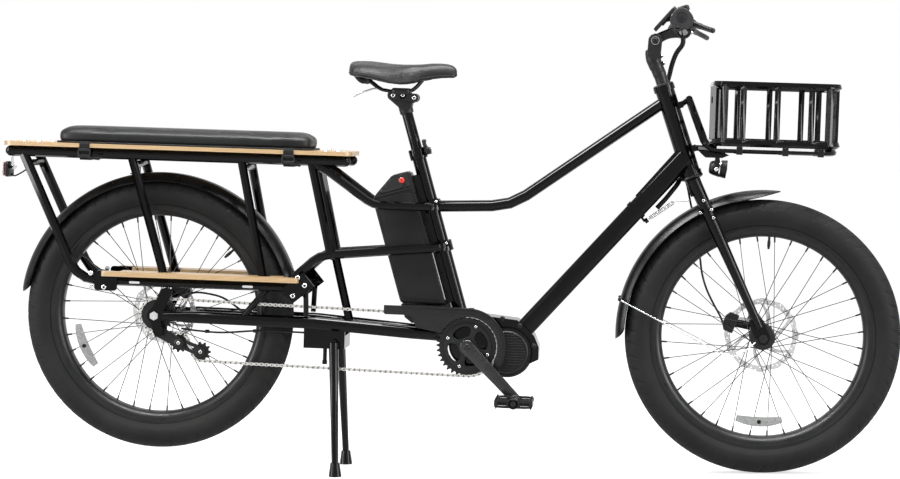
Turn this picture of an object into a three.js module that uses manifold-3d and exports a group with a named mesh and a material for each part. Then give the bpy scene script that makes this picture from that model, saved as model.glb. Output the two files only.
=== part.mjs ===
// Longtail cargo bike, modelled in millimetres.
// The bike is drawn level, with both tyres on z = 0, X forward, Y to the left and Z up.
// The last group then parks it: nose down on the front tyre and the two feet of its stand.
import * as THREE from 'three';
import { mergeVertices } from 'three/addons/utils/BufferGeometryUtils.js';
import Module from 'manifold-3d';

const wasm = await Module();
wasm.setup();

// Main layout
const wheelbase = 1468.4;
const frontAxleX = 753;
const tyreRadius = 330;
const tyreWidth = 74;
const headAngleShare = 19.5 / 360;
const seatAngleShare = 16.9 / 360;
const forkRake = 45;
const bottomBracketX = 47;
const bottomBracketZ = 283;
const rearAxleX = frontAxleX - wheelbase;
const axleZ = 330;

// Gaps between pieces
const touchGap = 0.3;
const runningGap = 0.8;
const cutOverrun = 20;
const mergeTolerance = 1e-4;

// Wheels
const tyreWall = 5;
const tyreHeight = 70;
const beadSeat = 6;
const rimDepth = 19;
const rimOuterRadius = tyreRadius - tyreHeight;
const rimInnerRadius = rimOuterRadius - rimDepth;
const tyreBeadRadius = rimOuterRadius - beadSeat;
const rimWidth = 52;
const rimWall = 3;
const spokeCount = 36;
const spokeThickness = 2.6;
const hubFlangeRadius = 29;
const hubFlangeThickness = 6;
const spokeOffset = 1.6;
const spokeRimY = 5;
const hubBarrelRadius = 15;
const axleRadius = 6;
const axleNutRadius = 11;
const axleNutLength = 9;
const wheelSides = 28;

// Front hub and rotor
const frontDropoutInner = 50;
const frontFlangeY = 27;
const frontRotorRadius = 90;
const frontRotorY = 38;
const rotorThickness = 2.2;
const rotorBandWidth = 15;
const rotorCarrierRadius = 22;
const rotorArmWidth = 9;
const rotorArmCount = 6;

// Rear hub, cog and rotor
const rearDropoutInner = 67;
const rearRightFlangeY = -24;
const rearLeftFlangeY = 33;
const rearRotorRadius = 80;
const rearRotorY = 52;

// Drive
const chainPitch = 12.7;
const chainlineY = 48;
const ringTeeth = 36;
const cogTeeth = 20;
const pulleyTeeth = 11;
const toothThickness = 2.2;
const toothHeight = 2.5;
const chainWidth = 7;
const chainInnerWidth = 5.6;
const chainHalfHeight = 4.2;
const cogCarrierRadius = 19;
const cogCarrierHalf = 9;
const guidePulleyX = -657;
const guidePulleyZ = 265;
const tensionPulleyX = -604;
const tensionPulleyZ = 244;
const pulleyAxleRadius = 3.5;
const pulleyThickness = 6;
const tensionerPivotX = -706;
const tensionerPivotZ = 290;
const tensionerPlate = 3;
const tensionerWidth = 24;
const crankLength = 170;
const crankAngleShare = -44.7 / 360;
const crankThickness = 13;
const crankRootWidth = 34;
const crankTipWidth = 22;
const crankRootY = 72;
const crankTipY = 82;
const crankBossRadius = 17;
const spindleEndY = 58;
const spindleRadius = 11;
const ringWebRadius = 44;
const ringRimInnerShare = 0.86;
const spiderArmCount = 4;
const spiderArmWidth = 16;
const pedalWidth = 94;
const pedalDepth = 92;
const pedalHeight = 24;
const pedalSpindleRadius = 4.5;
const pedalGap = 5;
const pedalRailThickness = 9;

// Motor and its shell
const motorRightY = 34;
const motorLeftY = 46;
const motorBossRadius = 24;
const motorBossY = 43;
const motorRearRadius = 44;
const motorFrontX = 141;
const motorFrontZ = 271;
const motorFrontRadius = 62;
const motorCapRadius = 51;
const motorCapHeight = 9;
const motorCapFins = 10;
const motorFinThickness = 3.2;
const motorFinDepth = 5;
const shellHalfWidth = 39;

// Head tube, top tube and down tube
const headTubeRadius = 23;
const headCollarRadius = 26;
const headCollarHeight = 12;
const headTubeLow = 404;
const headTubeHigh = 630;
const steererRadius = 14.3;
const topTubeRadius = 14;
const topTubeSeatZ = 616;
const topTubeCornerX = 137;
const topTubeCornerZ = 624;
const topTubeHeadLow = 596;
const topTubeBend = 150;
const downTubeDepth = 45;
const downTubeWidth = 56;
const downTubeCorner = 12;
const downTubeHeadAlong = 452;
const downTubeFootX = 185;
const downTubeFootZ = 332;
const coverHeight = 5;
const coverWidth = 36;
const coverLength = 150;
const springClampAlong = 181;
const springClampWidth = 12;

// Seat tube, battery dock and seat
const seatTubeRadius = 17;
const seatTubeBottom = 75;
const seatTubeTop = 492;
const seatCollarRadius = 20.5;
const seatCollarHeight = 24;
const seatpostRadius = 13.6;
const seatpostInsertion = 150;
const seatpostLowering = 80;
const seatpostHeadAlong = 596;
const dockBottom = 112;
const dockTop = 430;
const dockDepth = 9;
const dockWidth = 30;
const batteryHalfWidth = 43;
const batteryDepth = 106;
const batteryBottom = 112;
const batteryRearBottom = 139;
const batteryTop = 446;
const batteryShoulder = 408;
const batteryTopLength = 34;
const batteryCorner = 14;
const buttonRadius = 7;
const buttonDepth = 4;
const buttonProud = 2;
const buttonTravel = 1.5;
const buttonAlong = 428;
const buttonBack = 51;
const railSpread = 22;
const railRadius = 3.5;
const railHeight = 34;
const saddleLength = 262;
const saddleRearX = -264;
const saddleTopZ = 962;
const saddleHalfWidth = 92;
const saddleThickness = 26;
const saddleSkirt = 52;
const seatHeadWidth = 36;
const clampLeverLength = 48;
const clampLeverThickness = 7;
const clampPinRadius = 3;

// Chainstays, dropouts and stand bracket
const stayRadius = 15;
const stayHalfWidthShare = 0.8;
const stayRearY = 72;
const stayFlattening = 60;
const stayMidX = -330;
const stayMidY = 58;
const stayMidZ = 326;
const stayNeckX = -92;
const stayNeckY = 43;
const stayFrontX = -30;
const stayFrontY = 27;
const stayFrontZ = 306;
const dropoutThickness = 8;
const dropoutRadius = 19;
const dropoutTopX = -688;
const dropoutTopRadius = 14;
const hangerRadius = 12;
const bridgeX = -246;
const bridgeZ = 322;
const bridgeRadius = 11;
const braceTopX = -437;
const braceFootX = -504;
const braceRadius = 8;
const standPivotX = -277;
const standPivotZ = 280;
const standBlockRear = -352;
const standBlockFront = -252;
const standBlockHalfWidth = 46;
const standBlockHalfHeight = 16;
const standWebThickness = 8;

// Rear rack
const rackHalf = 71;
const rackRailRadius = 13;
const rackRailZ = 719;
const rackRearX = -1093;
const rackFrontX = -248;
const rackCrossRadius = 10;
const rackCrossShares = [0.025, 0.46, 0.92];
const upperStayRadius = 10;
const upperStayTopX = -352;
const upperStayKneeX = -300;
const upperStayKneeZ = 692;
const upperStayLowX = -192;
const stayHalf = 57;
const upperStayKneeHalf = 69;
const upperStayLowHalf = 58;
const stayCornerBend = 14;
const stayBend = 60;
const seatLugWall = 7;
const seatLugHeight = 26;
const lowerStayRadius = 11;
const lowerStaySeatZ = 519;
const lowerStayMidX = -318;
const lowerStayMidZ = 490;
const lowerStayEndX = -388;
const lowerStayEndZ = 424;
const frontStrutRadius = 11;
const frontStrutTopX = -344;
const frontStrutFootX = -292;
const centreStrutTopX = -288;
const centreStrutRadius = 11;
const frontPlateThickness = 4;
const frontPlateX = -364;
const frontPlateZ = 412;
const frontPlateLength = 66;
const frontPlateHeight = 44;
const plateTiltShare = 40 / 360;
const plateBossX = -366;
const plateBossZ = 436;
const plateBossRadius = 8.4;
const plateBarX = -346;
const plateBarRadius = 7;
const hoopRadius = 11;
const hoopCrossDrop = 24;
const hoopRearTopX = -783;
const hoopRearFootX = -690;
const hoopFrontTopX = -514;
const hoopFrontFootX = -449;
const footRailZ = 412;
const footRailHalf = 76;
const footRailRadius = 12;
const footRailFrontX = -352;
const footRailRearX = -906;
const rearStrutTopX = -1050;
const rearStrutBend = 70;
const rearBridgeZ = 690;
const rearPlateX = -834;
const rearPlateLength = 56;
const rearPlateHeight = 48;
const rearPlateThickness = 4;

// Wooden parts and passenger cushion
const boardThickness = 12;
const boardRearX = -842;
const boardFrontX = -362;
const boardInnerY = 52;
const boardOuterY = 116;
const boardNotchY = 97;
const boardNotchLength = 42;
const boardCorner = 10;
const deckThickness = 10;
const deckOverhang = 4;
const deckHalfWidth = 92;
const deckCorner = 26;
const cushionRearX = -974;
const cushionFrontX = -337;
const cushionHeight = 42;
const cushionHalfWidth = 91;
const cushionSquareness = 3.2;
const cushionSides = 12;
const strapWidth = 25;
const strapThickness = 2.2;
const strapRearX = -893;
const strapFrontX = -396;

// Mudguards
const rearGuardGap = 17;
const frontGuardGap = 23;
const rearGuardRadius = tyreRadius + rearGuardGap;
const frontGuardRadius = tyreRadius + frontGuardGap;
const guardWidth = 84;
const guardDrop = 20;
const guardWall = 2.5;
const rearGuardStartShare = 14 / 360;
const rearGuardEndShare = 173 / 360;
const frontGuardStartShare = 65.5 / 360;
const frontGuardEndShare = 163.5 / 360;
const guardBracketWidth = 18;
const guardBracketThickness = 4;
const guardWireRadius = 2;

// Chain guard
const guardPlateThickness = 3;
const guardPlateY = 62;
const chainGuardRadius = 93;
const chainGuardOpening = 69;
const chainGuardRearX = -158;
const chainGuardBarHeight = 22;
const chainGuardLip = 12;
const chainGuardEndShare = -27 / 360;

// Lights
const rearLightX = -1113;
const rearLightZ = 686;
const rearLightWidth = 58;
const rearLightHeight = 38;
const rearLightDepth = 17;
const lightBracketRadius = 4;
const headlightX = 634;
const headlightZ = 731;
const headlightRadius = 22;
const headlightLength = 44;

// Front carrier and basket
const carrierRadius = 8.5;
const carrierHalf = 80;
const carrierZ = 778;
const carrierFrontX = 901;
const carrierRearX = 604;
const carrierTopX = 557;
const carrierTopZ = 895;
const carrierTopHalf = 44;
const carrierBend = 30;
const carrierArmRadius = 7;
const carrierUpperAlong = 575;
const carrierLowerAlong = 466;
const carrierBandWall = 4;
const carrierBandHeight = 16;
const basketRearX = 618;
const basketFrontX = 899;
const basketHalf = 190;
const basketRailRadius = 9;
const basketPostRadius = 7.5;
const basketBottomZ = 796;
const basketTopZ = 931;
const basketCorner = 26;
const basketPostShares = [0.07, 0.22, 0.5, 0.78, 0.93];
const basketEndPostShares = [0.2, 0.5, 0.8];
const basketFloorBars = 4;
const basketFloorRadius = 4;
const basketFloorZ = 791;
const basketBarZ = 866;
const basketBarRadius = 5;

// Fork
const crownLow = 358;
const crownHigh = 396;
const crownHalf = 62;
const bladeTopY = 60.5;
const crownRaceRadius = 22;
const crownDepth = 34;
const bladeTopRadius = 17;
const bladeFootRadius = 10;
const bladeFootY = 58;
const forkDropoutThickness = 8;
const forkDropoutRadius = 17;
const steererTop = 636;

// Brake calipers
const caliperLength = 46;
const caliperHeight = 30;
const caliperReach = 10;
const caliperInset = 8;
const caliperTabRadius = 10;
const caliperSlot = 4;
const frontCaliperAngleShare = 140 / 360;
const rearCaliperAngleShare = 52 / 360;

// Stem, handlebar and controls
const stemColumnRadius = 17;
const stemSeat = 7;
const stemColumnLength = 75;
const stemPivotRise = 28;
const stemColumnLow = headTubeHigh + stemSeat;
const stemColumnHigh = stemColumnLow + stemColumnLength;
const stemPivotAlong = stemColumnHigh + stemPivotRise;
const stemPivotOffset = 14;
const stemPivotRadius = 14;
const stemPinRadius = 5;
const stemForkWidth = 44;
const stemArmWidth = 28;
const barClampForward = 85;
const barClampRise = 2;
const barClampAlong = stemPivotAlong + barClampRise;
const barClampRadius = 19;
const barClampHalf = 22;
const barRadius = 12;
const barHalf = 322;
const barStraight = 60;
const barKneeY = 150;
const barEndForward = 83;
const barEndRise = 22;
const barEndAlong = barClampAlong + barEndRise;
const barBend = 55;
const gripRadius = 16;
const gripLength = 128;
const gripWing = 12;
const leverClampLength = 26;
const leverClampWall = 5;
const leverY = 176;
const leverDropShare = -41.3 / 360;
const leverPivotReach = 30;
const leverKneeReach = 44;
const leverTipReach = 73;
const leverKneeY = 208;
const leverTipY = 268;
const leverRadius = 4.5;
const leverEyeRadius = 7;
const leverEyeHalf = 5;
const leverPivotRadius = 3;
const perchEarThickness = 3;
const displayForward = 52;
const displayRise = 41;
const displayAlong = barClampAlong + displayRise;
const displayTiltShare = 30 / 360;
const displayLength = 74;
const displayWidth = 62;
const displayHeight = 10;

// Stabiliser spring and cable loom
const springTurns = 9;
const springRadius = 5;
const springWire = 1.1;
const springRearX = 469;
const springRearZ = 602;
const springFrontX = 531;
const springFrontZ = 647;
const springSeatLength = 9;
const springSeatRadius = 6;
const springEndAlong = 349;
const springEndLead = 10;
const springStepsPerTurn = 8;
const loomRadius = 5;
const loomY = 38;
const loomEndY = 12;
const loomUnderShares = [0.81, 0.755];

// Kickstand
const standAxleRadius = 8;
const standTopHalf = 68;
const standFootHalf = 107;
const standLegTopRadius = 12;
const standLegFootRadius = 8;
const standFootX = -259;
const standFootZ = -38.2;
const footRadius = 16;
const footHeight = 29;
const footFlat = 4;

// Materials
const paint = (name, color, roughness, metalness) => (
  new THREE.MeshStandardMaterial({ name, color, roughness, metalness })
);
const blackPaint = paint('black_paint', 0x0b0b0c, 0.18, 0.1);
const satinBlack = paint('satin_black', 0x17181a, 0.5, 0.2);
const blackPlastic = paint('black_plastic', 0x1b1c1e, 0.6, 0);
const silver = paint('silver', 0xb9bbbd, 0.3, 1);
const chainSteel = paint('chain_steel', 0xa7a8a8, 0.35, 1);
const plywood = paint('plywood', 0xdcb681, 0.6, 0);
const tyreRubber = paint('tyre_rubber', 0x242526, 0.85, 0);
const gripRubber = paint('grip_rubber', 0x1a1a1b, 0.8, 0);
const seatCover = paint('seat_cover', 0x2b2c2e, 0.65, 0);
const buttonOrange = paint('button_orange', 0xd8401c, 0.4, 0);

// Small vector and angle helpers
const turns = (share) => share * 2 * Math.PI;
const vec = (x, y, z) => new THREE.Vector3(x, y, z);
const flat = (x, y) => new THREE.Vector2(x, y);
const mix = (from, to, share) => from + (to - from) * share;
const headAngle = turns(headAngleShare);
const seatAngle = turns(seatAngleShare);

// Solids: three.js makes the geometry and manifold-3d joins and cuts it
function solidOf(geometry) {
  const bare = new THREE.BufferGeometry();
  bare.setAttribute('position', geometry.getAttribute('position').clone());
  if (geometry.index) bare.setIndex(geometry.index.clone());
  const merged = mergeVertices(bare, mergeTolerance);
  const corners = merged.index.array;
  const triVerts = [];
  for (let i = 0; i < corners.length; i += 3) {
    const [a, b, c] = [corners[i], corners[i + 1], corners[i + 2]];
    if (a !== b && b !== c && c !== a) triVerts.push(a, b, c);
  }
  const places = Array.from(merged.getAttribute('position').array);
  if (volumeOf(places, triVerts) < 0) triVerts.reverse();
  return new wasm.Manifold(new wasm.Mesh({
    numProp: 3,
    vertProperties: new Float32Array(places),
    triVerts: new Uint32Array(triVerts),
  }));
}

function geometryOf(solid) {
  const mesh = solid.getMesh();
  const geometry = new THREE.BufferGeometry();
  geometry.setAttribute('position', new THREE.BufferAttribute(new Float32Array(mesh.vertProperties), 3));
  geometry.setIndex(new THREE.BufferAttribute(new Uint32Array(mesh.triVerts), 1));
  geometry.computeVertexNormals();
  return geometry;
}

const join = (...solids) => solids.flat().reduce((sum, solid) => sum.add(solid));
const cut = (solid, ...tools) => tools.flat().reduce((rest, tool) => rest.subtract(tool), solid);

const moved = (solid, x, y, z) => solid.translate([x, y, z]);
const mirrored = (solid) => solid.mirror([0, 1, 0]);
const bothSides = (solid) => [solid, mirrored(solid)];

// A straight bar from one point to another, tapered when the second radius differs
function rod(from, to, radius, sides = 10, endRadius = radius) {
  const run = vec(0, 0, 0).subVectors(to, from).normalize();
  const turn = new THREE.Quaternion().setFromUnitVectors(vec(0, 1, 0), run);
  const ring = (at, reach) => Array.from({ length: sides }, (_, k) => (
    vec(reach * Math.sin(turns(k / sides)), 0, reach * Math.cos(turns(k / sides)))
      .applyQuaternion(turn).add(at)
  ));
  return loft([ring(from, radius), ring(to, endRadius)]);
}

// A bar along Y, centred over x and z
const crossRod = (x, z, halfLength, radius, sides = 10) => (
  rod(vec(x, -halfLength, z), vec(x, halfLength, z), radius, sides)
);

function block(x0, x1, y0, y1, z0, z1) {
  const geometry = new THREE.BoxGeometry(x1 - x0, y1 - y0, z1 - z0);
  return solidOf(geometry.translate(mix(x0, x1, 0.5), mix(y0, y1, 0.5), mix(z0, z1, 0.5)));
}

// A plate drawn in X and Z and given its thickness from y0 to y1
function sidePlate(outline, y0, y1, holes = []) {
  const shape = outline instanceof THREE.Shape ? outline : new THREE.Shape(outline);
  shape.holes.push(...holes);
  const geometry = new THREE.ExtrudeGeometry(shape, {
    depth: y1 - y0, bevelEnabled: false, curveSegments: 3,
  });
  return solidOf(geometry.rotateX(Math.PI / 2).translate(0, y1, 0));
}

// A plate drawn in X and Y and given its thickness from z0 to z1
function flatPlate(shape, z0, z1, steps = 3) {
  const geometry = new THREE.ExtrudeGeometry(shape, {
    depth: z1 - z0, bevelEnabled: false, curveSegments: steps,
  });
  return solidOf(geometry.translate(0, 0, z0));
}

// A turned piece about the Y axis from [radius, y] pairs that close on themselves
function turnedY(profile, sides) {
  return solidOf(new THREE.LatheGeometry(profile.map(([r, y]) => flat(r, y)), sides));
}

// A turned piece about the Z axis from [radius, z] pairs
function turnedZ(profile, sides) {
  const points = profile.map(([r, z]) => flat(r, z));
  return solidOf(new THREE.LatheGeometry(points, sides).rotateX(Math.PI / 2));
}

// A path through fixed stations, one ring of a tube at each
class StationPath extends THREE.Curve {
  constructor(stations) {
    super();
    this.stations = stations;
  }

  getPoint(share, target = vec(0, 0, 0)) {
    const last = this.stations.length - 1;
    const index = Math.min(Math.floor(share * last + 1e-6), last - 1);
    return target.lerpVectors(this.stations[index], this.stations[index + 1], share * last - index);
  }

  getPointAt(share, target) {
    return this.getPoint(share, target);
  }

  getTangentAt(share, target = vec(0, 0, 0)) {
    const last = this.stations.length - 1;
    const index = Math.round(share * last);
    const here = this.stations[index];
    const before = vec(0, 0, 0).subVectors(here, this.stations[Math.max(index - 1, 0)]).normalize();
    const after = vec(0, 0, 0).subVectors(this.stations[Math.min(index + 1, last)], here).normalize();
    return target.addVectors(before, after).normalize();
  }
}

// The corner points with each inner corner rounded to the bend radius
function roundedPath(points, bend, stepAngle = Math.PI / 5.9) {
  const bends = Array.isArray(bend) ? bend : points.map(() => bend);
  const stations = [points[0]];
  for (let i = 1; i < points.length - 1; i += 1) {
    const into = vec(0, 0, 0).subVectors(points[i], points[i - 1]).normalize();
    const out = vec(0, 0, 0).subVectors(points[i + 1], points[i]).normalize();
    const angle = into.angleTo(out);
    const inward = out.clone().addScaledVector(into, -into.dot(out)).normalize();
    const start = points[i].clone().addScaledVector(into, -bends[i] * Math.tan(angle / 2));
    const steps = Math.max(1, Math.ceil(angle / stepAngle));
    for (let step = 0; step <= steps; step += 1) {
      const swept = (angle * step) / steps;
      stations.push(start.clone()
        .addScaledVector(into, bends[i] * Math.sin(swept))
        .addScaledVector(inward, bends[i] * (1 - Math.cos(swept))));
    }
  }
  stations.push(points[points.length - 1]);
  return stations;
}

function circleShape(radius, sides) {
  const corners = Array.from({ length: sides }, (_, i) => (
    flat(radius * Math.cos(turns(i / sides)), radius * Math.sin(turns(i / sides)))
  ));
  return new THREE.Shape(corners);
}

function pipeAlong(stations, radius, sides) {
  const geometry = new THREE.ExtrudeGeometry(circleShape(radius, sides), {
    steps: stations.length - 1, extrudePath: new StationPath(stations), bevelEnabled: false,
  });
  return solidOf(geometry);
}

const pipe = (points, radius, bend, sides = 8) => pipeAlong(roundedPath(points, bend), radius, sides);

// A skin over a row of rings with the same count of points, closed by its two end faces
function loft(rings, closed = false) {
  const count = rings[0].length;
  const positions = rings.flat().flatMap((p) => [p.x, p.y, p.z]);
  const faces = [];
  const spans = closed ? rings.length : rings.length - 1;
  for (let i = 0; i < spans; i += 1) {
    const here = i * count;
    const next = ((i + 1) % rings.length) * count;
    for (let k = 0; k < count; k += 1) {
      const k1 = (k + 1) % count;
      faces.push(here + k, here + k1, next + k, here + k1, next + k1, next + k);
    }
  }
  if (!closed) {
    const ends = [[rings[0], 0, false], [rings[rings.length - 1], (rings.length - 1) * count, true]];
    for (const [ring, offset, reverse] of ends) {
      for (const [a, b, c] of endFaces(ring)) {
        if (reverse) faces.push(offset + a, offset + b, offset + c);
        else faces.push(offset + a, offset + c, offset + b);
      }
    }
  }
  const geometry = new THREE.BufferGeometry();
  geometry.setAttribute('position', new THREE.Float32BufferAttribute(positions, 3));
  geometry.setIndex(faces);
  return solidOf(geometry);
}

// Triangles over one end ring, found in the plane of that ring
function endFaces(ring) {
  const centre = ring.reduce((sum, p) => sum.add(p), vec(0, 0, 0)).divideScalar(ring.length);
  const normal = vec(0, 0, 0);
  ring.forEach((p, i) => {
    const next = ring[(i + 1) % ring.length];
    normal.add(vec(0, 0, 0).crossVectors(p.clone().sub(centre), next.clone().sub(centre)));
  });
  normal.normalize();
  const along = ring[0].clone().sub(centre).normalize();
  const across = vec(0, 0, 0).crossVectors(normal, along);
  const drawn = ring.map((p) => {
    const arm = p.clone().sub(centre);
    return flat(arm.dot(along), arm.dot(across));
  });
  return THREE.ShapeUtils.triangulateShape(drawn, []);
}

// Six times the volume inside a set of faces, below zero when they point inwards
function volumeOf(positions, faces) {
  let sum = 0;
  const corner = (index) => vec(positions[3 * index], positions[3 * index + 1], positions[3 * index + 2]);
  for (let i = 0; i < faces.length; i += 3) {
    sum += corner(faces[i]).dot(vec(0, 0, 0).crossVectors(corner(faces[i + 1]), corner(faces[i + 2])));
  }
  return sum;
}

// A sheet section swept along a path in the XZ plane: its x lies across, its y points away from the centre
function arcSweep(section, centreX, centreZ, startTurn, endTurn, steps) {
  const rings = Array.from({ length: steps + 1 }, (_, i) => {
    const angle = turns(mix(startTurn, endTurn, i / steps));
    return section(i / steps).map(([across, radius]) => (
      vec(centreX + radius * Math.cos(angle), across, centreZ + radius * Math.sin(angle))
    ));
  });
  return loft(rings);
}

// An oval tube through stations, each with its place, half width and half height
function ovalTube(stations, sides = 10) {
  const rings = stations.map(({ at, halfWidth, halfHeight }, i) => {
    const before = stations[Math.max(i - 1, 0)].at;
    const after = stations[Math.min(i + 1, stations.length - 1)].at;
    const along = vec(0, 0, 0).subVectors(after, before).normalize();
    const lateral = vec(0, 1, 0).addScaledVector(along, -along.y).normalize();
    const lift = vec(0, 0, 0).crossVectors(along, lateral);
    return Array.from({ length: sides }, (_, k) => at.clone()
      .addScaledVector(lateral, halfWidth * Math.cos(turns(k / sides)))
      .addScaledVector(lift, halfHeight * Math.sin(turns(k / sides))));
  });
  return loft(rings);
}

// Rounded rectangle as a shape about its centre
function roundedRectangle(x0, x1, y0, y1, corner) {
  const shape = new THREE.Shape();
  shape.moveTo(x0 + corner, y0);
  shape.lineTo(x1 - corner, y0);
  shape.absarc(x1 - corner, y0 + corner, corner, -Math.PI / 2, 0);
  shape.lineTo(x1, y1 - corner);
  shape.absarc(x1 - corner, y1 - corner, corner, 0, Math.PI / 2);
  shape.lineTo(x0 + corner, y1);
  shape.absarc(x0 + corner, y1 - corner, corner, Math.PI / 2, Math.PI);
  shape.lineTo(x0, y0 + corner);
  shape.absarc(x0 + corner, y0 + corner, corner, Math.PI, 1.5 * Math.PI);
  return shape;
}

function holeAt(x, z, radius, sides = 16) {
  return new THREE.Path(circleShape(radius, sides).getPoints().map((p) => flat(p.x + x, p.y + z)));
}

// A faceted bore that clears a faceted pin whatever its turn
const boreFor = (radius, sides, gap = runningGap) => (radius + gap) / Math.cos(Math.PI / sides);

// Groups: level frame, steering frame (z up the steering axis) and seat frame (z up the seat tube)
const bike = new THREE.Group();
const level = new THREE.Group();
bike.add(level);

const steeringFootX = frontAxleX - forkRake / Math.cos(headAngle);
const steering = new THREE.Group();
steering.position.set(steeringFootX, 0, axleZ);
steering.rotation.y = -headAngle;
level.add(steering);
const axleAlong = -forkRake * Math.tan(headAngle);

const seating = new THREE.Group();
seating.position.set(bottomBracketX, 0, bottomBracketZ);
seating.rotation.y = -seatAngle;
level.add(seating);

function piece(name, solid, material, group = level) {
  const mesh = new THREE.Mesh(geometryOf(solid), material);
  mesh.name = name;
  group.add(mesh);
  return mesh;
}

// A point of the steering or seat frame given in the level frame, and a solid turned back into each
const onSteering = (forward, y, along) => vec(
  steeringFootX + forward * Math.cos(headAngle) - along * Math.sin(headAngle),
  y,
  axleZ + forward * Math.sin(headAngle) + along * Math.cos(headAngle),
);
const onSeat = (forward, y, along) => vec(
  bottomBracketX + forward * Math.cos(seatAngle) - along * Math.sin(seatAngle),
  y,
  bottomBracketZ + forward * Math.sin(seatAngle) + along * Math.cos(seatAngle),
);
const seatAxisX = (z) => bottomBracketX - (z - bottomBracketZ) * Math.tan(seatAngle);

// Tyres: an open casing that sits in the rim channel
function tyre() {
  const halfWidth = tyreWidth / 2;
  const bulgeRadius = tyreRadius - halfWidth;
  const outer = [];
  const inner = [];
  const [outerSteps, innerSteps] = [6, 2];
  const mouth = rimWidth / 2 - rimWall - touchGap;
  const lip = rimOuterRadius + touchGap;
  for (let i = 0; i <= outerSteps; i += 1) {
    const angle = mix(-0.22, 1.22, i / outerSteps) * Math.PI;
    outer.push([bulgeRadius + halfWidth * Math.sin(angle), halfWidth * Math.cos(angle)]);
  }
  for (let i = innerSteps; i >= 0; i -= 1) {
    const angle = mix(-0.18, 1.18, i / innerSteps) * Math.PI;
    const reach = halfWidth - tyreWall;
    inner.push([bulgeRadius + reach * Math.sin(angle), reach * Math.cos(angle)]);
  }
  const profile = [
    [tyreBeadRadius, mouth], [lip, mouth], ...outer, [lip, -mouth], [tyreBeadRadius, -mouth],
    [tyreBeadRadius, -mouth + tyreWall], ...inner, [tyreBeadRadius, mouth - tyreWall],
    [tyreBeadRadius, mouth],
  ];
  return turnedY(profile, wheelSides);
}

function rim() {
  const half = rimWidth / 2;
  const floor = (rimInnerRadius + rimOuterRadius) / 2;
  const wellHalf = half - rimWall;
  const profile = [
    [rimInnerRadius, -half / 2], [rimInnerRadius, half / 2], [floor, half], [rimOuterRadius, half],
    [rimOuterRadius, wellHalf], [floor + rimWall, wellHalf], [floor + rimWall, -wellHalf],
    [rimOuterRadius, -wellHalf],
    [rimOuterRadius, -half], [floor, -half], [rimInnerRadius, -half / 2],
  ];
  return turnedY(profile, wheelSides);
}

// Hub with two flanges and its crossed spokes, which end just short of the rim
function hub(rightFlangeY, leftFlangeY, rightEndY, leftEndY) {
  const bore = boreFor(axleRadius, 12);
  const half = hubFlangeThickness / 2;
  const body = turnedY([
    [bore, rightEndY], [hubBarrelRadius, rightEndY], [hubBarrelRadius, rightFlangeY - half],
    [hubFlangeRadius, rightFlangeY - half], [hubFlangeRadius, rightFlangeY + half],
    [hubBarrelRadius, rightFlangeY + hubFlangeThickness],
    [hubBarrelRadius, leftFlangeY - hubFlangeThickness], [hubFlangeRadius, leftFlangeY - half],
    [hubFlangeRadius, leftFlangeY + half], [hubBarrelRadius, leftFlangeY + half],
    [hubBarrelRadius, leftEndY], [bore, leftEndY], [bore, rightEndY],
  ], 10);
  const spokes = [];
  const rimReach = rimInnerRadius * Math.cos(Math.PI / wheelSides) - touchGap;
  for (let i = 0; i < spokeCount; i += 1) {
    const flangeY = i % 2 ? leftFlangeY : rightFlangeY;
    const lean = i % 4 < 2 ? 1 : -1;
    const crossing = lean * 3;
    const rimY = Math.sign(flangeY) * spokeRimY + lean * spokeOffset;
    const rimTurn = turns((i + 0.5) / spokeCount);
    const hubTurn = rimTurn + turns(crossing / (spokeCount / 2)) * 1.5;
    const root = hubFlangeRadius - hubFlangeThickness;
    spokes.push(rod(
      vec(root * Math.cos(hubTurn), flangeY + lean * spokeOffset, root * Math.sin(hubTurn)),
      vec(rimReach * Math.cos(rimTurn), rimY, rimReach * Math.sin(rimTurn)),
      spokeThickness / 2, 3,
    ));
  }
  return join(body, spokes);
}

function rotor(radius, y) {
  const [inner, outer] = [rotorCarrierRadius, radius - rotorBandWidth];
  const sweep = turns(1 / 12);
  const windows = Array.from({ length: rotorArmCount }, (_, i) => {
    const start = turns(i / rotorArmCount);
    const next = turns((i + 1) / rotorArmCount);
    const arc = (reach, turn, steps) => Array.from({ length: steps + 1 }, (__, k) => {
      const lean = rotorArmWidth / 2 / reach;
      const angle = turn + mix(start + lean, next - lean, k / steps);
      return flat(reach * Math.cos(angle), reach * Math.sin(angle));
    });
    return new THREE.Path([...arc(outer, sweep, 3), ...arc(inner, 0, 1).reverse()]);
  });
  windows.push(holeAt(0, 0, boreFor(hubBarrelRadius, 12, touchGap), 12));
  const half = rotorThickness / 2;
  return sidePlate(circleShape(radius, wheelSides), y - half, y + half, windows);
}

// Wheel pieces in their own groups
const frontWheel = new THREE.Group();
frontWheel.position.set(forkRake, 0, axleAlong);
steering.add(frontWheel);
const rearWheel = new THREE.Group();
rearWheel.position.set(rearAxleX, 0, axleZ);
level.add(rearWheel);

const frontHubEnd = frontDropoutInner - runningGap;
const rearHubEnd = rearDropoutInner - runningGap;
const cogY = -chainlineY;
piece('front_tyre', tyre(), tyreRubber, frontWheel);
piece('front_rim', rim(), blackPaint, frontWheel);
piece('front_hub', hub(-frontFlangeY, frontFlangeY, -frontHubEnd, frontHubEnd), satinBlack, frontWheel);
piece('front_rotor', rotor(frontRotorRadius, frontRotorY), silver, frontWheel);
piece('rear_tyre', tyre(), tyreRubber, rearWheel);
piece('rear_rim', rim(), blackPaint, rearWheel);
const rearHubRightEnd = cogY + cogCarrierHalf + runningGap;
piece(
  'rear_hub', hub(rearRightFlangeY, rearLeftFlangeY, rearHubRightEnd, rearHubEnd), satinBlack, rearWheel,
);
piece('rear_rotor', rotor(rearRotorRadius, rearRotorY), silver, rearWheel);

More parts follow.
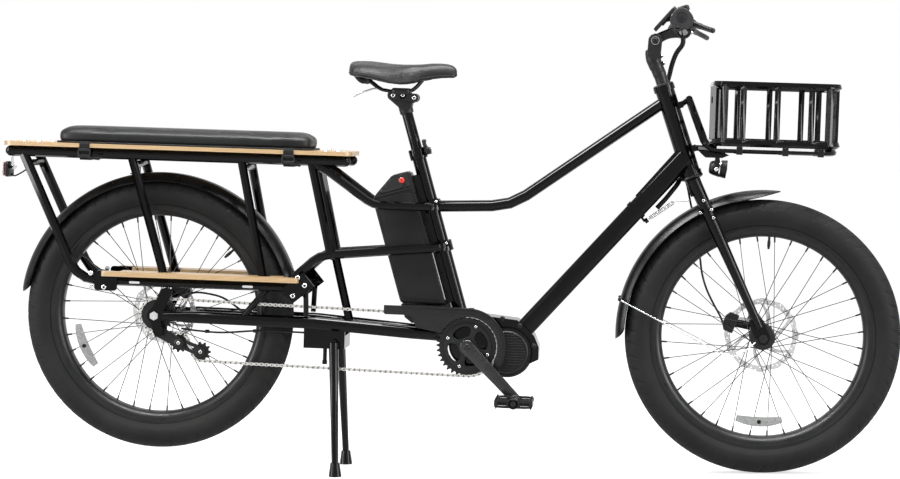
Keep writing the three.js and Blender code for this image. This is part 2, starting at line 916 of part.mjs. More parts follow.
// Toothed wheels of the drive
const pitchRadius = (teeth) => chainPitch / (2 * Math.sin(Math.PI / teeth));
const tipRadius = (teeth) => pitchRadius(teeth) + toothHeight;

function toothedOutline(teeth) {
  const pitch = pitchRadius(teeth);
  const root = pitch - chainHalfHeight;
  const tip = tipRadius(teeth);
  const corners = [];
  for (let i = 0; i < teeth; i += 1) {
    const at = (share, radius) => flat(
      radius * Math.cos(turns((i + share) / teeth)), radius * Math.sin(turns((i + share) / teeth)),
    );
    corners.push(at(-0.5, root), at(-0.1, tip), at(0.1, tip));
  }
  return new THREE.Shape(corners);
}

function toothedPlate(teeth, y, innerRadius) {
  const half = toothThickness / 2;
  return sidePlate(toothedOutline(teeth), y - half, y + half, [holeAt(0, 0, innerRadius, 12)]);
}

function rearCog() {
  const plate = toothedPlate(cogTeeth, cogY, cogCarrierRadius * 0.9);
  const bore = boreFor(axleRadius, 16);
  const carrier = turnedY([
    [bore, cogY - cogCarrierHalf], [cogCarrierRadius, cogY - cogCarrierHalf],
    [cogCarrierRadius, cogY + cogCarrierHalf], [bore, cogY + cogCarrierHalf],
    [bore, cogY - cogCarrierHalf],
  ], 12);
  return join(plate, carrier);
}

const cogGroup = new THREE.Group();
cogGroup.position.copy(rearWheel.position);
level.add(cogGroup);
piece('rear_cog', rearCog(), chainSteel, cogGroup);

function pulley() {
  const plate = toothedPlate(pulleyTeeth, cogY, pulleyAxleRadius * 2);
  const bore = boreFor(pulleyAxleRadius, 10);
  const half = pulleyThickness / 2;
  const boss = pitchRadius(pulleyTeeth) / 2;
  return join(plate, turnedY([
    [bore, cogY - half], [boss, cogY - half], [boss, cogY + half], [bore, cogY + half],
    [bore, cogY - half],
  ], 10));
}

const pulleyPlaces = [
  ['guide_pulley', guidePulleyX, guidePulleyZ], ['tension_pulley', tensionPulleyX, tensionPulleyZ],
];
for (const [name, x, z] of pulleyPlaces) {
  const group = new THREE.Group();
  group.position.set(x, 0, z);
  level.add(group);
  piece(name, pulley(), blackPlastic, group);
}

// A flat link between two places in X and Z with round ends, centred on y
function linkPlate(fromX, fromZ, toX, toZ, radius, y, thickness) {
  const heading = Math.atan2(toZ - fromZ, toX - fromX);
  const arc = (x, z, start) => Array.from({ length: 6 }, (_, i) => {
    const angle = heading + start + (Math.PI * i) / 5;
    return flat(x + radius * Math.cos(angle), z + radius * Math.sin(angle));
  });
  const outline = [...arc(fromX, fromZ, Math.PI / 2), ...arc(toX, toZ, -Math.PI / 2)];
  return sidePlate(outline, y - thickness / 2, y + thickness / 2);
}

// Tensioner: a boss against the hanger of the dropout, two cage plates and the pins of both pulleys
function tensionerArm() {
  const reach = tensionerWidth / 2;
  const gap = (pulleyThickness + tensionerPlate) / 2 + runningGap;
  const [outerY, innerY] = [cogY - gap, cogY + gap];
  const cage = (y) => linkPlate(
    guidePulleyX, guidePulleyZ, tensionPulleyX, tensionPulleyZ, reach * 0.7, y, tensionerPlate,
  );
  const upper = linkPlate(
    tensionerPivotX, tensionerPivotZ, guidePulleyX, guidePulleyZ, reach * 0.8, outerY, tensionerPlate,
  );
  const boss = rod(
    vec(tensionerPivotX, -rearDropoutInner + touchGap, tensionerPivotZ),
    vec(tensionerPivotX, outerY, tensionerPivotZ), reach, 14,
  );
  const pins = pulleyPlaces.map(([, x, z]) => (
    rod(vec(x, outerY, z), vec(x, innerY, z), pulleyAxleRadius, 10)
  ));
  return join(cage(outerY), cage(innerY), upper, boss, pins);
}

piece('tensioner_arm', tensionerArm(), satinBlack);

// Chainring, spider and right crank; left crank with the spindle through the motor
const crankTurn = turns(crankAngleShare);
const crankTip = (side, y) => vec(
  side * crankLength * Math.cos(crankTurn), y, side * crankLength * Math.sin(crankTurn),
);

function crankArm(side, outward) {
  const half = crankThickness / 2;
  const stations = [-0.09, 0, 0.12, 0.5, 0.94, 1, 1.055].map((share) => {
    const width = mix(crankRootWidth, crankTipWidth, Math.min(Math.max(share, 0), 1)) / 2;
    const rounding = share < 0 || share > 1 ? 0.5 : 1;
    const y = outward * mix(crankRootY, crankTipY, Math.min(Math.max(share * 1.4 - 0.1, 0), 1));
    const tip = crankTip(side, 0).multiplyScalar(share);
    return { at: vec(tip.x, y, tip.z), halfWidth: half, halfHeight: width * rounding };
  });
  const tipY = outward * (crankTipY - half);
  const spindle = rod(
    crankTip(side, tipY),
    crankTip(side, outward * (crankTipY + half + pedalGap + pedalWidth * 0.9)), pedalSpindleRadius, 10,
  );
  return join(ovalTube(stations, 8), spindle);
}

function cranksetRight() {
  const y = -chainlineY;
  const half = toothThickness / 2;
  const pitch = pitchRadius(ringTeeth);
  const rimInner = pitch * ringRimInnerShare;
  const [inner, side] = [ringWebRadius * 0.7, spiderArmWidth / 2];
  const windows = Array.from({ length: spiderArmCount }, (_, i) => {
    const start = turns((i + 0.5) / spiderArmCount) + crankTurn;
    const quarter = turns(1 / spiderArmCount);
    const arc = (radius, steps) => Array.from({ length: steps + 1 }, (__, k) => {
      const lean = Math.asin(side / radius);
      const angle = start + mix(lean, quarter - lean, k / steps);
      return flat(radius * Math.cos(angle), radius * Math.sin(angle));
    });
    return new THREE.Path([...arc(rimInner, 4), ...arc(inner, 2).reverse()]);
  });
  const ring = sidePlate(toothedOutline(ringTeeth), y - half, y + half, windows);
  const boss = rod(vec(0, -crankRootY - crankThickness / 2, 0), vec(0, y, 0), crankBossRadius, 12);
  const bore = rod(
    vec(0, -spindleEndY - touchGap, 0), vec(0, y + cutOverrun, 0), spindleRadius + touchGap, 12,
  );
  return cut(join(ring, boss, crankArm(1, -1)), bore);
}

function crankLeft() {
  const spindle = rod(vec(0, -spindleEndY, 0), vec(0, crankRootY, 0), spindleRadius, 12);
  const boss = rod(
    vec(0, motorLeftY + runningGap, 0), vec(0, crankRootY + crankThickness / 2, 0), crankBossRadius, 12,
  );
  return join(spindle, boss, crankArm(-1, 1));
}

const cranks = new THREE.Group();
cranks.position.set(bottomBracketX, 0, bottomBracketZ);
level.add(cranks);
piece('crankset_right', cranksetRight(), satinBlack, cranks);
piece('crank_left', crankLeft(), satinBlack, cranks);

// Platform pedal with two windows, on the spindle of its crank
function pedal(side, outward) {
  const start = crankTipY + crankThickness / 2 + pedalGap;
  const [y0, y1] = outward < 0 ? [-start - pedalWidth, -start] : [start, start + pedalWidth];
  const half = pedalDepth / 2;
  const outline = roundedRectangle(-half, half, y0, y1, pedalRailThickness);
  const barrel = pedalSpindleRadius * 2;
  for (const [x0, x1] of [[-half + pedalRailThickness, -barrel], [barrel, half - pedalRailThickness]]) {
    outline.holes.push(roundedRectangle(
      x0, x1, y0 + pedalRailThickness, y1 - pedalRailThickness, pedalRailThickness / 3,
    ));
  }
  const body = flatPlate(outline, -pedalHeight / 2, pedalHeight / 2, 2);
  const bore = rod(
    vec(0, outward * (start - cutOverrun), 0), vec(0, outward * (start + pedalWidth * 0.92), 0),
    boreFor(pedalSpindleRadius, 10, touchGap), 10,
  );
  const tip = crankTip(side, 0);
  return moved(cut(body, bore), tip.x, 0, tip.z);
}
piece('pedal_right', pedal(1, -1), blackPlastic, cranks);
piece('pedal_left', pedal(-1, 1), blackPlastic, cranks);

// Chain: one loop of wide and narrow links over ring, tensioner and cog, slotted where teeth reach in
const chainCircles = [
  { x: rearAxleX, z: axleZ, teeth: cogTeeth, sense: -1 },
  { x: bottomBracketX, z: bottomBracketZ, teeth: ringTeeth, sense: -1 },
  { x: tensionPulleyX, z: tensionPulleyZ, teeth: pulleyTeeth, sense: -1 },
  { x: guidePulleyX, z: guidePulleyZ, teeth: pulleyTeeth, sense: 1 },
];

// Places along the loop: straight runs between the pitch circles and arcs round them
function chainRuns() {
  const tangents = chainCircles.map((from, i) => {
    const to = chainCircles[(i + 1) % chainCircles.length];
    const [r0, r1] = [from.sense * pitchRadius(from.teeth), to.sense * pitchRadius(to.teeth)];
    const reach = Math.hypot(to.x - from.x, to.z - from.z);
    const heading = Math.atan2(to.z - from.z, to.x - from.x) - Math.asin((r1 - r0) / reach);
    const normal = flat(-Math.sin(heading), Math.cos(heading));
    const start = flat(from.x, from.z).addScaledVector(normal, -r0);
    const end = flat(to.x, to.z).addScaledVector(normal, -r1);
    return { heading, start, end };
  });
  return tangents.flatMap((tangent, i) => {
    const circle = chainCircles[(i + 1) % chainCircles.length];
    const next = tangents[(i + 1) % tangents.length];
    const full = 2 * Math.PI;
    const turn = ((circle.sense * (next.heading - tangent.heading)) % full + full) % full;
    const radius = pitchRadius(circle.teeth);
    return [
      { length: tangent.start.distanceTo(tangent.end), at: (d) => flat(
        tangent.start.x + d * Math.cos(tangent.heading), tangent.start.y + d * Math.sin(tangent.heading),
      ), heading: () => tangent.heading },
      { length: radius * turn, at: (d) => {
        const heading = tangent.heading + circle.sense * (d / radius);
        return flat(circle.x, circle.z).add(
          flat(Math.sin(heading), -Math.cos(heading)).multiplyScalar(circle.sense * radius),
        );
      }, heading: (d) => tangent.heading + circle.sense * (d / radius) },
    ];
  });
}

function chain() {
  const runs = chainRuns();
  const total = runs.reduce((sum, run) => sum + run.length, 0);
  const links = 2 * Math.round(total / (2 * chainPitch));
  const rings = [];
  for (let i = 0; i < links; i += 1) {
    let along = (total * i) / links;
    let run = runs[0];
    for (run of runs) {
      if (along <= run.length) break;
      along -= run.length;
    }
    const at = run.at(along);
    const heading = run.heading(along);
    const lift = flat(-Math.sin(heading), Math.cos(heading)).multiplyScalar(chainHalfHeight);
    const halfWidth = (i % 2 ? chainWidth : chainInnerWidth) / 2;
    const [y0, y1] = [-chainlineY - halfWidth, -chainlineY + halfWidth];
    rings.push([
      vec(at.x + lift.x, y0, at.y + lift.y), vec(at.x + lift.x, y1, at.y + lift.y),
      vec(at.x - lift.x, y1, at.y - lift.y), vec(at.x - lift.x, y0, at.y - lift.y),
    ]);
  }
  const slotHalf = toothThickness / 2 + touchGap;
  const slots = chainCircles.map(({ x, z, teeth }) => moved(
    crossRod(0, 0, slotHalf, tipRadius(teeth) + touchGap * 2, Math.max(teeth, 20)), x, -chainlineY, z,
  ));
  return cut(loft(rings, true), slots);
}
piece('chain', chain(), chainSteel);

// Motor: a housing round the spindle and the drum ahead of it, with a finned round cap on the right
const motorPlaces = [
  [bottomBracketX, bottomBracketZ, motorRearRadius], [motorFrontX, motorFrontZ, motorFrontRadius],
];

// The outline that two circles share, grown by a margin
function motorOutline(margin) {
  const [[x0, z0, r0], [x1, z1, r1]] = motorPlaces;
  const reach = Math.hypot(x1 - x0, z1 - z0);
  const tilt = Math.atan2(z1 - z0, x1 - x0);
  const lean = Math.acos((r0 - r1) / reach);
  const corners = [];
  const arc = (x, z, radius, from, to, steps) => {
    for (let i = 0; i <= steps; i += 1) {
      const angle = mix(from, to, i / steps);
      corners.push(flat(x + (radius + margin) * Math.cos(angle), z + (radius + margin) * Math.sin(angle)));
    }
  };
  arc(x1, z1, r1, tilt - lean, tilt + lean, 10);
  arc(x0, z0, r0, tilt + lean, tilt + 2 * Math.PI - lean, 8);
  return new THREE.Shape(corners);
}

function motorUnit() {
  const housing = sidePlate(motorOutline(0), -motorRightY, motorLeftY);
  const boss = rod(
    vec(bottomBracketX, -motorBossY, bottomBracketZ), vec(bottomBracketX, 0, bottomBracketZ),
    motorBossRadius, 18,
  );
  const capFace = -motorRightY - motorCapHeight;
  const cap = rod(
    vec(motorFrontX, capFace + motorFinDepth, motorFrontZ), vec(motorFrontX, 0, motorFrontZ),
    motorCapRadius, 18,
  );
  const fins = Array.from({ length: motorCapFins }, (_, i) => {
    const angle = turns(i / motorCapFins);
    const [inner, outer] = [motorCapRadius * 0.55, motorCapRadius * 0.97];
    const side = flat(-Math.sin(angle), Math.cos(angle)).multiplyScalar(motorFinThickness / 2);
    const at = (radius) => flat(
      motorFrontX + radius * Math.cos(angle), motorFrontZ + radius * Math.sin(angle),
    );
    return sidePlate([
      at(inner).add(side), at(inner).sub(side), at(outer).sub(side), at(outer).add(side),
    ], capFace, capFace + motorFinDepth * 2);
  });
  const button = rod(
    vec(motorFrontX, capFace, motorFrontZ), vec(motorFrontX, 0, motorFrontZ), motorCapRadius * 0.4, 18,
  );
  const bore = crossRod(bottomBracketX, bottomBracketZ, cutOverrun * 4, boreFor(spindleRadius, 12), 12);
  return cut(join(housing, boss, cap, fins, button), bore);
}
piece('motor_unit', motorUnit(), blackPlastic);

// Direction of the down tube, from its foot up to the head tube
const downTubeHead = onSteering(0, 0, downTubeHeadAlong);
const downTubeFoot = vec(downTubeFootX, 0, downTubeFootZ);
const downTubeRun = vec(0, 0, 0).subVectors(downTubeHead, downTubeFoot).normalize();
const downTubeUp = vec(-downTubeRun.z, 0, downTubeRun.x);

// Shell: the frame's arch over the motor, with faces square to the seat tube and the down tube
function motorShell() {
  const seatFoot = onSeat(0, 0, seatTubeBottom - touchGap);
  const seatAcross = flat(Math.cos(seatAngle), Math.sin(seatAngle));
  const seatHalf = seatTubeRadius + stayRadius / 3;
  const downFoot = downTubeFoot.clone().addScaledVector(downTubeRun, -touchGap);
  const downHalf = downTubeDepth / 2 + coverHeight;
  const outline = [
    flat(stayFrontX, stayFrontZ - stayRadius - touchGap),
    flat(stayFrontX, stayFrontZ + stayRadius + touchGap),
    flat(seatFoot.x - seatAcross.x * seatHalf, seatFoot.z - seatAcross.y * seatHalf),
    flat(seatFoot.x + seatAcross.x * seatHalf, seatFoot.z + seatAcross.y * seatHalf),
    flat(downFoot.x + downTubeUp.x * downHalf, downFoot.z + downTubeUp.z * downHalf),
    flat(downFoot.x - downTubeUp.x * downHalf, downFoot.z - downTubeUp.z * downHalf),
    flat(motorFrontX + motorFrontRadius + stayRadius, motorFrontZ + stayRadius),
    flat(motorFrontX + motorFrontRadius + stayRadius, motorFrontZ - stayRadius),
    flat(motorFrontX + motorFrontRadius - stayRadius, motorFrontZ - stayRadius * 2),
    flat(bottomBracketX, bottomBracketZ - stayRadius),
  ];
  const body = sidePlate(outline, -shellHalfWidth, shellHalfWidth);
  const motor = sidePlate(motorOutline(touchGap * 2), -motorLeftY * 2, motorLeftY * 2);
  return cut(body, motor);
}
piece('motor_shell', motorShell(), blackPaint);

// Head tube with its two collars, bored for the steerer
const steererBore = boreFor(steererRadius, 16);
piece('head_tube', turnedZ([
  [steererBore, headTubeLow], [headCollarRadius, headTubeLow],
  [headCollarRadius, headTubeLow + headCollarHeight], [headTubeRadius, headTubeLow + headCollarHeight],
  [headTubeRadius, headTubeHigh - headCollarHeight], [headCollarRadius, headTubeHigh - headCollarHeight],
  [headCollarRadius, headTubeHigh], [steererBore, headTubeHigh], [steererBore, headTubeLow],
], 16), blackPaint, steering);

// The space that the head tube and the seat tube take from whatever meets them
const headCollarTop = headTubeLow + headCollarHeight + touchGap;
const headRoom = join(
  rod(
    onSteering(0, 0, headTubeLow), onSteering(0, 0, headTubeHigh + cutOverrun),
    boreFor(headTubeRadius, 14, touchGap), 14,
  ),
  rod(
    onSteering(0, 0, headTubeLow - cutOverrun), onSteering(0, 0, headCollarTop),
    boreFor(headCollarRadius, 14, touchGap), 14,
  ),
);
const seatRoom = rod(
  onSeat(0, 0, seatTubeBottom), onSeat(0, 0, seatTubeTop), boreFor(seatTubeRadius, 12, touchGap), 12,
);
const dockRoom = (() => {
  const half = dockWidth / 2 + touchGap;
  const back = seatTubeRadius + dockDepth + touchGap;
  const corners = [
    [-back, dockBottom - touchGap], [0, dockBottom - touchGap], [0, dockTop + touchGap],
    [-back, dockTop + touchGap],
  ].map(([forward, along]) => onSeat(forward, 0, along)).map((p) => flat(p.x, p.z));
  return sidePlate(corners, -half, half);
})();

function topTube() {
  const head = onSteering(0, 0, topTubeHeadLow);
  const tube = pipe([
    vec(seatAxisX(topTubeSeatZ), 0, topTubeSeatZ), vec(topTubeCornerX, 0, topTubeCornerZ), head,
  ], topTubeRadius, topTubeBend, 12);
  return cut(tube, headRoom, seatRoom);
}
piece('top_tube', topTube(), blackPaint);

// Line of the stabiliser spring and its seat under the down tube
const springSeat = vec(springRearX, 0, springRearZ);
const springLine = vec(springFrontX - springRearX, 0, springFrontZ - springRearZ).normalize();
const springSeatBack = springSeat.clone().addScaledVector(springLine, -springSeatLength);

// Down tube: a rounded box section with a raised cover near the head and the spring's clamp band
function downTube() {
  const section = (depth, width, corner) => {
    const shape = roundedRectangle(-width / 2, width / 2, -depth / 2, depth / 2, corner);
    return shape.getPoints(2).slice(0, -1);
  };
  const ringAt = (along, points, lift) => points.map((p) => (
    downTubeFoot.clone().addScaledVector(downTubeRun, along)
      .addScaledVector(downTubeUp, p.y + lift).add(vec(0, p.x, 0))
  ));
  const reach = downTubeHead.distanceTo(downTubeFoot);
  const box = section(downTubeDepth, downTubeWidth, downTubeCorner);
  const tube = loft([ringAt(0, box, 0), ringAt(reach, box, 0)]);
  const plate = [[-1, -1], [1, -1], [1, 1], [-1, 1]].map(([a, b]) => (
    flat((a * coverWidth) / 2, b * coverHeight)
  ));
  const plateLift = downTubeDepth / 2;
  const cover = loft([
    ringAt(reach - coverLength, plate, plateLift - coverHeight / 2), ringAt(reach, plate, plateLift),
  ]);
  const band = section(downTubeDepth + coverHeight, downTubeWidth + coverHeight, downTubeCorner);
  const clampAlong = reach - springClampAlong;
  const clamp = loft([ringAt(clampAlong, band, 0), ringAt(clampAlong + springClampWidth, band, 0)]);
  const post = rod(
    downTubeFoot.clone().addScaledVector(downTubeRun, clampAlong + springClampWidth / 2), springSeatBack,
    springSeatRadius / 2, 6,
  );
  const seat = rod(springSeatBack, springSeat, springSeatRadius, 8);
  return cut(join(tube, cover, clamp, post, seat), headRoom);
}
piece('down_tube', downTube(), blackPaint);

const clampPinForward = seatCollarRadius + clampLeverThickness / 2 + clampPinRadius;

// Seat tube with its collar and the dock of the battery, bored for the seatpost
function seatTube() {
  const tube = turnedZ([
    [0, seatTubeBottom], [seatTubeRadius, seatTubeBottom],
    [seatTubeRadius, seatTubeTop - seatCollarHeight], [seatCollarRadius, seatTubeTop - seatCollarHeight],
    [seatCollarRadius, seatTubeTop], [0, seatTubeTop],
  ], 16);
  const dock = block(
    -seatTubeRadius - dockDepth, -seatTubeRadius / 2, -dockWidth / 2, dockWidth / 2, dockBottom, dockTop,
  );
  const earLength = clampPinForward + clampPinRadius * 2;
  const ear = block(
    0, earLength, -clampLeverThickness * 1.5, clampLeverThickness * 1.5,
    seatTubeTop - seatCollarHeight * 0.85, seatTubeTop - seatCollarHeight * 0.15,
  );
  const boreBottom = seatTubeTop - seatpostInsertion - seatpostLowering - runningGap;
  const bore = turnedZ([
    [0, boreBottom], [seatpostRadius + touchGap, boreBottom],
    [seatpostRadius + touchGap, seatTubeTop + cutOverrun], [0, seatTubeTop + cutOverrun],
  ], 16);
  const pinBore = moved(crossRod(
    0, 0, clampLeverThickness * 2, boreFor(clampPinRadius, 10), 10,
  ), clampPinForward, 0, seatTubeTop - seatCollarHeight / 2);
  return cut(join(tube, dock, ear), bore, pinBore);
}
piece('seat_tube', seatTube(), blackPaint, seating);

// Seatpost with its head and the two saddle rails
const seatpostTop = onSeat(0, 0, seatpostHeadAlong);
const railRearX = saddleRearX + saddleLength * 0.2;
const railNoseX = saddleRearX + saddleLength * 0.68;
const railLowZ = saddleTopZ - saddleThickness - railHeight - railRadius * 2;

function seatpost() {
  const post = rod(
    onSeat(0, 0, seatTubeTop - seatpostInsertion), onSeat(0, 0, seatpostHeadAlong), seatpostRadius, 16,
  );
  const headX = seatpostTop.x - seatHeadWidth / 3;
  const head = block(
    headX - seatHeadWidth / 2, headX + seatHeadWidth / 2, -railSpread - railRadius * 2,
    railSpread + railRadius * 2, railLowZ - railRadius * 3, railLowZ + railRadius * 2,
  );
  const neck = rod(
    onSeat(0, 0, seatpostHeadAlong - seatpostRadius), vec(headX, 0, railLowZ), seatpostRadius, 10,
  );
  const underTop = saddleTopZ - saddleThickness - railRadius - touchGap;
  const rail = (y) => pipe([
    vec(railRearX, y * 1.4, underTop), vec(railRearX + railHeight, y, railLowZ),
    vec(railNoseX - railHeight, y, railLowZ), vec(railNoseX, y * 0.5, underTop),
  ], railRadius, railHeight / 3, 4);
  return join(post, head, neck, rail(railSpread), rail(-railSpread));
}
piece('seatpost', seatpost(), satinBlack);

// Saddle: a wide rear that narrows to the nose, with a skirt and a hollow underside
const saddleWidthShares = [0.5, 0.8, 0.97, 1, 0.9, 0.66, 0.45, 0.34, 0.28, 0.25, 0.21, 0.12];
const saddleDropShares = [0.22, 0.06, 0, 0.03, 0.08, 0.09, 0.07, 0.02, -0.03, -0.04, 0, 0.16];
const saddleSkirtShares = [0.6, 0.7, 0.85, 0.95, 1, 1, 0.9, 0.76, 0.66, 0.6, 0.55, 0.5];
function saddle() {
  const count = saddleWidthShares.length;
  const rings = saddleWidthShares.map((widthShare, i) => {
    const x = saddleRearX + (saddleLength * i) / (count - 1);
    const half = saddleHalfWidth * widthShare;
    const top = saddleTopZ - saddleSkirt * saddleDropShares[i];
    const low = saddleTopZ - saddleSkirt * saddleSkirtShares[i];
    const under = Math.max(top - saddleThickness, low + saddleThickness / 8);
    const outer = [0, 0.35, 0.7, 0.92, 1, 0.97].map((share, k) => {
      const drop = [0, 0.03, 0.12, 0.32, 0.62, 1][k];
      return [half * share, top - (top - low) * drop];
    });
    const inner = [[half * 0.86, low], [half * 0.7, under], [0, under]];
    const right = [...outer, ...inner];
    const left = right.slice(1, -1).reverse().map(([y, z]) => [-y, z]);
    return [...right, ...left].map(([y, z]) => vec(x, y, z));
  });
  return loft(rings);
}
piece('saddle', saddle(), seatCover);

// Lever of the seat clamp, turned on a pin across the collar's ears
function clampLever() {
  const along = seatTubeTop - seatCollarHeight / 2;
  const forward = clampPinForward;
  const y = -clampLeverThickness * 1.5 - touchGap * 2;
  const cam = rod(
    vec(forward, y - clampLeverThickness * 2, along), vec(forward, y, along), clampLeverThickness, 12,
  );
  const tail = linkPlate(
    forward, along, forward + clampLeverThickness / 2, along + clampLeverLength,
    clampLeverThickness * 0.7, y - clampLeverThickness * 1.4, clampLeverThickness,
  );
  const pin = rod(
    vec(forward, y, along), vec(forward, clampLeverThickness * 1.5, along), clampPinRadius, 10,
  );
  return join(cam, tail, pin);
}
piece('seat_clamp_lever', clampLever(), satinBlack, seating);

// Battery: a slab with rounded edges behind the dock, and its release button
const batteryFront = -seatTubeRadius - dockDepth - touchGap;
const batteryRear = batteryFront - batteryDepth;
function battery() {
  const outline = new THREE.Shape([
    flat(batteryFront, batteryBottom), flat(batteryFront, batteryTop - batteryCorner),
    flat(batteryFront - batteryCorner, batteryTop),
    flat(batteryFront - batteryTopLength - batteryCorner, batteryTop),
    flat(batteryRear + batteryCorner, batteryShoulder + batteryCorner),
    flat(batteryRear, batteryShoulder), flat(batteryRear, batteryRearBottom + batteryCorner),
    flat(batteryRear + batteryCorner, batteryRearBottom),
  ]);
  const bevel = batteryCorner * 0.7;
  const geometry = new THREE.ExtrudeGeometry(outline, {
    depth: 2 * (batteryHalfWidth - bevel), bevelEnabled: true, bevelThickness: bevel,
    bevelSize: bevel, bevelOffset: -bevel, bevelSegments: 2,
  });
  const slab = solidOf(geometry.rotateX(Math.PI / 2).translate(0, batteryHalfWidth - bevel, 0));
  const recess = rod(
    vec(
      batteryFront + seatTubeRadius + dockDepth - buttonBack,
      -batteryHalfWidth - cutOverrun, buttonAlong,
    ),
    vec(
      batteryFront + seatTubeRadius + dockDepth - buttonBack,
      -batteryHalfWidth + buttonDepth + buttonTravel + runningGap, buttonAlong,
    ), boreFor(buttonRadius, 16, touchGap), 16,
  );
  return cut(slab, recess);
}
piece('battery_pack', battery(), blackPlastic, seating);
const buttonForward = batteryFront + seatTubeRadius + dockDepth - buttonBack;
piece('battery_button', rod(
  vec(buttonForward, -batteryHalfWidth - buttonProud, buttonAlong),
  vec(buttonForward, -batteryHalfWidth + buttonDepth, buttonAlong), buttonRadius, 16,
), buttonOrange, seating);

// Chainstays: two oval tubes with bridge, dropouts, braces and the block that carries the stand
function chainstays() {
  const wide = stayRadius * stayHalfWidthShare;
  const rearEnd = rearAxleX + dropoutRadius;
  const stations = [
    [rearEnd, rearDropoutInner + dropoutThickness / 2, axleZ, 0.55],
    [rearEnd + stayFlattening, stayRearY, axleZ, 1], [stayMidX, stayMidY, stayMidZ, 1],
    [stayNeckX, stayNeckY, mix(stayMidZ, stayFrontZ, 0.8), 1],
    [stayFrontX - touchGap, stayFrontY, stayFrontZ, 1],
  ].map(([x, y, z, share]) => ({
    at: vec(x, -y, z), halfWidth: wide * share, halfHeight: stayRadius * share,
  }));
  const dropoutMiddle = rearDropoutInner + dropoutThickness / 2;
  const footRailUnder = footRailZ - footRailRadius - touchGap;
  const tall = linkPlate(
    rearAxleX, axleZ, dropoutTopX, footRailUnder - dropoutTopRadius, dropoutTopRadius,
    -dropoutMiddle, dropoutThickness,
  );
  const round = moved(
    crossRod(0, 0, dropoutThickness / 2, dropoutRadius, 12), rearAxleX, -dropoutMiddle, axleZ,
  );
  const stayEnd = linkPlate(
    rearAxleX, axleZ, rearEnd + dropoutRadius, axleZ, stayRadius * 0.8, -dropoutMiddle, dropoutThickness,
  );
  const brace = rod(
    vec(braceTopX, -footRailHalf + footRailRadius / 2, footRailZ),
    vec(braceFootX, -mix(stayMidY, stayRearY, 0.5), axleZ), braceRadius, 10,
  );
  const web = block(
    standBlockRear, standBlockFront, -standBlockHalfWidth - standWebThickness, -standBlockHalfWidth,
    standPivotZ - standBlockHalfHeight, stayMidZ,
  );
  const side = join(ovalTube(stations), tall, round, stayEnd, brace, web);
  const hanger = linkPlate(
    rearAxleX, axleZ, tensionerPivotX, tensionerPivotZ, hangerRadius, -dropoutMiddle, dropoutThickness,
  );
  const bridge = crossRod(bridgeX, bridgeZ, stayMidY, bridgeRadius);
  const standBlock = block(
    standBlockRear, standBlockFront, -standBlockHalfWidth, standBlockHalfWidth,
    standPivotZ - standBlockHalfHeight, standPivotZ + standBlockHalfHeight,
  );
  const whole = join(bothSides(side), hanger, bridge, standBlock);
  const rails = bothSides(rod(
    vec(footRailRearX, -footRailHalf, footRailZ), vec(footRailFrontX, -footRailHalf, footRailZ),
    boreFor(footRailRadius, 12, touchGap), 12,
  ));
  const wheelRoom = moved(
    crossRod(0, 0, tyreWidth / 2 + runningGap * 3, tyreRadius + runningGap * 3, 36), rearAxleX, 0, axleZ,
  );
  const shellRoom = block(
    stayFrontX - touchGap, stayFrontX + cutOverrun, -stayMidY, stayMidY, stayFrontZ - cutOverrun * 2,
    stayFrontZ + cutOverrun * 2,
  );
  return cut(
    whole, rails, wheelRoom, shellRoom,
    crossRod(rearAxleX, axleZ, cutOverrun * 6, boreFor(axleRadius, 12, touchGap), 12),
    crossRod(standPivotX, standPivotZ, cutOverrun * 4, boreFor(standAxleRadius, 12, touchGap), 12),
  );
}
piece('chainstays', chainstays(), blackPaint);

// Rear axle with a nut outside each dropout; front axle likewise in the fork
function axle(inner, thickness) {
  const reach = inner + thickness + touchGap;
  const nut = (y0, y1) => rod(vec(0, y0, 0), vec(0, y1, 0), axleNutRadius, 6);
  const tip = reach + axleNutLength;
  return join(
    crossRod(0, 0, tip, axleRadius, 12), nut(reach, tip), nut(-tip, -reach),
  );
}
piece('rear_axle', moved(axle(rearDropoutInner, dropoutThickness), rearAxleX, 0, axleZ), silver);

// Rack: two round-ended rails, cross tubes and the twin upper stays that run round the seat tube
function roundEndedRail(y) {
  const r = rackRailRadius;
  const profile = [[0, rackRearX]];
  for (const angle of [0.35, 0.7, 1]) {
    const lean = (angle * Math.PI) / 2;
    profile.push([r * Math.sin(lean), rackRearX + r * (1 - Math.cos(lean))]);
  }
  for (const angle of [1, 0.7, 0.35]) {
    const lean = (angle * Math.PI) / 2;
    profile.push([r * Math.sin(lean), rackFrontX - r * (1 - Math.cos(lean))]);
  }
  profile.push([0, rackFrontX]);
  const points = profile.map(([radius, x]) => flat(radius, x));
  const geometry = new THREE.LatheGeometry(points, 8).rotateZ(-Math.PI / 2);
  return solidOf(geometry.translate(0, y, rackRailZ));
}

// A collar that holds a stay loop to the seat tube
function seatLug(z) {
  const along = (z - bottomBracketZ) / Math.cos(seatAngle);
  const half = seatLugHeight / 2;
  return rod(
    onSeat(0, 0, along - half), onSeat(0, 0, along + half), seatTubeRadius + seatLugWall, 14,
  );
}

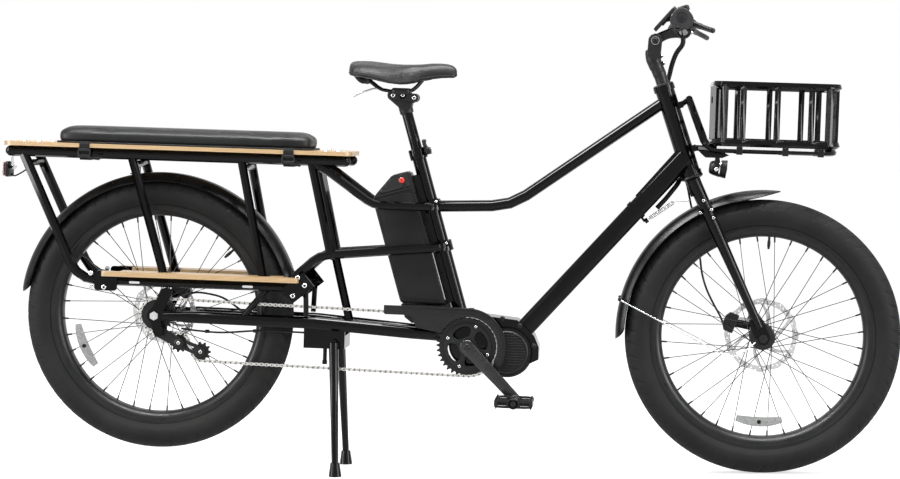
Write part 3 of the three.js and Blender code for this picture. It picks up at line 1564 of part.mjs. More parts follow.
function rack() {
  const rails = [roundEndedRail(rackHalf), roundEndedRail(-rackHalf)];
  const crosses = rackCrossShares.map((share) => (
    crossRod(mix(rackRearX, rackFrontX, share), rackRailZ, rackHalf, rackCrossRadius, 8)
  ));
  const seatX = seatAxisX(topTubeSeatZ);
  const half = [
    vec(upperStayTopX, -rackHalf, rackRailZ), vec(upperStayKneeX, -upperStayKneeHalf, upperStayKneeZ),
    vec(upperStayLowX, -upperStayLowHalf, topTubeSeatZ), vec(seatX, -stayHalf, topTubeSeatZ),
  ];
  const other = half.slice().reverse().map((p) => vec(p.x, -p.y, p.z));
  const bends = [0, stayBend, stayBend, stayCornerBend, stayCornerBend, stayBend, stayBend, 0];
  const loop = pipe([...half, ...other], upperStayRadius, bends);
  return cut(join(rails, crosses, loop, seatLug(topTubeSeatZ)), seatRoom, dockRoom, topTubeRoom);
}

// The space that the top tube takes where it meets the seat tube
const topTubeRoom = rod(
  vec(seatAxisX(topTubeSeatZ), 0, topTubeSeatZ),
  vec(mix(seatAxisX(topTubeSeatZ), topTubeCornerX, 0.4), 0, mix(topTubeSeatZ, topTubeCornerZ, 0.4)),
  boreFor(topTubeRadius, 12, touchGap), 12,
);
piece('rack_and_upper_stays', rack(), blackPaint);

// The space that the rack rails and the foot rails take from the struts that meet them
const rackRoom = bothSides(rod(
  vec(rackRearX + rackRailRadius, -rackHalf, rackRailZ),
  vec(rackFrontX - rackRailRadius, -rackHalf, rackRailZ), boreFor(rackRailRadius, 12, touchGap), 12,
));
const footRoom = bothSides(rod(
  vec(footRailRearX, -footRailHalf, footRailZ), vec(footRailFrontX + cutOverrun, -footRailHalf, footRailZ),
  boreFor(footRailRadius, 12, touchGap), 12,
));
const stayRoomZ = (x) => mix(stayMidZ, stayFrontZ, (x - stayMidX) / (stayFrontX - stayMidX));

// Middle frame: lower stays round the seat tube, front struts, plates, bars and the centre strut
function midFrame() {
  const seatX = seatAxisX(lowerStaySeatZ);
  const half = [
    vec(lowerStayEndX, -footRailHalf, lowerStayEndZ),
    vec(lowerStayMidX, -mix(stayHalf, footRailHalf, 0.6), lowerStayMidZ),
    vec(mix(lowerStayMidX, seatX, 0.4), -stayHalf, mix(lowerStayMidZ, lowerStaySeatZ, 0.4)),
    vec(seatX, -stayHalf, lowerStaySeatZ),
  ];
  const other = half.slice().reverse().map((p) => vec(p.x, -p.y, p.z));
  const bends = [0, stayBend, stayBend, stayCornerBend, stayCornerBend, stayBend, stayBend, 0];
  const loop = pipe([...half, ...other], lowerStayRadius, bends);
  const strut = rod(
    vec(frontStrutTopX, -rackHalf, rackRailZ),
    vec(frontStrutFootX, -mix(stayHalf, footRailHalf, 0.35), lowerStayMidZ + lowerStayRadius / 2),
    frontStrutRadius, 8,
  );
  const bridge = crossRod(centreStrutTopX, lowerStayMidZ, stayHalf, lowerStayRadius, 8);
  const centre = rod(
    vec(centreStrutTopX, 0, lowerStayMidZ), vec(bridgeX, 0, bridgeZ), centreStrutRadius, 8,
  );
  const tilt = turns(plateTiltShare);
  const spread = (a, b) => flat(
    frontPlateX + a * Math.cos(tilt) - b * Math.sin(tilt),
    frontPlateZ + a * Math.sin(tilt) + b * Math.cos(tilt),
  );
  const [a, b] = [frontPlateLength / 2, frontPlateHeight / 2];
  const outerFace = footRailHalf + footRailRadius;
  const plate = sidePlate(
    [spread(-a, -b), spread(a, -b), spread(a, b), spread(-a, b)],
    -outerFace - frontPlateThickness - touchGap, -outerFace - touchGap,
  );
  const web = rod(
    vec(plateBossX, -footRailHalf, plateBossZ), vec(plateBossX, -outerFace - touchGap * 2, plateBossZ),
    plateBossRadius, 6,
  );
  const barFoot = stayRoomZ(plateBarX) + stayRadius + touchGap;
  const bar = rod(
    vec(plateBarX, -mix(stayMidY, footRailHalf, 0.3), barFoot),
    vec(plateBarX, -footRailHalf - footRailRadius, frontPlateZ + frontPlateHeight / 2),
    plateBarRadius, 6,
  );
  const sides = [strut, plate, web, bar].flatMap(bothSides);
  const bridgeRoom = crossRod(bridgeX, bridgeZ, stayHalf, boreFor(bridgeRadius, 12, touchGap), 12);
  const upperStays = bothSides(rod(
    vec(upperStayTopX, -rackHalf, rackRailZ), vec(upperStayKneeX, -upperStayKneeHalf, upperStayKneeZ),
    boreFor(upperStayRadius, 10, touchGap), 10,
  ));
  return cut(
    join(loop, seatLug(lowerStaySeatZ), bridge, centre, sides), upperStays,
    seatRoom, dockRoom, rackRoom, footRoom, bridgeRoom,
  );
}
piece('mid_frame', midFrame(), blackPaint);

// A hoop: two struts from the rack rails down to the foot rails, joined by a cross tube
function hoop(topX, footX) {
  const strut = rod(
    vec(topX, -rackHalf, rackRailZ), vec(footX, -footRailHalf + footRailRadius / 3, footRailZ),
    hoopRadius, 8,
  );
  const share = hoopCrossDrop / (rackRailZ - footRailZ);
  const cross = crossRod(mix(topX, footX, share), rackRailZ - hoopCrossDrop, rackHalf, hoopRadius * 0.8, 8);
  return cut(join(bothSides(strut), cross), rackRoom, footRoom);
}
piece('mid_hoop_rear', hoop(hoopRearTopX, hoopRearFootX), blackPaint);
piece('mid_hoop_front', hoop(hoopFrontTopX, hoopFrontFootX), blackPaint);

// Foot rails: each rear strut curves forward into its foot rail; a bridge ties the two at the top
function footRailLoop() {
  const side = pipe([
    vec(rearStrutTopX, -rackHalf, rackRailZ), vec(footRailRearX, -footRailHalf, footRailZ),
    vec(footRailFrontX, -footRailHalf, footRailZ),
  ], footRailRadius, rearStrutBend, 8);
  const outerFace = -footRailHalf - footRailRadius;
  const [a, b] = [rearPlateLength / 2, rearPlateHeight / 2];
  const plate = sidePlate(roundedRectangle(
    rearPlateX - a, rearPlateX + a, footRailZ - b, footRailZ + b, rearPlateThickness * 2,
  ), outerFace - rearPlateThickness + touchGap, outerFace + touchGap * 2);
  const bridgeShare = (rackRailZ - rearBridgeZ) / (rackRailZ - footRailZ);
  const bridge = crossRod(
    mix(rearStrutTopX, footRailRearX, bridgeShare), rearBridgeZ, rackHalf, footRailRadius * 0.7, 8,
  );
  return cut(join(bothSides(side), bothSides(plate), bridge), rackRoom);
}
piece('foot_rail_loop', footRailLoop(), blackPaint);

// Running boards of plywood on the foot rails, notched at both ends for the plates
function runningBoard(side) {
  const shape = new THREE.Shape();
  const [x0, x1] = [boardRearX, boardFrontX];
  const [n0, n1] = [x0 + boardNotchLength, x1 - boardNotchLength];
  const [y0, y1, y2] = [boardInnerY, boardNotchY, boardOuterY];
  const c = boardCorner;
  shape.moveTo(n0, y0);
  shape.lineTo(n1, y0);
  shape.lineTo(n1, y1);
  shape.lineTo(x1, y1);
  shape.lineTo(x1, y2 - c);
  shape.absarc(x1 - c, y2 - c, c, 0, Math.PI / 2);
  shape.lineTo(x0 + c, y2);
  shape.absarc(x0 + c, y2 - c, c, Math.PI / 2, Math.PI);
  shape.lineTo(x0, y1);
  shape.lineTo(n0, y1);
  const low = footRailZ + footRailRadius + touchGap;
  const strutShare = (rackRailZ - low) / (rackRailZ - footRailZ);
  const notches = [[hoopRearTopX, hoopRearFootX], [hoopFrontTopX, hoopFrontFootX]].map(([top, foot]) => {
    const x = mix(top, foot, strutShare);
    const half = hoopRadius + boardThickness / 3;
    return block(x - half, x + half, 0, footRailHalf + hoopRadius, low - cutOverrun, low + cutOverrun);
  });
  const board = cut(flatPlate(shape, low, low + boardThickness), notches);
  return side < 0 ? mirrored(board) : board;
}
piece('running_board_right', runningBoard(-1), plywood);
piece('running_board_left', runningBoard(1), plywood);

// Cargo deck of plywood on the rack rails
const deckLow = rackRailZ + rackRailRadius + touchGap;
const deckTop = deckLow + deckThickness;
piece('cargo_deck', flatPlate(roundedRectangle(
  rackRearX - deckOverhang, rackFrontX + deckOverhang, -deckHalfWidth, deckHalfWidth, deckCorner,
), deckLow, deckTop), plywood);

// Passenger cushion: crowned, drawn in at its ends, with two straps round deck and rails
function cushion() {
  const low = deckTop + touchGap;
  const stations = [0, 0.012, 0.035, 0.1, 0.25, 0.5, 0.75, 0.9, 0.965, 0.988, 1];
  const rings = stations.map((share) => {
    const end = Math.min(share, 1 - share) * (cushionFrontX - cushionRearX);
    const fade = Math.min(1, end / cushionHeight);
    const swell = Math.sqrt(1 - (1 - fade) ** 2);
    const half = cushionHalfWidth * mix(0.62, 1, swell);
    const height = cushionHeight * mix(0.3, 1, swell) * mix(0.93, 1, Math.sin(Math.PI * share));
    const x = mix(cushionRearX, cushionFrontX, share);
    const middle = low + cushionHeight * 0.45;
    return Array.from({ length: cushionSides }, (_, k) => {
      const angle = turns(k / cushionSides);
      const power = 2 / cushionSquareness;
      const bulge = (value) => Math.sign(value) * Math.abs(value) ** power;
      const z = middle + (height / 2) * bulge(Math.sin(angle)) + cushionHeight * 0.05 * swell;
      return vec(x, half * bulge(Math.cos(angle)), Math.max(z, low));
    });
  });
  const strapAt = (x) => {
    const t = strapThickness;
    const outerHalf = deckHalfWidth + touchGap * 2 + t;
    const under = rackRailZ - rackRailRadius - touchGap;
    const [x0, x1] = [x - strapWidth / 2, x + strapWidth / 2];
    const top = low + cushionHeight * 0.5;
    return join(
      block(x0, x1, -outerHalf, -outerHalf + t, under - t, top),
      block(x0, x1, outerHalf - t, outerHalf, under - t, top),
      block(x0, x1, -outerHalf, outerHalf, under - t, under),
      block(x0, x1, -outerHalf, outerHalf, top - t * 2, top),
    );
  };
  return join(loft(rings), strapAt(strapRearX), strapAt(strapFrontX));
}
piece('passenger_cushion', cushion(), seatCover);

// Mudguards: an arched sheet section swept round the wheel, with bridge tabs to the frame
function guardSection(radius) {
  const half = guardWidth / 2;
  const fold = [[1, 1], [0.92, 0.4], [0.6, 0.08]];
  const right = fold.map(([across, drop]) => [half * across, radius - guardDrop * drop]);
  const left = right.slice().reverse().map(([across, r]) => [-across, r]);
  const outer = [...right, ...left];
  const inner = outer.map(([across, r]) => [across * (1 - guardWall / half), r - guardWall]).reverse();
  return () => [...outer, ...inner];
}

function mudguard(radius, startTurn, endTurn, steps) {
  return arcSweep(guardSection(radius), 0, 0, startTurn, endTurn, steps);
}

function rearMudguard() {
  const guard = moved(
    mudguard(rearGuardRadius, rearGuardStartShare, rearGuardEndShare, 15), rearAxleX, 0, axleZ,
  );
  const share = hoopCrossDrop / (rackRailZ - footRailZ);
  const crossX = (top, foot) => mix(top, foot, share);
  const under = rackRailZ - hoopCrossDrop - hoopRadius * 0.8 - touchGap;
  const wallMiddle = rearGuardRadius - guardDrop * 0.08 - guardWall / 2;
  const wallZ = (x) => axleZ + Math.sqrt(wallMiddle ** 2 - (x - rearAxleX) ** 2);
  const tabX = crossX(hoopRearTopX, hoopRearFootX);
  const half = guardBracketThickness / 2;
  const tab = block(
    tabX - half, tabX + half, -guardBracketWidth / 2, guardBracketWidth / 2, wallZ(tabX), under,
  );
  const stayX = crossX(hoopFrontTopX, hoopFrontFootX);
  const stay = rod(vec(stayX, 0, wallZ(stayX)), vec(stayX, 0, under), guardWireRadius * 2, 6);
  return join(guard, tab, stay);
}
piece('rear_mudguard', rearMudguard(), blackPlastic);

// Chain guard: a bar over the chain that widens into a ring round the front of the chainring
function chainGuard() {
  const shape = new THREE.Shape();
  const [cx, cz] = [bottomBracketX, bottomBracketZ];
  const barTop = cz + chainGuardRadius;
  const barLow = barTop - chainGuardBarHeight;
  const end = turns(chainGuardEndShare);
  shape.moveTo(chainGuardRearX, barLow);
  shape.lineTo(chainGuardRearX, barTop);
  shape.lineTo(cx, barTop);
  shape.absarc(cx, cz, chainGuardRadius, Math.PI / 2, end, true);
  shape.lineTo(cx + chainGuardOpening * Math.cos(end), cz + chainGuardOpening * Math.sin(end));
  shape.absarc(cx, cz, chainGuardOpening, end, Math.PI * 0.86, false);
  shape.lineTo(cx - chainGuardRadius * 1.35, cz + chainGuardRadius * 0.45);
  shape.lineTo(cx - chainGuardRadius * 1.5, barLow);
  const face = -guardPlateY;
  const plate = sidePlate(shape, face - guardPlateThickness / 2, face + guardPlateThickness / 2);
  const lipTop = barTop;
  const lip = block(
    chainGuardRearX, cx, face - guardPlateThickness / 2, -chainlineY - chainWidth / 2 - chainGuardLip / 8,
    lipTop - guardPlateThickness, lipTop,
  );
  const shellFace = -shellHalfWidth - touchGap;
  const arm = block(cx, cx + chainGuardLip, face, shellFace, barTop - guardPlateThickness, barTop);
  const foot = block(
    cx, cx + chainGuardLip, shellFace - guardPlateThickness, shellFace,
    barTop - chainGuardBarHeight * 1.4, barTop,
  );
  return join(plate, lip, arm, foot);
}
piece('chain_guard', chainGuard(), satinBlack);

// Rear light on a bracket under the rearmost cross tube
const rackCrossRearX = mix(rackRearX, rackFrontX, rackCrossShares[0]);
function rearLight() {
  const shape = roundedRectangle(
    -rearLightWidth / 2, rearLightWidth / 2, rearLightZ - rearLightHeight / 2,
    rearLightZ + rearLightHeight / 2, rearLightHeight / 5,
  );
  const geometry = new THREE.ExtrudeGeometry(shape, {
    depth: rearLightDepth, bevelEnabled: false, curveSegments: 2,
  }).rotateX(Math.PI / 2).rotateZ(Math.PI / 2);
  const body = solidOf(geometry.translate(rearLightX, 0, 0));
  const under = rackRailZ - rackCrossRadius - touchGap;
  const bracket = pipe([
    vec(rackCrossRearX, 0, under), vec(rackCrossRearX, 0, rearLightZ),
    vec(rearLightX + rearLightDepth / 2, 0, rearLightZ),
  ], lightBracketRadius, lightBracketRadius * 1.5, 6);
  return join(body, bracket);
}
piece('rear_light', rearLight(), blackPlastic);

// Fork: steerer, crown, tapered blades, dropouts and the tab that carries the caliper
const frontCaliper = {
  forward: forkRake + (frontRotorRadius - caliperInset) * Math.cos(turns(frontCaliperAngleShare)),
  along: axleAlong + (frontRotorRadius - caliperInset) * Math.sin(turns(frontCaliperAngleShare)),
};

function fork() {
  const steerer = rod(vec(0, 0, crownLow + touchGap), vec(0, 0, steererTop), steererRadius, 12);
  const race = rod(
    vec(0, 0, crownHigh - touchGap), vec(0, 0, headTubeLow - touchGap), crownRaceRadius, 12,
  );
  const half = crownDepth / 2;
  const crown = block(-half, half, -crownHalf, crownHalf, crownLow, crownHigh);
  const blade = rod(
    vec(0, -bladeTopY, crownHigh - touchGap),
    vec(forkRake, -bladeFootY, axleAlong + forkDropoutRadius * 1.6),
    bladeTopRadius, 10, bladeFootRadius,
  );
  const middle = frontDropoutInner + forkDropoutThickness / 2;
  const dropout = linkPlate(
    forkRake, axleAlong, forkRake * 0.9, axleAlong + forkDropoutRadius * 2.4, forkDropoutRadius,
    -middle, forkDropoutThickness,
  );
  const tab = linkPlate(
    forkRake, axleAlong + forkDropoutRadius, frontCaliper.forward, frontCaliper.along,
    caliperTabRadius, middle, forkDropoutThickness,
  );
  return cut(
    join(steerer, race, crown, bothSides(blade), bothSides(dropout), tab),
    moved(crossRod(0, 0, cutOverrun * 5, boreFor(axleRadius, 12, touchGap), 12), forkRake, 0, axleAlong),
  );
}
piece('fork', fork(), blackPaint, steering);
piece('front_axle', moved(
  axle(frontDropoutInner, forkDropoutThickness), forkRake, 0, axleAlong,
), silver, steering);

// Brake calipers: a slotted block over the rotor's edge, seated on the inner face of its tab
function caliper(centreX, centreZ, angle, rotorRadius, rotorY, outerY) {
  const [halfLong, halfHigh] = [caliperLength / 2, caliperHeight / 2];
  const middle = rotorRadius - caliperInset;
  const corner = (a, b) => flat(
    centreX + (middle + b) * Math.cos(angle) - a * Math.sin(angle),
    centreZ + (middle + b) * Math.sin(angle) + a * Math.cos(angle),
  );
  const body = sidePlate([
    corner(-halfLong, -halfHigh), corner(halfLong, -halfHigh), corner(halfLong, halfHigh / 2),
    corner(halfLong / 2, halfHigh), corner(-halfLong / 2, halfHigh), corner(-halfLong, halfHigh / 2),
  ], rotorY - caliperReach, outerY);
  const slot = crossRod(0, 0, caliperSlot / 2, rotorRadius + touchGap * 5, 18);
  return cut(body, moved(slot, centreX, rotorY, centreZ));
}
piece('front_caliper', caliper(
  forkRake, axleAlong, turns(frontCaliperAngleShare), frontRotorRadius, frontRotorY,
  frontDropoutInner - touchGap,
), satinBlack, steering);
piece('rear_caliper', cut(caliper(
  rearAxleX, axleZ, turns(rearCaliperAngleShare), rearRotorRadius, rearRotorY,
  rearDropoutInner - touchGap,
), footRoom), satinBlack);

// Front mudguard with its tab behind the crown and a wire stay on each side
function frontMudguard() {
  const guard = moved(
    mudguard(frontGuardRadius, frontGuardStartShare, frontGuardEndShare, 9), forkRake, 0, axleAlong,
  );
  const back = -crownDepth / 2 - touchGap;
  const wallMiddle = frontGuardRadius - guardDrop * 0.08 - guardWall / 2;
  const foot = axleAlong + Math.sqrt(wallMiddle ** 2 - (forkRake - back) ** 2) - guardWall;
  const tab = block(
    back - guardBracketThickness, back, -guardBracketWidth / 2, guardBracketWidth / 2,
    foot, mix(crownLow, crownHigh, 0.6),
  );
  const edge = turns(frontGuardEndShare - 0.01);
  const edgeRadius = frontGuardRadius - guardDrop * 0.55;
  const wire = rod(
    vec(
      forkRake + edgeRadius * Math.cos(edge), -guardWidth / 2 + touchGap,
      axleAlong + edgeRadius * Math.sin(edge),
    ),
    vec(
      forkRake - axleNutRadius - guardWireRadius * 1.5,
      -frontDropoutInner - forkDropoutThickness - touchGap - guardWireRadius, axleAlong,
    ), guardWireRadius, 4,
  );
  return join(guard, tab, bothSides(wire));
}
piece('front_mudguard', frontMudguard(), blackPlastic, steering);

// Stem: a column over the steerer with two ears and the pin that the handlebar tilts on
function stem() {
  const column = rod(vec(0, 0, stemColumnLow), vec(0, 0, stemColumnHigh), stemColumnRadius, 12);
  const earThickness = (stemForkWidth - stemArmWidth) / 2;
  const earY = (stemForkWidth - earThickness) / 2;
  const ears = [-earY, earY].map((y) => linkPlate(
    0, stemColumnHigh - stemPivotRadius, stemPivotOffset, stemPivotAlong, stemPivotRadius, y, earThickness,
  ));
  const yoke = block(
    -stemPivotRadius, stemPivotRadius, -stemForkWidth / 2, stemForkWidth / 2,
    stemColumnHigh - stemPivotRadius, stemColumnHigh,
  );
  const pin = moved(
    crossRod(0, 0, stemForkWidth / 2, stemPinRadius, 12), stemPivotOffset, 0, stemPivotAlong,
  );
  return join(column, ears, yoke, pin);
}
piece('stem', stem(), satinBlack, steering);

// Points on the bar's straight outer part, and a lever's own plane that leans forward and down
const barKnee = vec(barClampForward + barRadius / 4, barKneeY, barEndAlong - touchGap);
const barEnd = vec(barEndForward, barHalf, barEndAlong);
const onBar = (y) => barKnee.clone().lerp(barEnd, (y - barKneeY) / (barHalf - barKneeY));
const leverDrop = turns(leverDropShare);
const leverOut = vec(Math.cos(leverDrop), 0, Math.sin(leverDrop));
const leverAxis = vec(-Math.sin(leverDrop), 0, Math.cos(leverDrop));
const leverPivot = onBar(leverY).addScaledVector(leverOut, leverPivotReach);

// Handlebar with its arm, the clamp and the two lever perches
function handlebar() {
  const path = [
    barEnd, barKnee, vec(barClampForward, barStraight, barClampAlong),
    vec(barClampForward, -barStraight, barClampAlong), vec(barKnee.x, -barKnee.y, barKnee.z),
    vec(barEnd.x, -barEnd.y, barEnd.z),
  ];
  const bar = pipe(path, barRadius, barBend, 10);
  const clamp = moved(
    crossRod(0, 0, barClampHalf, barClampRadius, 14), barClampForward, 0, barClampAlong,
  );
  const armHalf = stemArmWidth / 2 - touchGap;
  const knuckle = moved(crossRod(0, 0, armHalf, stemPivotRadius, 14), stemPivotOffset, 0, stemPivotAlong);
  const arm = block(
    stemPivotOffset, barClampForward, -armHalf, armHalf,
    stemPivotAlong - stemPivotRadius * 0.7, stemPivotAlong + stemPivotRadius * 0.7,
  );
  const middle = onBar(leverY);
  const outward = vec(0, 1, 0);
  const ring = rod(
    middle.clone().addScaledVector(outward, -leverClampLength / 2),
    middle.clone().addScaledVector(outward, leverClampLength / 2), barRadius + leverClampWall, 8,
  );
  const near = leverEyeHalf + runningGap;
  const lifted = (point, reach) => point.clone().addScaledVector(leverAxis, reach);
  const ear = rod(
    lifted(leverPivot, near), lifted(leverPivot, near + perchEarThickness * 2), leverEyeRadius, 6,
  );
  const strut = rod(
    lifted(leverPivot, near + perchEarThickness), lifted(middle, near + perchEarThickness),
    perchEarThickness, 5,
  );
  const pin = rod(
    leverPivot.clone().addScaledVector(leverAxis, -leverEyeHalf - runningGap * 2),
    leverPivot.clone().addScaledVector(leverAxis, leverEyeHalf + runningGap * 2), leverPivotRadius, 6,
  );
  const perch = join(ring, ear, strut, pin);
  const bore = moved(
    crossRod(0, 0, stemForkWidth, boreFor(stemPinRadius, 12), 12), stemPivotOffset, 0, stemPivotAlong,
  );
  return cut(join(bar, clamp, knuckle, arm, bothSides(perch)), bore);
}
piece('handlebar', handlebar(), satinBlack, steering);

// Grips: a sleeve over the bar with a palm wing behind it
function grip() {
  const inner = barHalf - gripLength;
  const wall = gripRadius - barRadius;
  const run = vec(0, 0, 0).subVectors(barEnd, barKnee).normalize();
  const end = barEnd.clone().addScaledVector(run, wall);
  const sleeve = rod(onBar(inner), end, gripRadius, 14);
  const back = vec(-gripWing, 0, 0);
  const wing = rod(
    onBar(mix(inner, barHalf, 0.3)).add(back), end.clone().addScaledVector(run, -wall).add(back),
    gripRadius / 3, 10, gripRadius * 0.66,
  );
  const bore = rod(
    onBar(inner - cutOverrun), barEnd.clone().addScaledVector(run, touchGap),
    boreFor(barRadius, 10, touchGap), 10,
  );
  return cut(join(sleeve, wing), bore);
}
piece('grip_left', grip(), gripRubber, steering);
piece('grip_right', mirrored(grip()), gripRubber, steering);

// Brake levers: an eye on the perch pin and a blade that runs outward ahead of the grip
function brakeLever() {
  const eye = rod(
    leverPivot.clone().addScaledVector(leverAxis, -leverEyeHalf),
    leverPivot.clone().addScaledVector(leverAxis, leverEyeHalf), leverEyeRadius, 10,
  );
  const blade = pipe([
    leverPivot, onBar(leverKneeY).addScaledVector(leverOut, leverKneeReach),
    onBar(leverTipY).addScaledVector(leverOut, leverTipReach),
  ], leverRadius, leverEyeRadius * 2, 6);
  const bore = rod(
    leverPivot.clone().addScaledVector(leverAxis, -leverEyeRadius * 2),
    leverPivot.clone().addScaledVector(leverAxis, leverEyeRadius * 2),
    boreFor(leverPivotRadius, 8), 8,
  );
  return cut(join(eye, blade), bore);
}
piece('brake_lever_left', brakeLever(), satinBlack, steering);
piece('brake_lever_right', mirrored(brakeLever()), satinBlack, steering);

// Display on a post over the bar clamp
function display() {
  const tilt = turns(displayTiltShare);
  const corner = (a, b) => flat(
    displayForward + a * Math.cos(tilt) - b * Math.sin(tilt),
    displayAlong + a * Math.sin(tilt) + b * Math.cos(tilt),
  );
  const [a, b] = [displayLength / 2, displayHeight / 2];
  const slab = sidePlate(
    [corner(-a, -b), corner(a, -b), corner(a, b), corner(-a, b)], -displayWidth / 2, displayWidth / 2,
  );
  const post = block(
    barClampForward - barRadius, barClampForward, -barRadius, barRadius,
    barClampAlong, corner(a * 0.8, 0).y,
  );
  const clampRoom = moved(
    crossRod(0, 0, barClampHalf * 2, boreFor(barClampRadius, 14, touchGap), 14),
    barClampForward, 0, barClampAlong,
  );
  return cut(join(slab, post), clampRoom);
}
piece('display', display(), blackPlastic, steering);

// Solids made in the steering frame, turned and moved into the level frame
const fromSteering = (solid) => moved(
  solid.rotate([0, -headAngleShare * 360, 0]), steeringFootX, 0, axleZ,
);

// The carrier's loop, also used a little larger to clear the basket
function carrierLoop(radius) {
  const half = [
    vec(carrierTopX, -carrierTopHalf, carrierTopZ), vec(carrierRearX, -carrierHalf, carrierZ),
    vec(carrierFrontX, -carrierHalf, carrierZ),
  ];
  const other = half.slice().reverse().map((p) => vec(p.x, -p.y, p.z));
  return pipe([...half, ...other], radius, carrierBend, 7);
}

// Front carrier: two saddles against the head tube, arms and a tube loop that holds the basket
function carrier() {
  const saddleAt = (along) => {
    const half = carrierBandHeight / 2;
    const depth = headTubeRadius + carrierBandWall * 2;
    const body = block(0, depth, -carrierArmRadius * 2, carrierArmRadius * 2, along - half, along + half);
    const tube = rod(
      vec(0, 0, along - half * 2), vec(0, 0, along + half * 2), boreFor(headTubeRadius, 12, touchGap), 12,
    );
    return fromSteering(cut(body, tube));
  };
  const seatAt = (along) => onSteering(headTubeRadius + carrierBandWall, 0, along);
  const top = crossRod(carrierTopX, carrierTopZ, carrierTopHalf + carrierRadius / 2, carrierRadius, 7);
  const lampBar = crossRod(headlightX, carrierZ, carrierHalf, carrierArmRadius * 0.8, 6);
  const upper = rod(seatAt(carrierUpperAlong), vec(carrierTopX, 0, carrierTopZ), carrierArmRadius, 6);
  const lower = rod(
    seatAt(carrierLowerAlong), vec(headlightX, -carrierHalf / 3, carrierZ), carrierArmRadius, 6,
  );
  return join(
    saddleAt(carrierUpperAlong), saddleAt(carrierLowerAlong), carrierLoop(carrierRadius), top, lampBar,
    upper, bothSides(lower),
  );
}
piece('carrier_frame', carrier(), satinBlack);

// Basket: two tube loops, posts, a floor of bars and a bar along each end
function basketLoop(z) {
  const middle = mix(basketRearX, basketFrontX, 0.5);
  const seam = basketRailRadius / 9;
  const half = (from, to) => pipe([
    vec(from, -basketHalf, z), vec(to, -basketHalf, z), vec(to, basketHalf, z), vec(from, basketHalf, z),
  ], basketRailRadius, basketCorner, 5);
  return join(half(middle - seam, basketFrontX), half(middle + seam, basketRearX));
}

function basket() {
  const posts = basketPostShares.flatMap((share) => {
    const x = mix(basketRearX, basketFrontX, share);
    return [-basketHalf, basketHalf].map((y) => (
      rod(vec(x, y, basketBottomZ), vec(x, y, basketTopZ), basketPostRadius, 5)
    ));
  });
  const ends = [basketRearX, basketFrontX];
  const endPosts = basketEndPostShares.flatMap((share) => ends.map((x) => {
    const y = mix(-basketHalf, basketHalf, share);
    return rod(vec(x, y, basketBottomZ), vec(x, y, basketTopZ), basketPostRadius, 5);
  }));
  const endReach = basketHalf - basketCorner / 2;
  const endBars = ends.map((x) => crossRod(x, basketBarZ, endReach * 0.62, basketBarRadius, 5));
  const floor = Array.from({ length: basketFloorBars }, (_, i) => {
    const y = mix(-basketHalf, basketHalf, (i + 1) / (basketFloorBars + 1));
    return rod(
      vec(basketRearX, y, basketFloorZ), vec(basketFrontX, y, basketFloorZ), basketFloorRadius, 4,
    );
  });
  const bars = join(
    basketLoop(basketBottomZ), basketLoop(basketTopZ), posts, endPosts, endBars, floor,
  );
  return cut(bars, carrierLoop(carrierRadius + touchGap * 1.5));
}
piece('basket', basket(), satinBlack);

// Headlight hung under the carrier's lamp bar
function headlight() {
  const half = headlightLength / 2;
  const body = rod(
    vec(headlightX - half, 0, headlightZ), vec(headlightX + half, 0, headlightZ), headlightRadius * 0.8, 16,
    headlightRadius,
  );
  const top = carrierZ - carrierArmRadius * 0.8 - touchGap;
  const bracket = block(
    headlightX - lightBracketRadius * 2, headlightX + lightBracketRadius * 2, -lightBracketRadius,
    lightBracketRadius, headlightZ, top,
  );
  return join(body, bracket);
}
piece('headlight', headlight(), blackPlastic);

// Kickstand: cross axle, two splayed legs and feet that stand flat when the bike is parked
const ground = flat(standFootX - frontAxleX, standFootZ - axleZ);
const parkTilt = Math.atan2(-ground.y, -ground.x) - Math.asin(tyreRadius / ground.length());
const groundUp = vec(-Math.sin(parkTilt), 0, Math.cos(parkTilt));

function kickstand() {
  const bar = crossRod(standPivotX, standPivotZ, standTopHalf, standAxleRadius, 12);
  const foot = vec(standFootX, -standFootHalf, standFootZ);
  const ankle = foot.clone().addScaledVector(groundUp, footHeight);
  const leg = rod(
    vec(standPivotX, -standTopHalf, standPivotZ), ankle, standLegTopRadius, 10, standLegFootRadius,
  );
  const shoe = rod(
    foot, ankle.clone().addScaledVector(groundUp, footFlat), footRadius, 12, footRadius * 0.7,
  );
  return join(bar, bothSides(leg), bothSides(shoe));
}
piece('kickstand', kickstand(), satinBlack);

// Stabiliser spring: one wire that curls between the down tube's seat and the mudguard tab at the fork
const springEnd = onSteering(-crownDepth / 2 - guardBracketThickness - touchGap * 2, 0, springEndAlong);

function springStations() {
  const straight = springWire * 2;
  const start = springSeat.clone().addScaledVector(springLine, touchGap);
  const lead = start.clone().addScaledVector(springLine, straight);
  const finish = vec(springFrontX, 0, springFrontZ);
  const length = lead.distanceTo(finish);
  const side = vec(0, 1, 0);
  const lift = vec(0, 0, 0).crossVectors(springLine, side);
  const steps = springTurns * springStepsPerTurn;
  const stations = [start, lead];
  for (let i = 1; i < steps; i += 1) {
    const share = i / steps;
    const swell = Math.min(1, Math.min(i, steps - i) / (springStepsPerTurn / 2));
    const angle = turns(share * springTurns);
    stations.push(lead.clone().addScaledVector(springLine, length * share)
      .addScaledVector(side, springRadius * swell * Math.sin(angle))
      .addScaledVector(lift, springRadius * swell * Math.cos(angle)));
  }
  const forward = onSteering(1, 0, 0).sub(onSteering(0, 0, 0));
  stations.push(
    finish, springEnd.clone().addScaledVector(forward, -springEndLead),
    springEnd.clone().addScaledVector(forward, -straight), springEnd,
  );
  return stations;
}

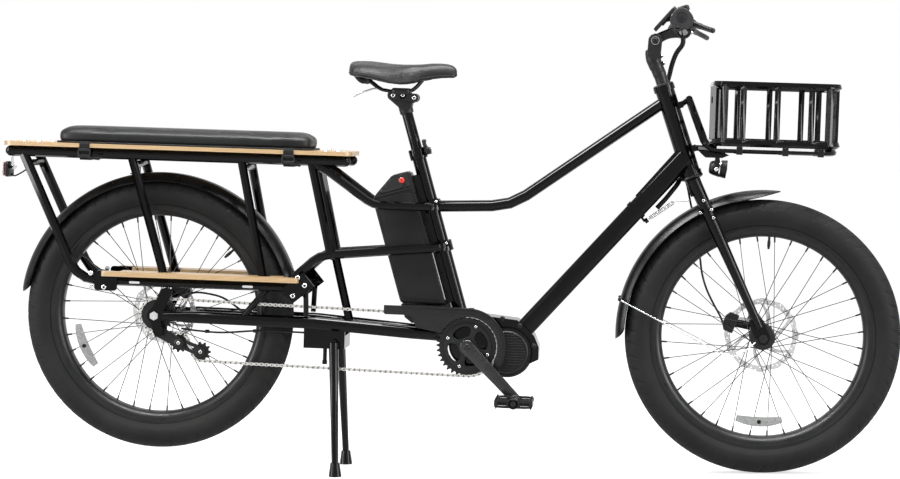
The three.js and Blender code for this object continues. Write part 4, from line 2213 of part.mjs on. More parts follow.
// The least clear distance between turns of a wire, over places at least half a turn apart
function leastGap(stations, wire) {
  let least = Infinity;
  for (let i = 0; i < stations.length; i += 1) {
    for (let j = i + springStepsPerTurn / 2; j < stations.length; j += 1) {
      least = Math.min(least, stations[i].distanceTo(stations[j]) - 2 * wire);
    }
  }
  return least;
}
const springWay = springStations();
piece('steering_spring', pipeAlong(springWay, springWire, 5), silver);
console.log(`steering_spring: least gap to itself ${leastGap(springWay, springWire).toFixed(2)} mm`);

// Cable loom: from under the bar clamp, down the left of the head tube, to the down tube's underside
function cableLoom() {
  const clampUnder = onSteering(barClampForward, loomEndY, barClampAlong);
  const start = clampUnder.clone().add(vec(0, 0, -barClampRadius - touchGap));
  const besideHead = (along) => onSteering(0, loomY, along);
  const underTube = (share) => (
    downTubeFoot.clone().addScaledVector(downTubeRun, downTubeHead.distanceTo(downTubeFoot) * share)
      .addScaledVector(downTubeUp, -downTubeDepth / 2 - loomRadius - touchGap)
      .add(vec(0, loomEndY, 0))
  );
  const path = [
    start, start.clone().add(vec(0, 0, -loomRadius * 3)), besideHead(headTubeHigh + cutOverrun),
    besideHead(downTubeHeadAlong), onSteering(-loomRadius * 4.4, loomY, headTubeLow + loomRadius * 1.6),
    onSteering(-headCollarRadius - loomRadius * 2.4, loomEndY, headTubeLow - loomRadius * 1.8),
    underTube(loomUnderShares[0]), underTube(loomUnderShares[1]),
  ];
  return pipe(path, loomRadius, loomRadius * 4, 7);
}
piece('cable_loom', cableLoom(), blackPlastic);

// Parked pose: the front wheel turned so that a corner of its tyre is lowest, then tilt and rest
frontWheel.rotation.y = headAngle - parkTilt + Math.PI / 2;
level.rotation.y = parkTilt;
bike.updateMatrixWorld(true);
const bounds = new THREE.Box3().setFromObject(level, true);
level.position.set(-mix(bounds.min.x, bounds.max.x, 0.5), 0, -bounds.min.z);
const size = bounds.getSize(vec(0, 0, 0));
const sizeText = [size.x, size.y, size.z].map((length) => length.toFixed(1)).join(' ');
console.log(`size ${sizeText} tilt ${parkTilt.toFixed(5)}`);

export default bike;
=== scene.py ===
"""Looks of the longtail cargo bike. Shapes are given in level millimetres and parked into the frame."""
import math

import bmesh
import bpy
import numpy as np
from mathutils import Matrix, Vector


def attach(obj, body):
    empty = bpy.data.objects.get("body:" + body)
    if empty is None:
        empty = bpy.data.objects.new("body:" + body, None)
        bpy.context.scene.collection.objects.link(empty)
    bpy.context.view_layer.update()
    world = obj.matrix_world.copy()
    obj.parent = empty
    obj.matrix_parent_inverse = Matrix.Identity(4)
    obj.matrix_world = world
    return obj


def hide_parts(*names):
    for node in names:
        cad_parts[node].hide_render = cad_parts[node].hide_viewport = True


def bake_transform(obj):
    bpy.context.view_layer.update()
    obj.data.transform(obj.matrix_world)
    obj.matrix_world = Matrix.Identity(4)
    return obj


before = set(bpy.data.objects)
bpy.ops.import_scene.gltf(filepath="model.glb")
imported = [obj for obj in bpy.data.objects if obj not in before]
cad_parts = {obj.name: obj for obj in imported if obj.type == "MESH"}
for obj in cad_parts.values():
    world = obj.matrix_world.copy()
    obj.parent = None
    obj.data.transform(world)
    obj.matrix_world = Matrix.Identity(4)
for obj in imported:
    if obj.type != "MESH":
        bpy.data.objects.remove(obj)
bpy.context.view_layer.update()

# Frames: the bike drawn level in millimetres, parked nose down, and its two tilted sub-frames
PARK_TURN = 0.0375
PARK_SHIFT = (-3.81593, 0.0, 28.46291)
HEAD_TILT = math.radians(-19.5)
SEAT_TILT = math.radians(-16.9)
LEVEL = Matrix.Scale(0.001, 4) @ Matrix.Translation(PARK_SHIFT) @ Matrix.Rotation(PARK_TURN, 4, "Y")
STEER_ORIGIN = (705.26, 0.0, 330.0)
BRACKET = (47.0, 283.0)
STEER = LEVEL @ Matrix.Translation(STEER_ORIGIN) @ Matrix.Rotation(HEAD_TILT, 4, "Y")
SEAT = LEVEL @ Matrix.Translation((BRACKET[0], 0.0, BRACKET[1])) @ Matrix.Rotation(SEAT_TILT, 4, "Y")
FRONT_AXLE = (753.0, 330.0)
REAR_AXLE = (-715.4, 330.0)
TAU = 2 * math.pi
SIDES = (-1, 1)


# Camera at the photograph's angle
def make_camera():
    place = Vector((0.4824, -5.8431, 0.8647))
    target = Vector((0.0082, 0.0, 0.565))
    ahead = (target - place).normalized()
    right = ahead.cross(Vector((0, 0, 1))).normalized()
    up = right.cross(ahead)
    roll = math.radians(0.335)
    x_axis = right * math.cos(roll) - up * math.sin(roll)
    y_axis = right * math.sin(roll) + up * math.cos(roll)
    turn = Matrix((x_axis, y_axis, -ahead)).transposed().to_4x4()
    data = bpy.data.cameras.new("camera")
    data.lens = 96.64
    data.sensor_width = 36
    data.clip_end = 100
    camera = bpy.data.objects.new("camera", data)
    camera.matrix_world = Matrix.Translation(place) @ turn
    bpy.context.scene.collection.objects.link(camera)
    bpy.context.scene.camera = camera


make_camera()


def new_material(name):
    material = bpy.data.materials.new(name)
    material.use_nodes = True
    tree = material.node_tree
    return material, tree, tree.nodes["Principled BSDF"]


def node(tree, kind, **settings):
    made = tree.nodes.new(kind)
    for key, value in settings.items():
        if key in made.inputs.keys():
            made.inputs[key].default_value = value
        else:
            setattr(made, key, value)
    return made


def set_inputs(made, **values):
    """Sets sockets by name, with _ for a space."""
    for key, value in values.items():
        made.inputs[key.replace("_", " ")].default_value = value


def object_place(tree, made):
    place = node(tree, "ShaderNodeTexCoord")
    tree.links.new(place.outputs["Object"], made.inputs["Vector"])
    return made


def noise(tree, scale, detail=4.0, stretch=(1, 1, 1), turn=0.0):
    mapping = object_place(tree, node(tree, "ShaderNodeMapping", Scale=stretch, Rotation=(0, turn, 0)))
    made = node(tree, "ShaderNodeTexNoise", Scale=scale, Detail=detail)
    tree.links.new(mapping.outputs["Vector"], made.inputs["Vector"])
    return made.outputs["Fac"]


def ramp(tree, source, stops):
    made = node(tree, "ShaderNodeValToRGB")
    elements = made.color_ramp.elements
    while len(elements) < len(stops):
        elements.new(0.5)
    for element, (place, colour) in zip(elements, stops):
        element.position = place
        element.color = (*colour, 1)
    tree.links.new(source, made.inputs["Fac"])
    return made.outputs["Color"]


def spread(tree, source, low, high, start=0.3, end=0.7):
    made = node(tree, "ShaderNodeMapRange")
    set_inputs(made, From_Min=start, From_Max=end, To_Min=low, To_Max=high)
    tree.links.new(source, made.inputs["Value"])
    return made.outputs["Result"]


def bump(tree, shader, height, distance, strength=1.0, under=None):
    made = node(tree, "ShaderNodeBump", Strength=strength, Distance=distance)
    tree.links.new(height, made.inputs["Height"])
    if under is not None:
        tree.links.new(under, made.inputs["Normal"])
    tree.links.new(made.outputs["Normal"], shader.inputs["Normal"])
    return made.outputs["Normal"]


def scaled(colour, share):
    return tuple(min(c * share, 1) for c in colour)


def surface(
    name, colour, rough, metallic=0.0, vary=0.25, patch=30.0, grain=900.0, depth=0.00004, specular=0.5,
    rough_span=0.06,
):
    """Base colour mottled at the scale of patch, with a fine grain in the bump and the roughness."""
    material, tree, shader = new_material(name)
    broad = noise(tree, patch, 6.0)
    fine = noise(tree, grain, 3.0)
    tint = ramp(tree, broad, [(0.32, scaled(colour, 1 - vary)), (0.68, scaled(colour, 1 + vary))])
    tree.links.new(tint, shader.inputs["Base Color"])
    low, high = max(rough - rough_span, 0.02), min(rough + rough_span, 1)
    tree.links.new(spread(tree, broad, low, high), shader.inputs["Roughness"])
    set_inputs(shader, Metallic=metallic, Coat_Roughness=0.06, Specular_IOR_Level=specular)
    bump(tree, shader, fine, depth)
    return material


BLACK = surface(
    "gloss_black", (0.0022, 0.0022, 0.0024), 0.1,
    vary=0.15, grain=260, depth=0.00002, specular=0.15, rough_span=0.03,
)
SATIN = surface(
    "satin_black_metal", (0.011, 0.0112, 0.012), 0.36,
    vary=0.2, grain=2200, depth=0.00003, specular=0.22,
)
MOULDED = surface(
    "black_moulding", (0.0085, 0.0088, 0.009), 0.44,
    vary=0.2, grain=3200, depth=0.00005, specular=0.2,
)
BATTERY = surface(
    "battery_case", (0.008, 0.0082, 0.0085), 0.36,
    vary=0.15, grain=3600, depth=0.00006, specular=0.17,
)
GUARD = surface(
    "mudguard_moulding", (0.007, 0.0072, 0.0075), 0.3,
    vary=0.2, grain=900, depth=0.00004, specular=0.15,
)
SILVER = surface(
    "bright_steel", (0.62, 0.63, 0.64), 0.22, metallic=1.0, vary=0.08, grain=1800, depth=0.00002,
)
BRUSHED = surface(
    "brushed_steel", (0.5, 0.5, 0.5), 0.3, metallic=1.0, vary=0.15, patch=400, grain=1500,
)
CHAIN = surface(
    "chain_plates", (0.5, 0.49, 0.47), 0.3, metallic=1.0, vary=0.3, patch=260, grain=1500,
)
DARK_STEEL = surface(
    "black_oxide_steel", (0.022, 0.022, 0.024), 0.32, metallic=0.6,
    vary=0.2, grain=1500, specular=0.25,
)
FORGED = surface(
    "forged_arm", (0.014, 0.0142, 0.015), 0.27,
    vary=0.2, grain=1600, depth=0.00003, specular=0.4,
)
RUBBER = surface(
    "grip_rubber", (0.012, 0.012, 0.0125), 0.62,
    vary=0.2, grain=2600, depth=0.0001, specular=0.25,
)
CABLE = surface(
    "cable_jacket", (0.007, 0.007, 0.0075), 0.4,
    vary=0.2, grain=1500, depth=0.00003, specular=0.2,
)
BEAD = surface(
    "bead_rubber", (0.003, 0.003, 0.0032), 0.6,
    vary=0.2, grain=1200, depth=0.00005, specular=0.1,
)
GLASS = surface(
    "dark_glass", (0.003, 0.003, 0.0035), 0.07, vary=0.1, grain=90, depth=0.00001,
)
ORANGE = surface(
    "button_moulding", (0.75, 0.035, 0.012), 0.35, vary=0.1, grain=2600, depth=0.00003,
)
WEBBING = surface(
    "strap_webbing", (0.006, 0.006, 0.0065), 0.8,
    vary=0.3, patch=300, grain=2400, depth=0.0003, specular=0.15,
)


def tyre_rubber():
    material, tree, shader = new_material("tyre_rubber_dusty")
    broad = noise(tree, 9.0, 8.0)
    tint = ramp(tree, broad, [
        (0.3, (0.011, 0.0112, 0.0115)), (0.55, (0.017, 0.0172, 0.0172)), (0.75, (0.026, 0.026, 0.025)),
    ])
    tree.links.new(tint, shader.inputs["Base Color"])
    tree.links.new(spread(tree, broad, 0.55, 0.75), shader.inputs["Roughness"])
    set_inputs(shader, Specular_IOR_Level=0.12)
    bump(tree, shader, noise(tree, 700.0, 4.0), 0.00025)
    return material


def vinyl(name, colour, rough=0.42):
    """Soft cover with a pebbled grain over faint stretch marks."""
    material, tree, shader = new_material(name)
    pebble = object_place(tree, node(tree, "ShaderNodeTexVoronoi", Scale=620.0))
    broad = noise(tree, 14.0, 6.0)
    stretched = noise(tree, 60.0, 5.0, stretch=(0.25, 1, 1))
    tint = ramp(tree, broad, [(0.3, scaled(colour, 0.75)), (0.7, scaled(colour, 1.3))])
    tree.links.new(tint, shader.inputs["Base Color"])
    tree.links.new(spread(tree, broad, rough - 0.07, rough + 0.07), shader.inputs["Roughness"])
    set_inputs(shader, Specular_IOR_Level=0.17)
    first = bump(tree, shader, stretched, 0.0012, 0.5)
    bump(tree, shader, pebble.outputs["Distance"], 0.00035, 0.6, under=first)
    return material


def plywood():
    """Face grain along the bike, and plies that show as stripes along a sawn edge."""
    material, tree, shader = new_material("clear_plywood")
    grain = noise(tree, 26.0, 9.0, stretch=(0.16, 2.2, 2.2), turn=-PARK_TURN)
    fine = noise(tree, 190.0, 5.0, stretch=(0.05, 2.5, 2.5), turn=-PARK_TURN)
    face = ramp(tree, grain, [
        (0.25, (0.5, 0.3, 0.13)), (0.48, (0.66, 0.43, 0.2)), (0.75, (0.76, 0.53, 0.28)),
    ])
    shape = node(tree, "ShaderNodeNewGeometry")
    normal = node(tree, "ShaderNodeSeparateXYZ")
    tree.links.new(shape.outputs["Normal"], normal.inputs["Vector"])
    tall = node(tree, "ShaderNodeMath", operation="ABSOLUTE")
    tree.links.new(normal.outputs["Z"], tall.inputs[0])
    level = object_place(tree, node(tree, "ShaderNodeMapping", Rotation=(0, -PARK_TURN, 0)))
    ply = node(tree, "ShaderNodeTexWave", Scale=95.0, Distortion=0.6, bands_direction="Z")
    set_inputs(ply, Detail_Scale=8.0)
    tree.links.new(level.outputs["Vector"], ply.inputs["Vector"])
    sawn = ramp(tree, ply.outputs["Fac"], [(0.3, (0.56, 0.35, 0.16)), (0.7, (0.74, 0.52, 0.28))])
    pick = node(tree, "ShaderNodeMixRGB")
    tree.links.new(spread(tree, tall.outputs["Value"], 0, 1, 0.35, 0.6), pick.inputs["Fac"])
    tree.links.new(sawn, pick.inputs["Color1"])
    tree.links.new(face, pick.inputs["Color2"])
    tree.links.new(pick.outputs["Color"], shader.inputs["Base Color"])
    tree.links.new(spread(tree, fine, 0.32, 0.5), shader.inputs["Roughness"])
    set_inputs(shader, Coat_Weight=0.25, Coat_Roughness=0.2)
    bump(tree, shader, fine, 0.00025)
    return material


def clear_lens(name, colour):
    material, tree, shader = new_material(name)
    cells = object_place(tree, node(tree, "ShaderNodeTexVoronoi", Scale=420.0))
    tint = ramp(tree, cells.outputs["Distance"], [(0.1, colour), (0.7, scaled(colour, 0.55))])
    tree.links.new(tint, shader.inputs["Base Color"])
    set_inputs(shader, Roughness=0.12, Coat_Weight=0.5)
    bump(tree, shader, cells.outputs["Distance"], 0.0006, 0.7)
    return material


TYRE = tyre_rubber()
COVER = vinyl("cushion_cover", (0.01, 0.0102, 0.0105))
SADDLE_COVER = vinyl("saddle_cover", (0.012, 0.0122, 0.0125))
PLYWOOD = plywood()
LENS = clear_lens("lamp_lens", (0.66, 0.64, 0.6))
REFLECTOR = clear_lens("reflector_lens", (0.55, 0.56, 0.55))
AMBER = clear_lens("amber_lens", (0.62, 0.2, 0.02))
TAIL = clear_lens("tail_lens", (0.62, 0.3, 0.27))


# Mesh helpers: a part is (points, faces), in the millimetres of its space
def lerp(a, b, share):
    return a + (b - a) * share


def merge(*parts):
    points, faces = [], []
    for more_points, more_faces in parts:
        start = len(points)
        points.extend(tuple(p) for p in more_points)
        faces.extend(tuple(i + start for i in f) for f in more_faces)
    return points, faces


def on_sides(make):
    """The parts that make(side) gives for the right, -1, and the left, 1."""
    return merge(*[make(side) for side in SIDES])


def shifted(part, x=0.0, y=0.0, z=0.0):
    return [(p[0] + x, p[1] + y, p[2] + z) for p in part[0]], part[1]


def turned(part, angle, axis="Y"):
    turn = Matrix.Rotation(angle, 3, axis)
    return [tuple(turn @ Vector(p)) for p in part[0]], part[1]


def both_sides(part):
    mirrored = [(p[0], -p[1], p[2]) for p in part[0]], [tuple(reversed(f)) for f in part[1]]
    return merge(part, mirrored)


def add_piece(
    name, part, material, body, replaces=None, slot=None, at=(0, 0), space=LEVEL, sharp=38, bevel=0,
):
    """Makes the piece, with at as a shift in x and z."""
    points, faces = shifted(part, x=at[0], z=at[1])
    mesh = bpy.data.meshes.new(name)
    mesh.from_pydata([space @ Vector(p) for p in points], [], faces)
    made = bmesh.new()
    made.from_mesh(mesh)
    bmesh.ops.remove_doubles(made, verts=made.verts, dist=1e-6)
    bmesh.ops.recalc_face_normals(made, faces=made.faces)
    made.to_mesh(mesh)
    made.free()
    mesh.polygons.foreach_set("use_smooth", [True] * len(mesh.polygons))
    mesh.set_sharp_from_angle(angle=math.radians(sharp))
    mesh.materials.append(material)
    piece = bpy.data.objects.new(name, mesh)
    bpy.context.scene.collection.objects.link(piece)
    if bevel:
        rounding = piece.modifiers.new("rounding", "BEVEL")
        rounding.width = bevel * 0.001
        rounding.segments = 2
        rounding.limit_method = "ANGLE"
        rounding.angle_limit = math.radians(40)
        rounding.harden_normals = True
    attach(piece, body)
    if replaces:
        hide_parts(replaces)
    return piece


def bend_between(piece, near, far, start, end):
    """Frees a piece from its body and bakes its place into its mesh. near, far, start and end are not used.
    """
    world = piece.matrix_world.copy()
    piece.parent = None
    piece.matrix_world = world
    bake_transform(piece)


def tube(path, radius, sides=20, caps=True):
    """A round bar along points; radius may be one number for each point."""
    path = [Vector(p) for p in path]
    count = len(path)
    radii = [radius] * count if isinstance(radius, (int, float)) else list(radius)
    points, faces = [], []
    across = None
    for i, at in enumerate(path):
        before, after = path[max(i - 1, 0)], path[min(i + 1, count - 1)]
        into = (at - before).normalized() if i else (after - at).normalized()
        out = (after - at).normalized() if i < count - 1 else into
        along = (into + out).normalized()
        if across is None:
            helper = Vector((0, 1, 0)) if abs(along.y) < 0.9 else Vector((0, 0, 1))
            across = helper - along * helper.dot(along)
        across = (across - along * across.dot(along)).normalized()
        lift = along.cross(across)
        for k in range(sides):
            angle = TAU * k / sides
            points.append(at + (across * math.cos(angle) + lift * math.sin(angle)) * radii[i])
    for i in range(count - 1):
        for k in range(sides):
            a, b = i * sides + k, i * sides + (k + 1) % sides
            faces.append((a, b, b + sides, a + sides))
    if caps:
        faces.append(tuple(range(sides - 1, -1, -1)))
        faces.append(tuple(range((count - 1) * sides, count * sides)))
    return points, faces


def bent(points, bend, step=math.radians(7)):
    """The corner points with their inner corners rounded to a bend radius."""
    points = [Vector(p) for p in points]
    bends = [bend] * len(points) if isinstance(bend, (int, float)) else bend
    path = [points[0]]
    for i in range(1, len(points) - 1):
        into = (points[i] - points[i - 1]).normalized()
        out = (points[i + 1] - points[i]).normalized()
        angle = into.angle(out)
        if angle < 1e-3:
            path.append(points[i])
            continue
        inward = (out - into * into.dot(out)).normalized()
        start = points[i] - into * bends[i] * math.tan(angle / 2)
        steps = max(2, math.ceil(angle / step))
        for k in range(steps + 1):
            swept = angle * k / steps
            path.append(start + into * bends[i] * math.sin(swept) + inward * bends[i] * (1 - math.cos(swept)))
    path.append(points[-1])
    return path


def curve_through(points, steps=6):
    """A smooth line through every point."""
    points = [Vector(p) for p in points]
    ends = [points[0] * 2 - points[1], *points, points[-1] * 2 - points[-2]]
    path = []
    for i in range(1, len(ends) - 2):
        a, b, c, d = ends[i - 1:i + 3]
        for k in range(steps):
            t = k / steps
            path.append(0.5 * (
                2 * b + (c - a) * t + (2 * a - 5 * b + 4 * c - d) * t * t + (3 * b - a - 3 * c + d) * t ** 3
            ))
    path.append(points[-1])
    return path


def swept_faces(rings, count, closed):
    """Faces between rings of count points, the last ring joined to the first where closed."""
    faces = []
    for i in range(rings if closed else rings - 1):
        here, there = i * count, ((i + 1) % rings) * count
        for k in range(count):
            k1 = (k + 1) % count
            faces.append((here + k, here + k1, there + k1, there + k))
    return faces


def lathe(profile, steps=96, centre=(0, 0)):
    """A turned form about Y from a closed outline of (radius, y) pairs, round a centre in X and Z."""
    points = []
    for i in range(steps):
        angle = TAU * i / steps
        for radius, y in profile:
            points.append((centre[0] + radius * math.cos(angle), y, centre[1] + radius * math.sin(angle)))
    return points, swept_faces(steps, len(profile), True)


def knob(stations, centre=(0, 0), steps=32):
    """A turned solid whose ends close on the axis."""
    count = len(stations)
    points, faces = lathe(stations, steps, centre)
    faces = [face for number, face in enumerate(faces) if number % count < count - 1]
    for end in (0, count - 1):
        start = len(points)
        points.append((centre[0], stations[end][1], centre[1]))
        for i in range(steps):
            faces.append((i * count + end, (i + 1) % steps * count + end, start))
    return points, faces


def loft(rings):
    """A solid through rings of as many points each, with both ends closed."""
    count = len(rings[0])
    points = [tuple(p) for ring in rings for p in ring]
    faces = swept_faces(len(rings), count, False)
    faces.append(tuple(range(count - 1, -1, -1)))
    faces.append(tuple(range((len(rings) - 1) * count, len(rings) * count)))
    return points, faces


def plate(outline, low, high, holes=(), bevel=0.0, axis="Y"):
    """A flat plate with holes, drawn in X and Z (axis Y) or X and Y (axis Z), from low to high."""
    data = bpy.data.curves.new("outline", "CURVE")
    data.dimensions = "2D"
    data.fill_mode = "BOTH"
    for loop in [outline, *holes]:
        spline = data.splines.new("POLY")
        spline.points.add(len(loop) - 1)
        for point, (x, z) in zip(spline.points, loop):
            point.co = (x, z, 0, 1)
        spline.use_cyclic_u = True
    data.extrude = (high - low) / 2 - bevel
    data.bevel_depth = bevel
    data.bevel_resolution = 1
    if bevel:
        data.offset = -bevel
    holder = bpy.data.objects.new("outline", data)
    mesh = holder.to_mesh()
    middle = (low + high) / 2
    if axis == "Y":
        points = [(v.co.x, middle - v.co.z, v.co.y) for v in mesh.vertices]
    else:
        points = [(v.co.x, v.co.y, middle + v.co.z) for v in mesh.vertices]
    faces = [tuple(f.vertices) for f in mesh.polygons]
    holder.to_mesh_clear()
    bpy.data.objects.remove(holder)
    bpy.data.curves.remove(data)
    return points, faces


def polar(reach, angle, centre=(0, 0)):
    return centre[0] + reach * math.cos(angle), centre[1] + reach * math.sin(angle)


def circle(x, z, radius, steps=24):
    return [polar(radius, TAU * i / steps, (x, z)) for i in range(steps)]


def oval(half_a, half_b, steps, power, power_b=None):
    """A loop between an ellipse, power 1, and a rectangle, power 0."""
    power_b = power_b or power
    loop = []
    for i in range(steps):
        c, s = math.cos(TAU * i / steps), math.sin(TAU * i / steps)
        across = half_a * math.copysign(abs(c) ** power, c)
        loop.append((across, half_b * math.copysign(abs(s) ** power_b, s)))
    return loop


def rounded(x0, x1, z0, z1, corner, steps=6):
    loop = []
    for cx, cz, start in (
        (x1 - corner, z0 + corner, -0.25), (x1 - corner, z1 - corner, 0.0),
        (x0 + corner, z1 - corner, 0.25), (x0 + corner, z0 + corner, 0.5),
    ):
        loop += [polar(corner, TAU * (start + 0.25 * k / steps), (cx, cz)) for k in range(steps + 1)]
    return loop


def box(x0, x1, y0, y1, z0, z1):
    points = [(x, y, z) for x in (x0, x1) for y in (y0, y1) for z in (z0, z1)]
    faces = [(0, 1, 3, 2), (4, 6, 7, 5), (0, 4, 5, 1), (2, 3, 7, 6), (0, 2, 6, 4), (1, 5, 7, 3)]
    return points, faces


def link_shape(points, radii, low, high, holes=(), bevel=0.6):
    """A plate with two round ends, from low to high in Y."""
    (ax, az), (bx, bz) = points
    heading = math.atan2(bz - az, bx - ax)
    outline = []
    for centre, radius, start in ((points[1], radii[1], -math.pi / 2), (points[0], radii[0], math.pi / 2)):
        outline += [polar(radius, heading + start + math.pi * k / 16, centre) for k in range(17)]
    return plate(outline, low, high, holes, bevel=bevel)


def bolt(x, z, y0, y1, radius):
    """A round-headed socket bolt along Y with its head at y1."""
    sign = 1 if y1 > y0 else -1
    rim = radius * 0.25
    return knob([
        (radius, y0), (radius, y1 - sign * rim), (radius - rim * 0.4, y1 - sign * rim * 0.3),
        (radius - rim, y1),
        (radius * 0.5, y1), (radius * 0.44, y1 - sign * radius * 0.5),
    ], (x, z), 20)


def top_bolt(x, y, z, height, radius):
    """A bolt whose head looks up."""
    return shifted(turned(bolt(0, 0, 0, height, radius), math.radians(90), "X"), x, y, z)


# CAD nodes that stay: smoothed between their facets, with a finish for each
FINISHES = {
    BLACK: (
        "head_tube", "top_tube", "down_tube", "seat_tube", "chainstays", "rack_and_upper_stays", "mid_frame",
        "mid_hoop_rear", "mid_hoop_front", "foot_rail_loop", "motor_shell", "fork", "carrier_frame", "basket",
        "stem", "kickstand",
    ),
    SATIN: (
        "crankset_right", "crank_left", "chain_guard", "handlebar", "brake_lever_left",
        "brake_lever_right", "seatpost", "seat_clamp_lever", "front_caliper", "rear_caliper", "tensioner_arm",
    ),
    MOULDED: (
        "pedal_right", "pedal_left", "motor_unit", "display", "headlight", "rear_light", "guide_pulley",
        "tension_pulley",
    ),
    GUARD: ("rear_mudguard", "front_mudguard"),
    BATTERY: ("battery_pack",),
    DARK_STEEL: ("front_axle", "front_rim", "rear_rim", "front_hub", "rear_hub"),
    BRUSHED: ("front_rotor", "rear_rotor", "rear_cog", "rear_axle"),
    PLYWOOD: ("cargo_deck", "running_board_left", "running_board_right"),
    ORANGE: ("battery_button",),
    CABLE: ("cable_loom",),
    RUBBER: ("grip_left", "grip_right"),
    CHAIN: ("chain", "steering_spring"),
    TYRE: ("front_tyre", "rear_tyre"),
    COVER: ("passenger_cushion", "saddle"),
}


def dress_cad():
    for material, names in FINISHES.items():
        for name in names:
            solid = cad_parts[name]
            solid.data.materials.clear()
            solid.data.materials.append(material)
            solid.data.polygons.foreach_set("use_smooth", [True] * len(solid.data.polygons))
            weld = solid.modifiers.new("weld", "WELD")
            weld.merge_threshold = 0.00001
            split = solid.modifiers.new("creases", "EDGE_SPLIT")
            split.split_angle = math.radians(42)


dress_cad()


# Wheels: treaded tyre, boxed rim, laced spokes with nipples, hub shell and vented rotor
TYRE_RADIUS = 329.6
TYRE_HALF = 36.8
BEAD_RADIUS = 256.0
TREAD_BLOCKS = 62
TREAD_DEPTH = 2.6
RIM_OUTER = 260.0
RIM_INNER = 241.0
RIM_HALF = 26.0
SPOKES = 36
FLANGE = 29.0
BARREL = 15.0


def tyre_part(steps=900):
    """Round carcass with a shallow tread: slanted grooves from the shoulder and two fine ring grooves."""
    middle = (TYRE_RADIUS + BEAD_RADIUS) / 2
    outer = []
    for k in range(37):
        angle = math.pi * (k / 36 - 0.5) * 1.24
        reach = TYRE_RADIUS - middle - 1.5
        outer.append((middle + 1.5 + reach * math.cos(angle), TYRE_HALF * math.sin(angle)))
    inner = [(258.0, 21.0), (262.0, 27.0), (292.0, 31.0), (318.0, 17.0), (323.0, 0.0)]
    inner += [(r, -y) for r, y in reversed(inner[:-1])]
    profile = outer + inner
    points = []
    pitch = TAU / TREAD_BLOCKS
    for i in range(steps):
        angle = TAU * i / steps
        for k, (radius, y) in enumerate(profile):
            share = abs(y) / TYRE_HALF
            if k < len(outer) and radius > middle:
                slant = angle - 0.1 * share + (pitch / 2 if y > 0 else 0)
                groove = (slant % pitch) / pitch < 0.12 and 0.22 < share < 0.95
                ring_groove = 0.16 < share < 0.23 or 0.52 < share < 0.57
                radius += 0.4 * (share < 0.95) - TREAD_DEPTH * (groove or ring_groove)
            points.append((radius * math.cos(angle), y, radius * math.sin(angle)))
    return points, swept_faces(steps, len(profile), True)


def rim_part():
    profile = [
        (BEAD_RADIUS + 3, -RIM_HALF + 2.5), (RIM_OUTER + 2.5, -RIM_HALF + 2),
        (RIM_OUTER + 3, -RIM_HALF + 0.6),
        (RIM_OUTER + 2, -RIM_HALF), (RIM_OUTER - 4, -RIM_HALF), (RIM_INNER + 7, -RIM_HALF + 4),
        (RIM_INNER + 1, -RIM_HALF + 12), (RIM_INNER, -RIM_HALF + 15),
    ]
    profile += [(r, -y) for r, y in reversed(profile)]
    profile += [(250.0, 18.0), (247.0, 9.0), (247.0, -9.0), (250.0, -18.0)]
    return lathe(profile, 180)


def laced(flanges):
    """Spokes that each cross three others, with their nipples."""
    parts = []
    for index in range(SPOKES):
        lean = 1 if index // 2 % 2 else -1
        rim_angle = TAU * (index + 0.5) / SPOKES
        x, z = polar(FLANGE, rim_angle + lean * TAU * 6 / SPOKES)
        start = Vector((x, flanges[index % 2] + 1.6 * lean, z))
        x, z = polar(RIM_INNER, rim_angle)
        end = Vector((x, 4 if index % 2 else -4, z))
        along = (end - start).normalized()
        neck = end - along * 13
        parts.append(tube([start - along * 2, neck], 1.05, 6))
        parts.append(tube([neck, neck + along * 1.5, end + along * 3], [1.2, 2.1, 2.3], 8))
    return merge(*parts)


def hub_shell(flanges, ends):
    low, high = flanges
    return lathe([
        (8.5, ends[0]), (13.0, ends[0]), (13.5, ends[0] + 1), (14.5, low - 5), (FLANGE * 0.72, low - 3.4),
        (FLANGE - 1.2, low - 2.6), (FLANGE + 1.6, low - 1.4), (FLANGE + 1.6, low + 1.4),
        (FLANGE - 1.0, low + 2.6),
        (BARREL + 5, low + 4.5), (BARREL, low + 12), (BARREL - 1, (low + high) / 2), (BARREL, high - 12),
        (BARREL + 5, high - 4.5), (FLANGE - 1.0, high - 2.6), (FLANGE + 1.6, high - 1.4),
        (FLANGE + 1.6, high + 1.4), (FLANGE - 1.2, high + 2.6), (FLANGE * 0.72, high + 3.4), (14.5, high + 5),
        (13.5, ends[1] - 1), (13.0, ends[1]), (8.5, ends[1]),
    ], 48)


def rotor_part(radius, y, band=15.0, arms=6, drilled=48):
    """Steel band with rows of holes on swept arms."""
    inner, foot = radius - band, 27.0
    outline = []
    for i in range(144):
        angle = TAU * i / 144
        outline.append(polar(radius - 1.6 + 1.6 * math.cos(12 * angle), angle))
    holes = []
    for i in range(drilled):
        x, z = polar(inner + band * (0.28, 0.5, 0.74)[i % 3], TAU * i / drilled)
        holes.append(circle(x, z, 2.0, 8))
    for i in range(arms):
        start, after = TAU * i / arms, TAU * (i + 1) / arms
        foot_low, foot_high = start + 0.12, after - 0.12
        head_low, head_high = start + 0.58, after + 0.48
        window = [(inner, lerp(head_low, head_high, k / 8)) for k in range(9)]
        window += [(lerp(inner, foot, k / 6), lerp(head_high, foot_high, k / 6)) for k in range(1, 6)]
        window += [(foot, lerp(foot_high, foot_low, k / 3)) for k in range(4)]
        window += [(lerp(foot, inner, k / 6), lerp(foot_low, head_low, k / 6)) for k in range(1, 6)]
        holes.append([polar(reach, angle) for reach, angle in window])
    holes.append(circle(0, 0, 16, 32))
    return plate(outline, y - 0.95, y + 0.95, holes)


def bead_band(side):
    """The darker ring of a sidewall beside the rim."""
    return lathe([
        (269.5, side * 28.6), (268.0, side * 26.0), (261.0, side * 21.6), (260.4, side * 23.8),
        (264.0, side * 26.4),
    ], 180)


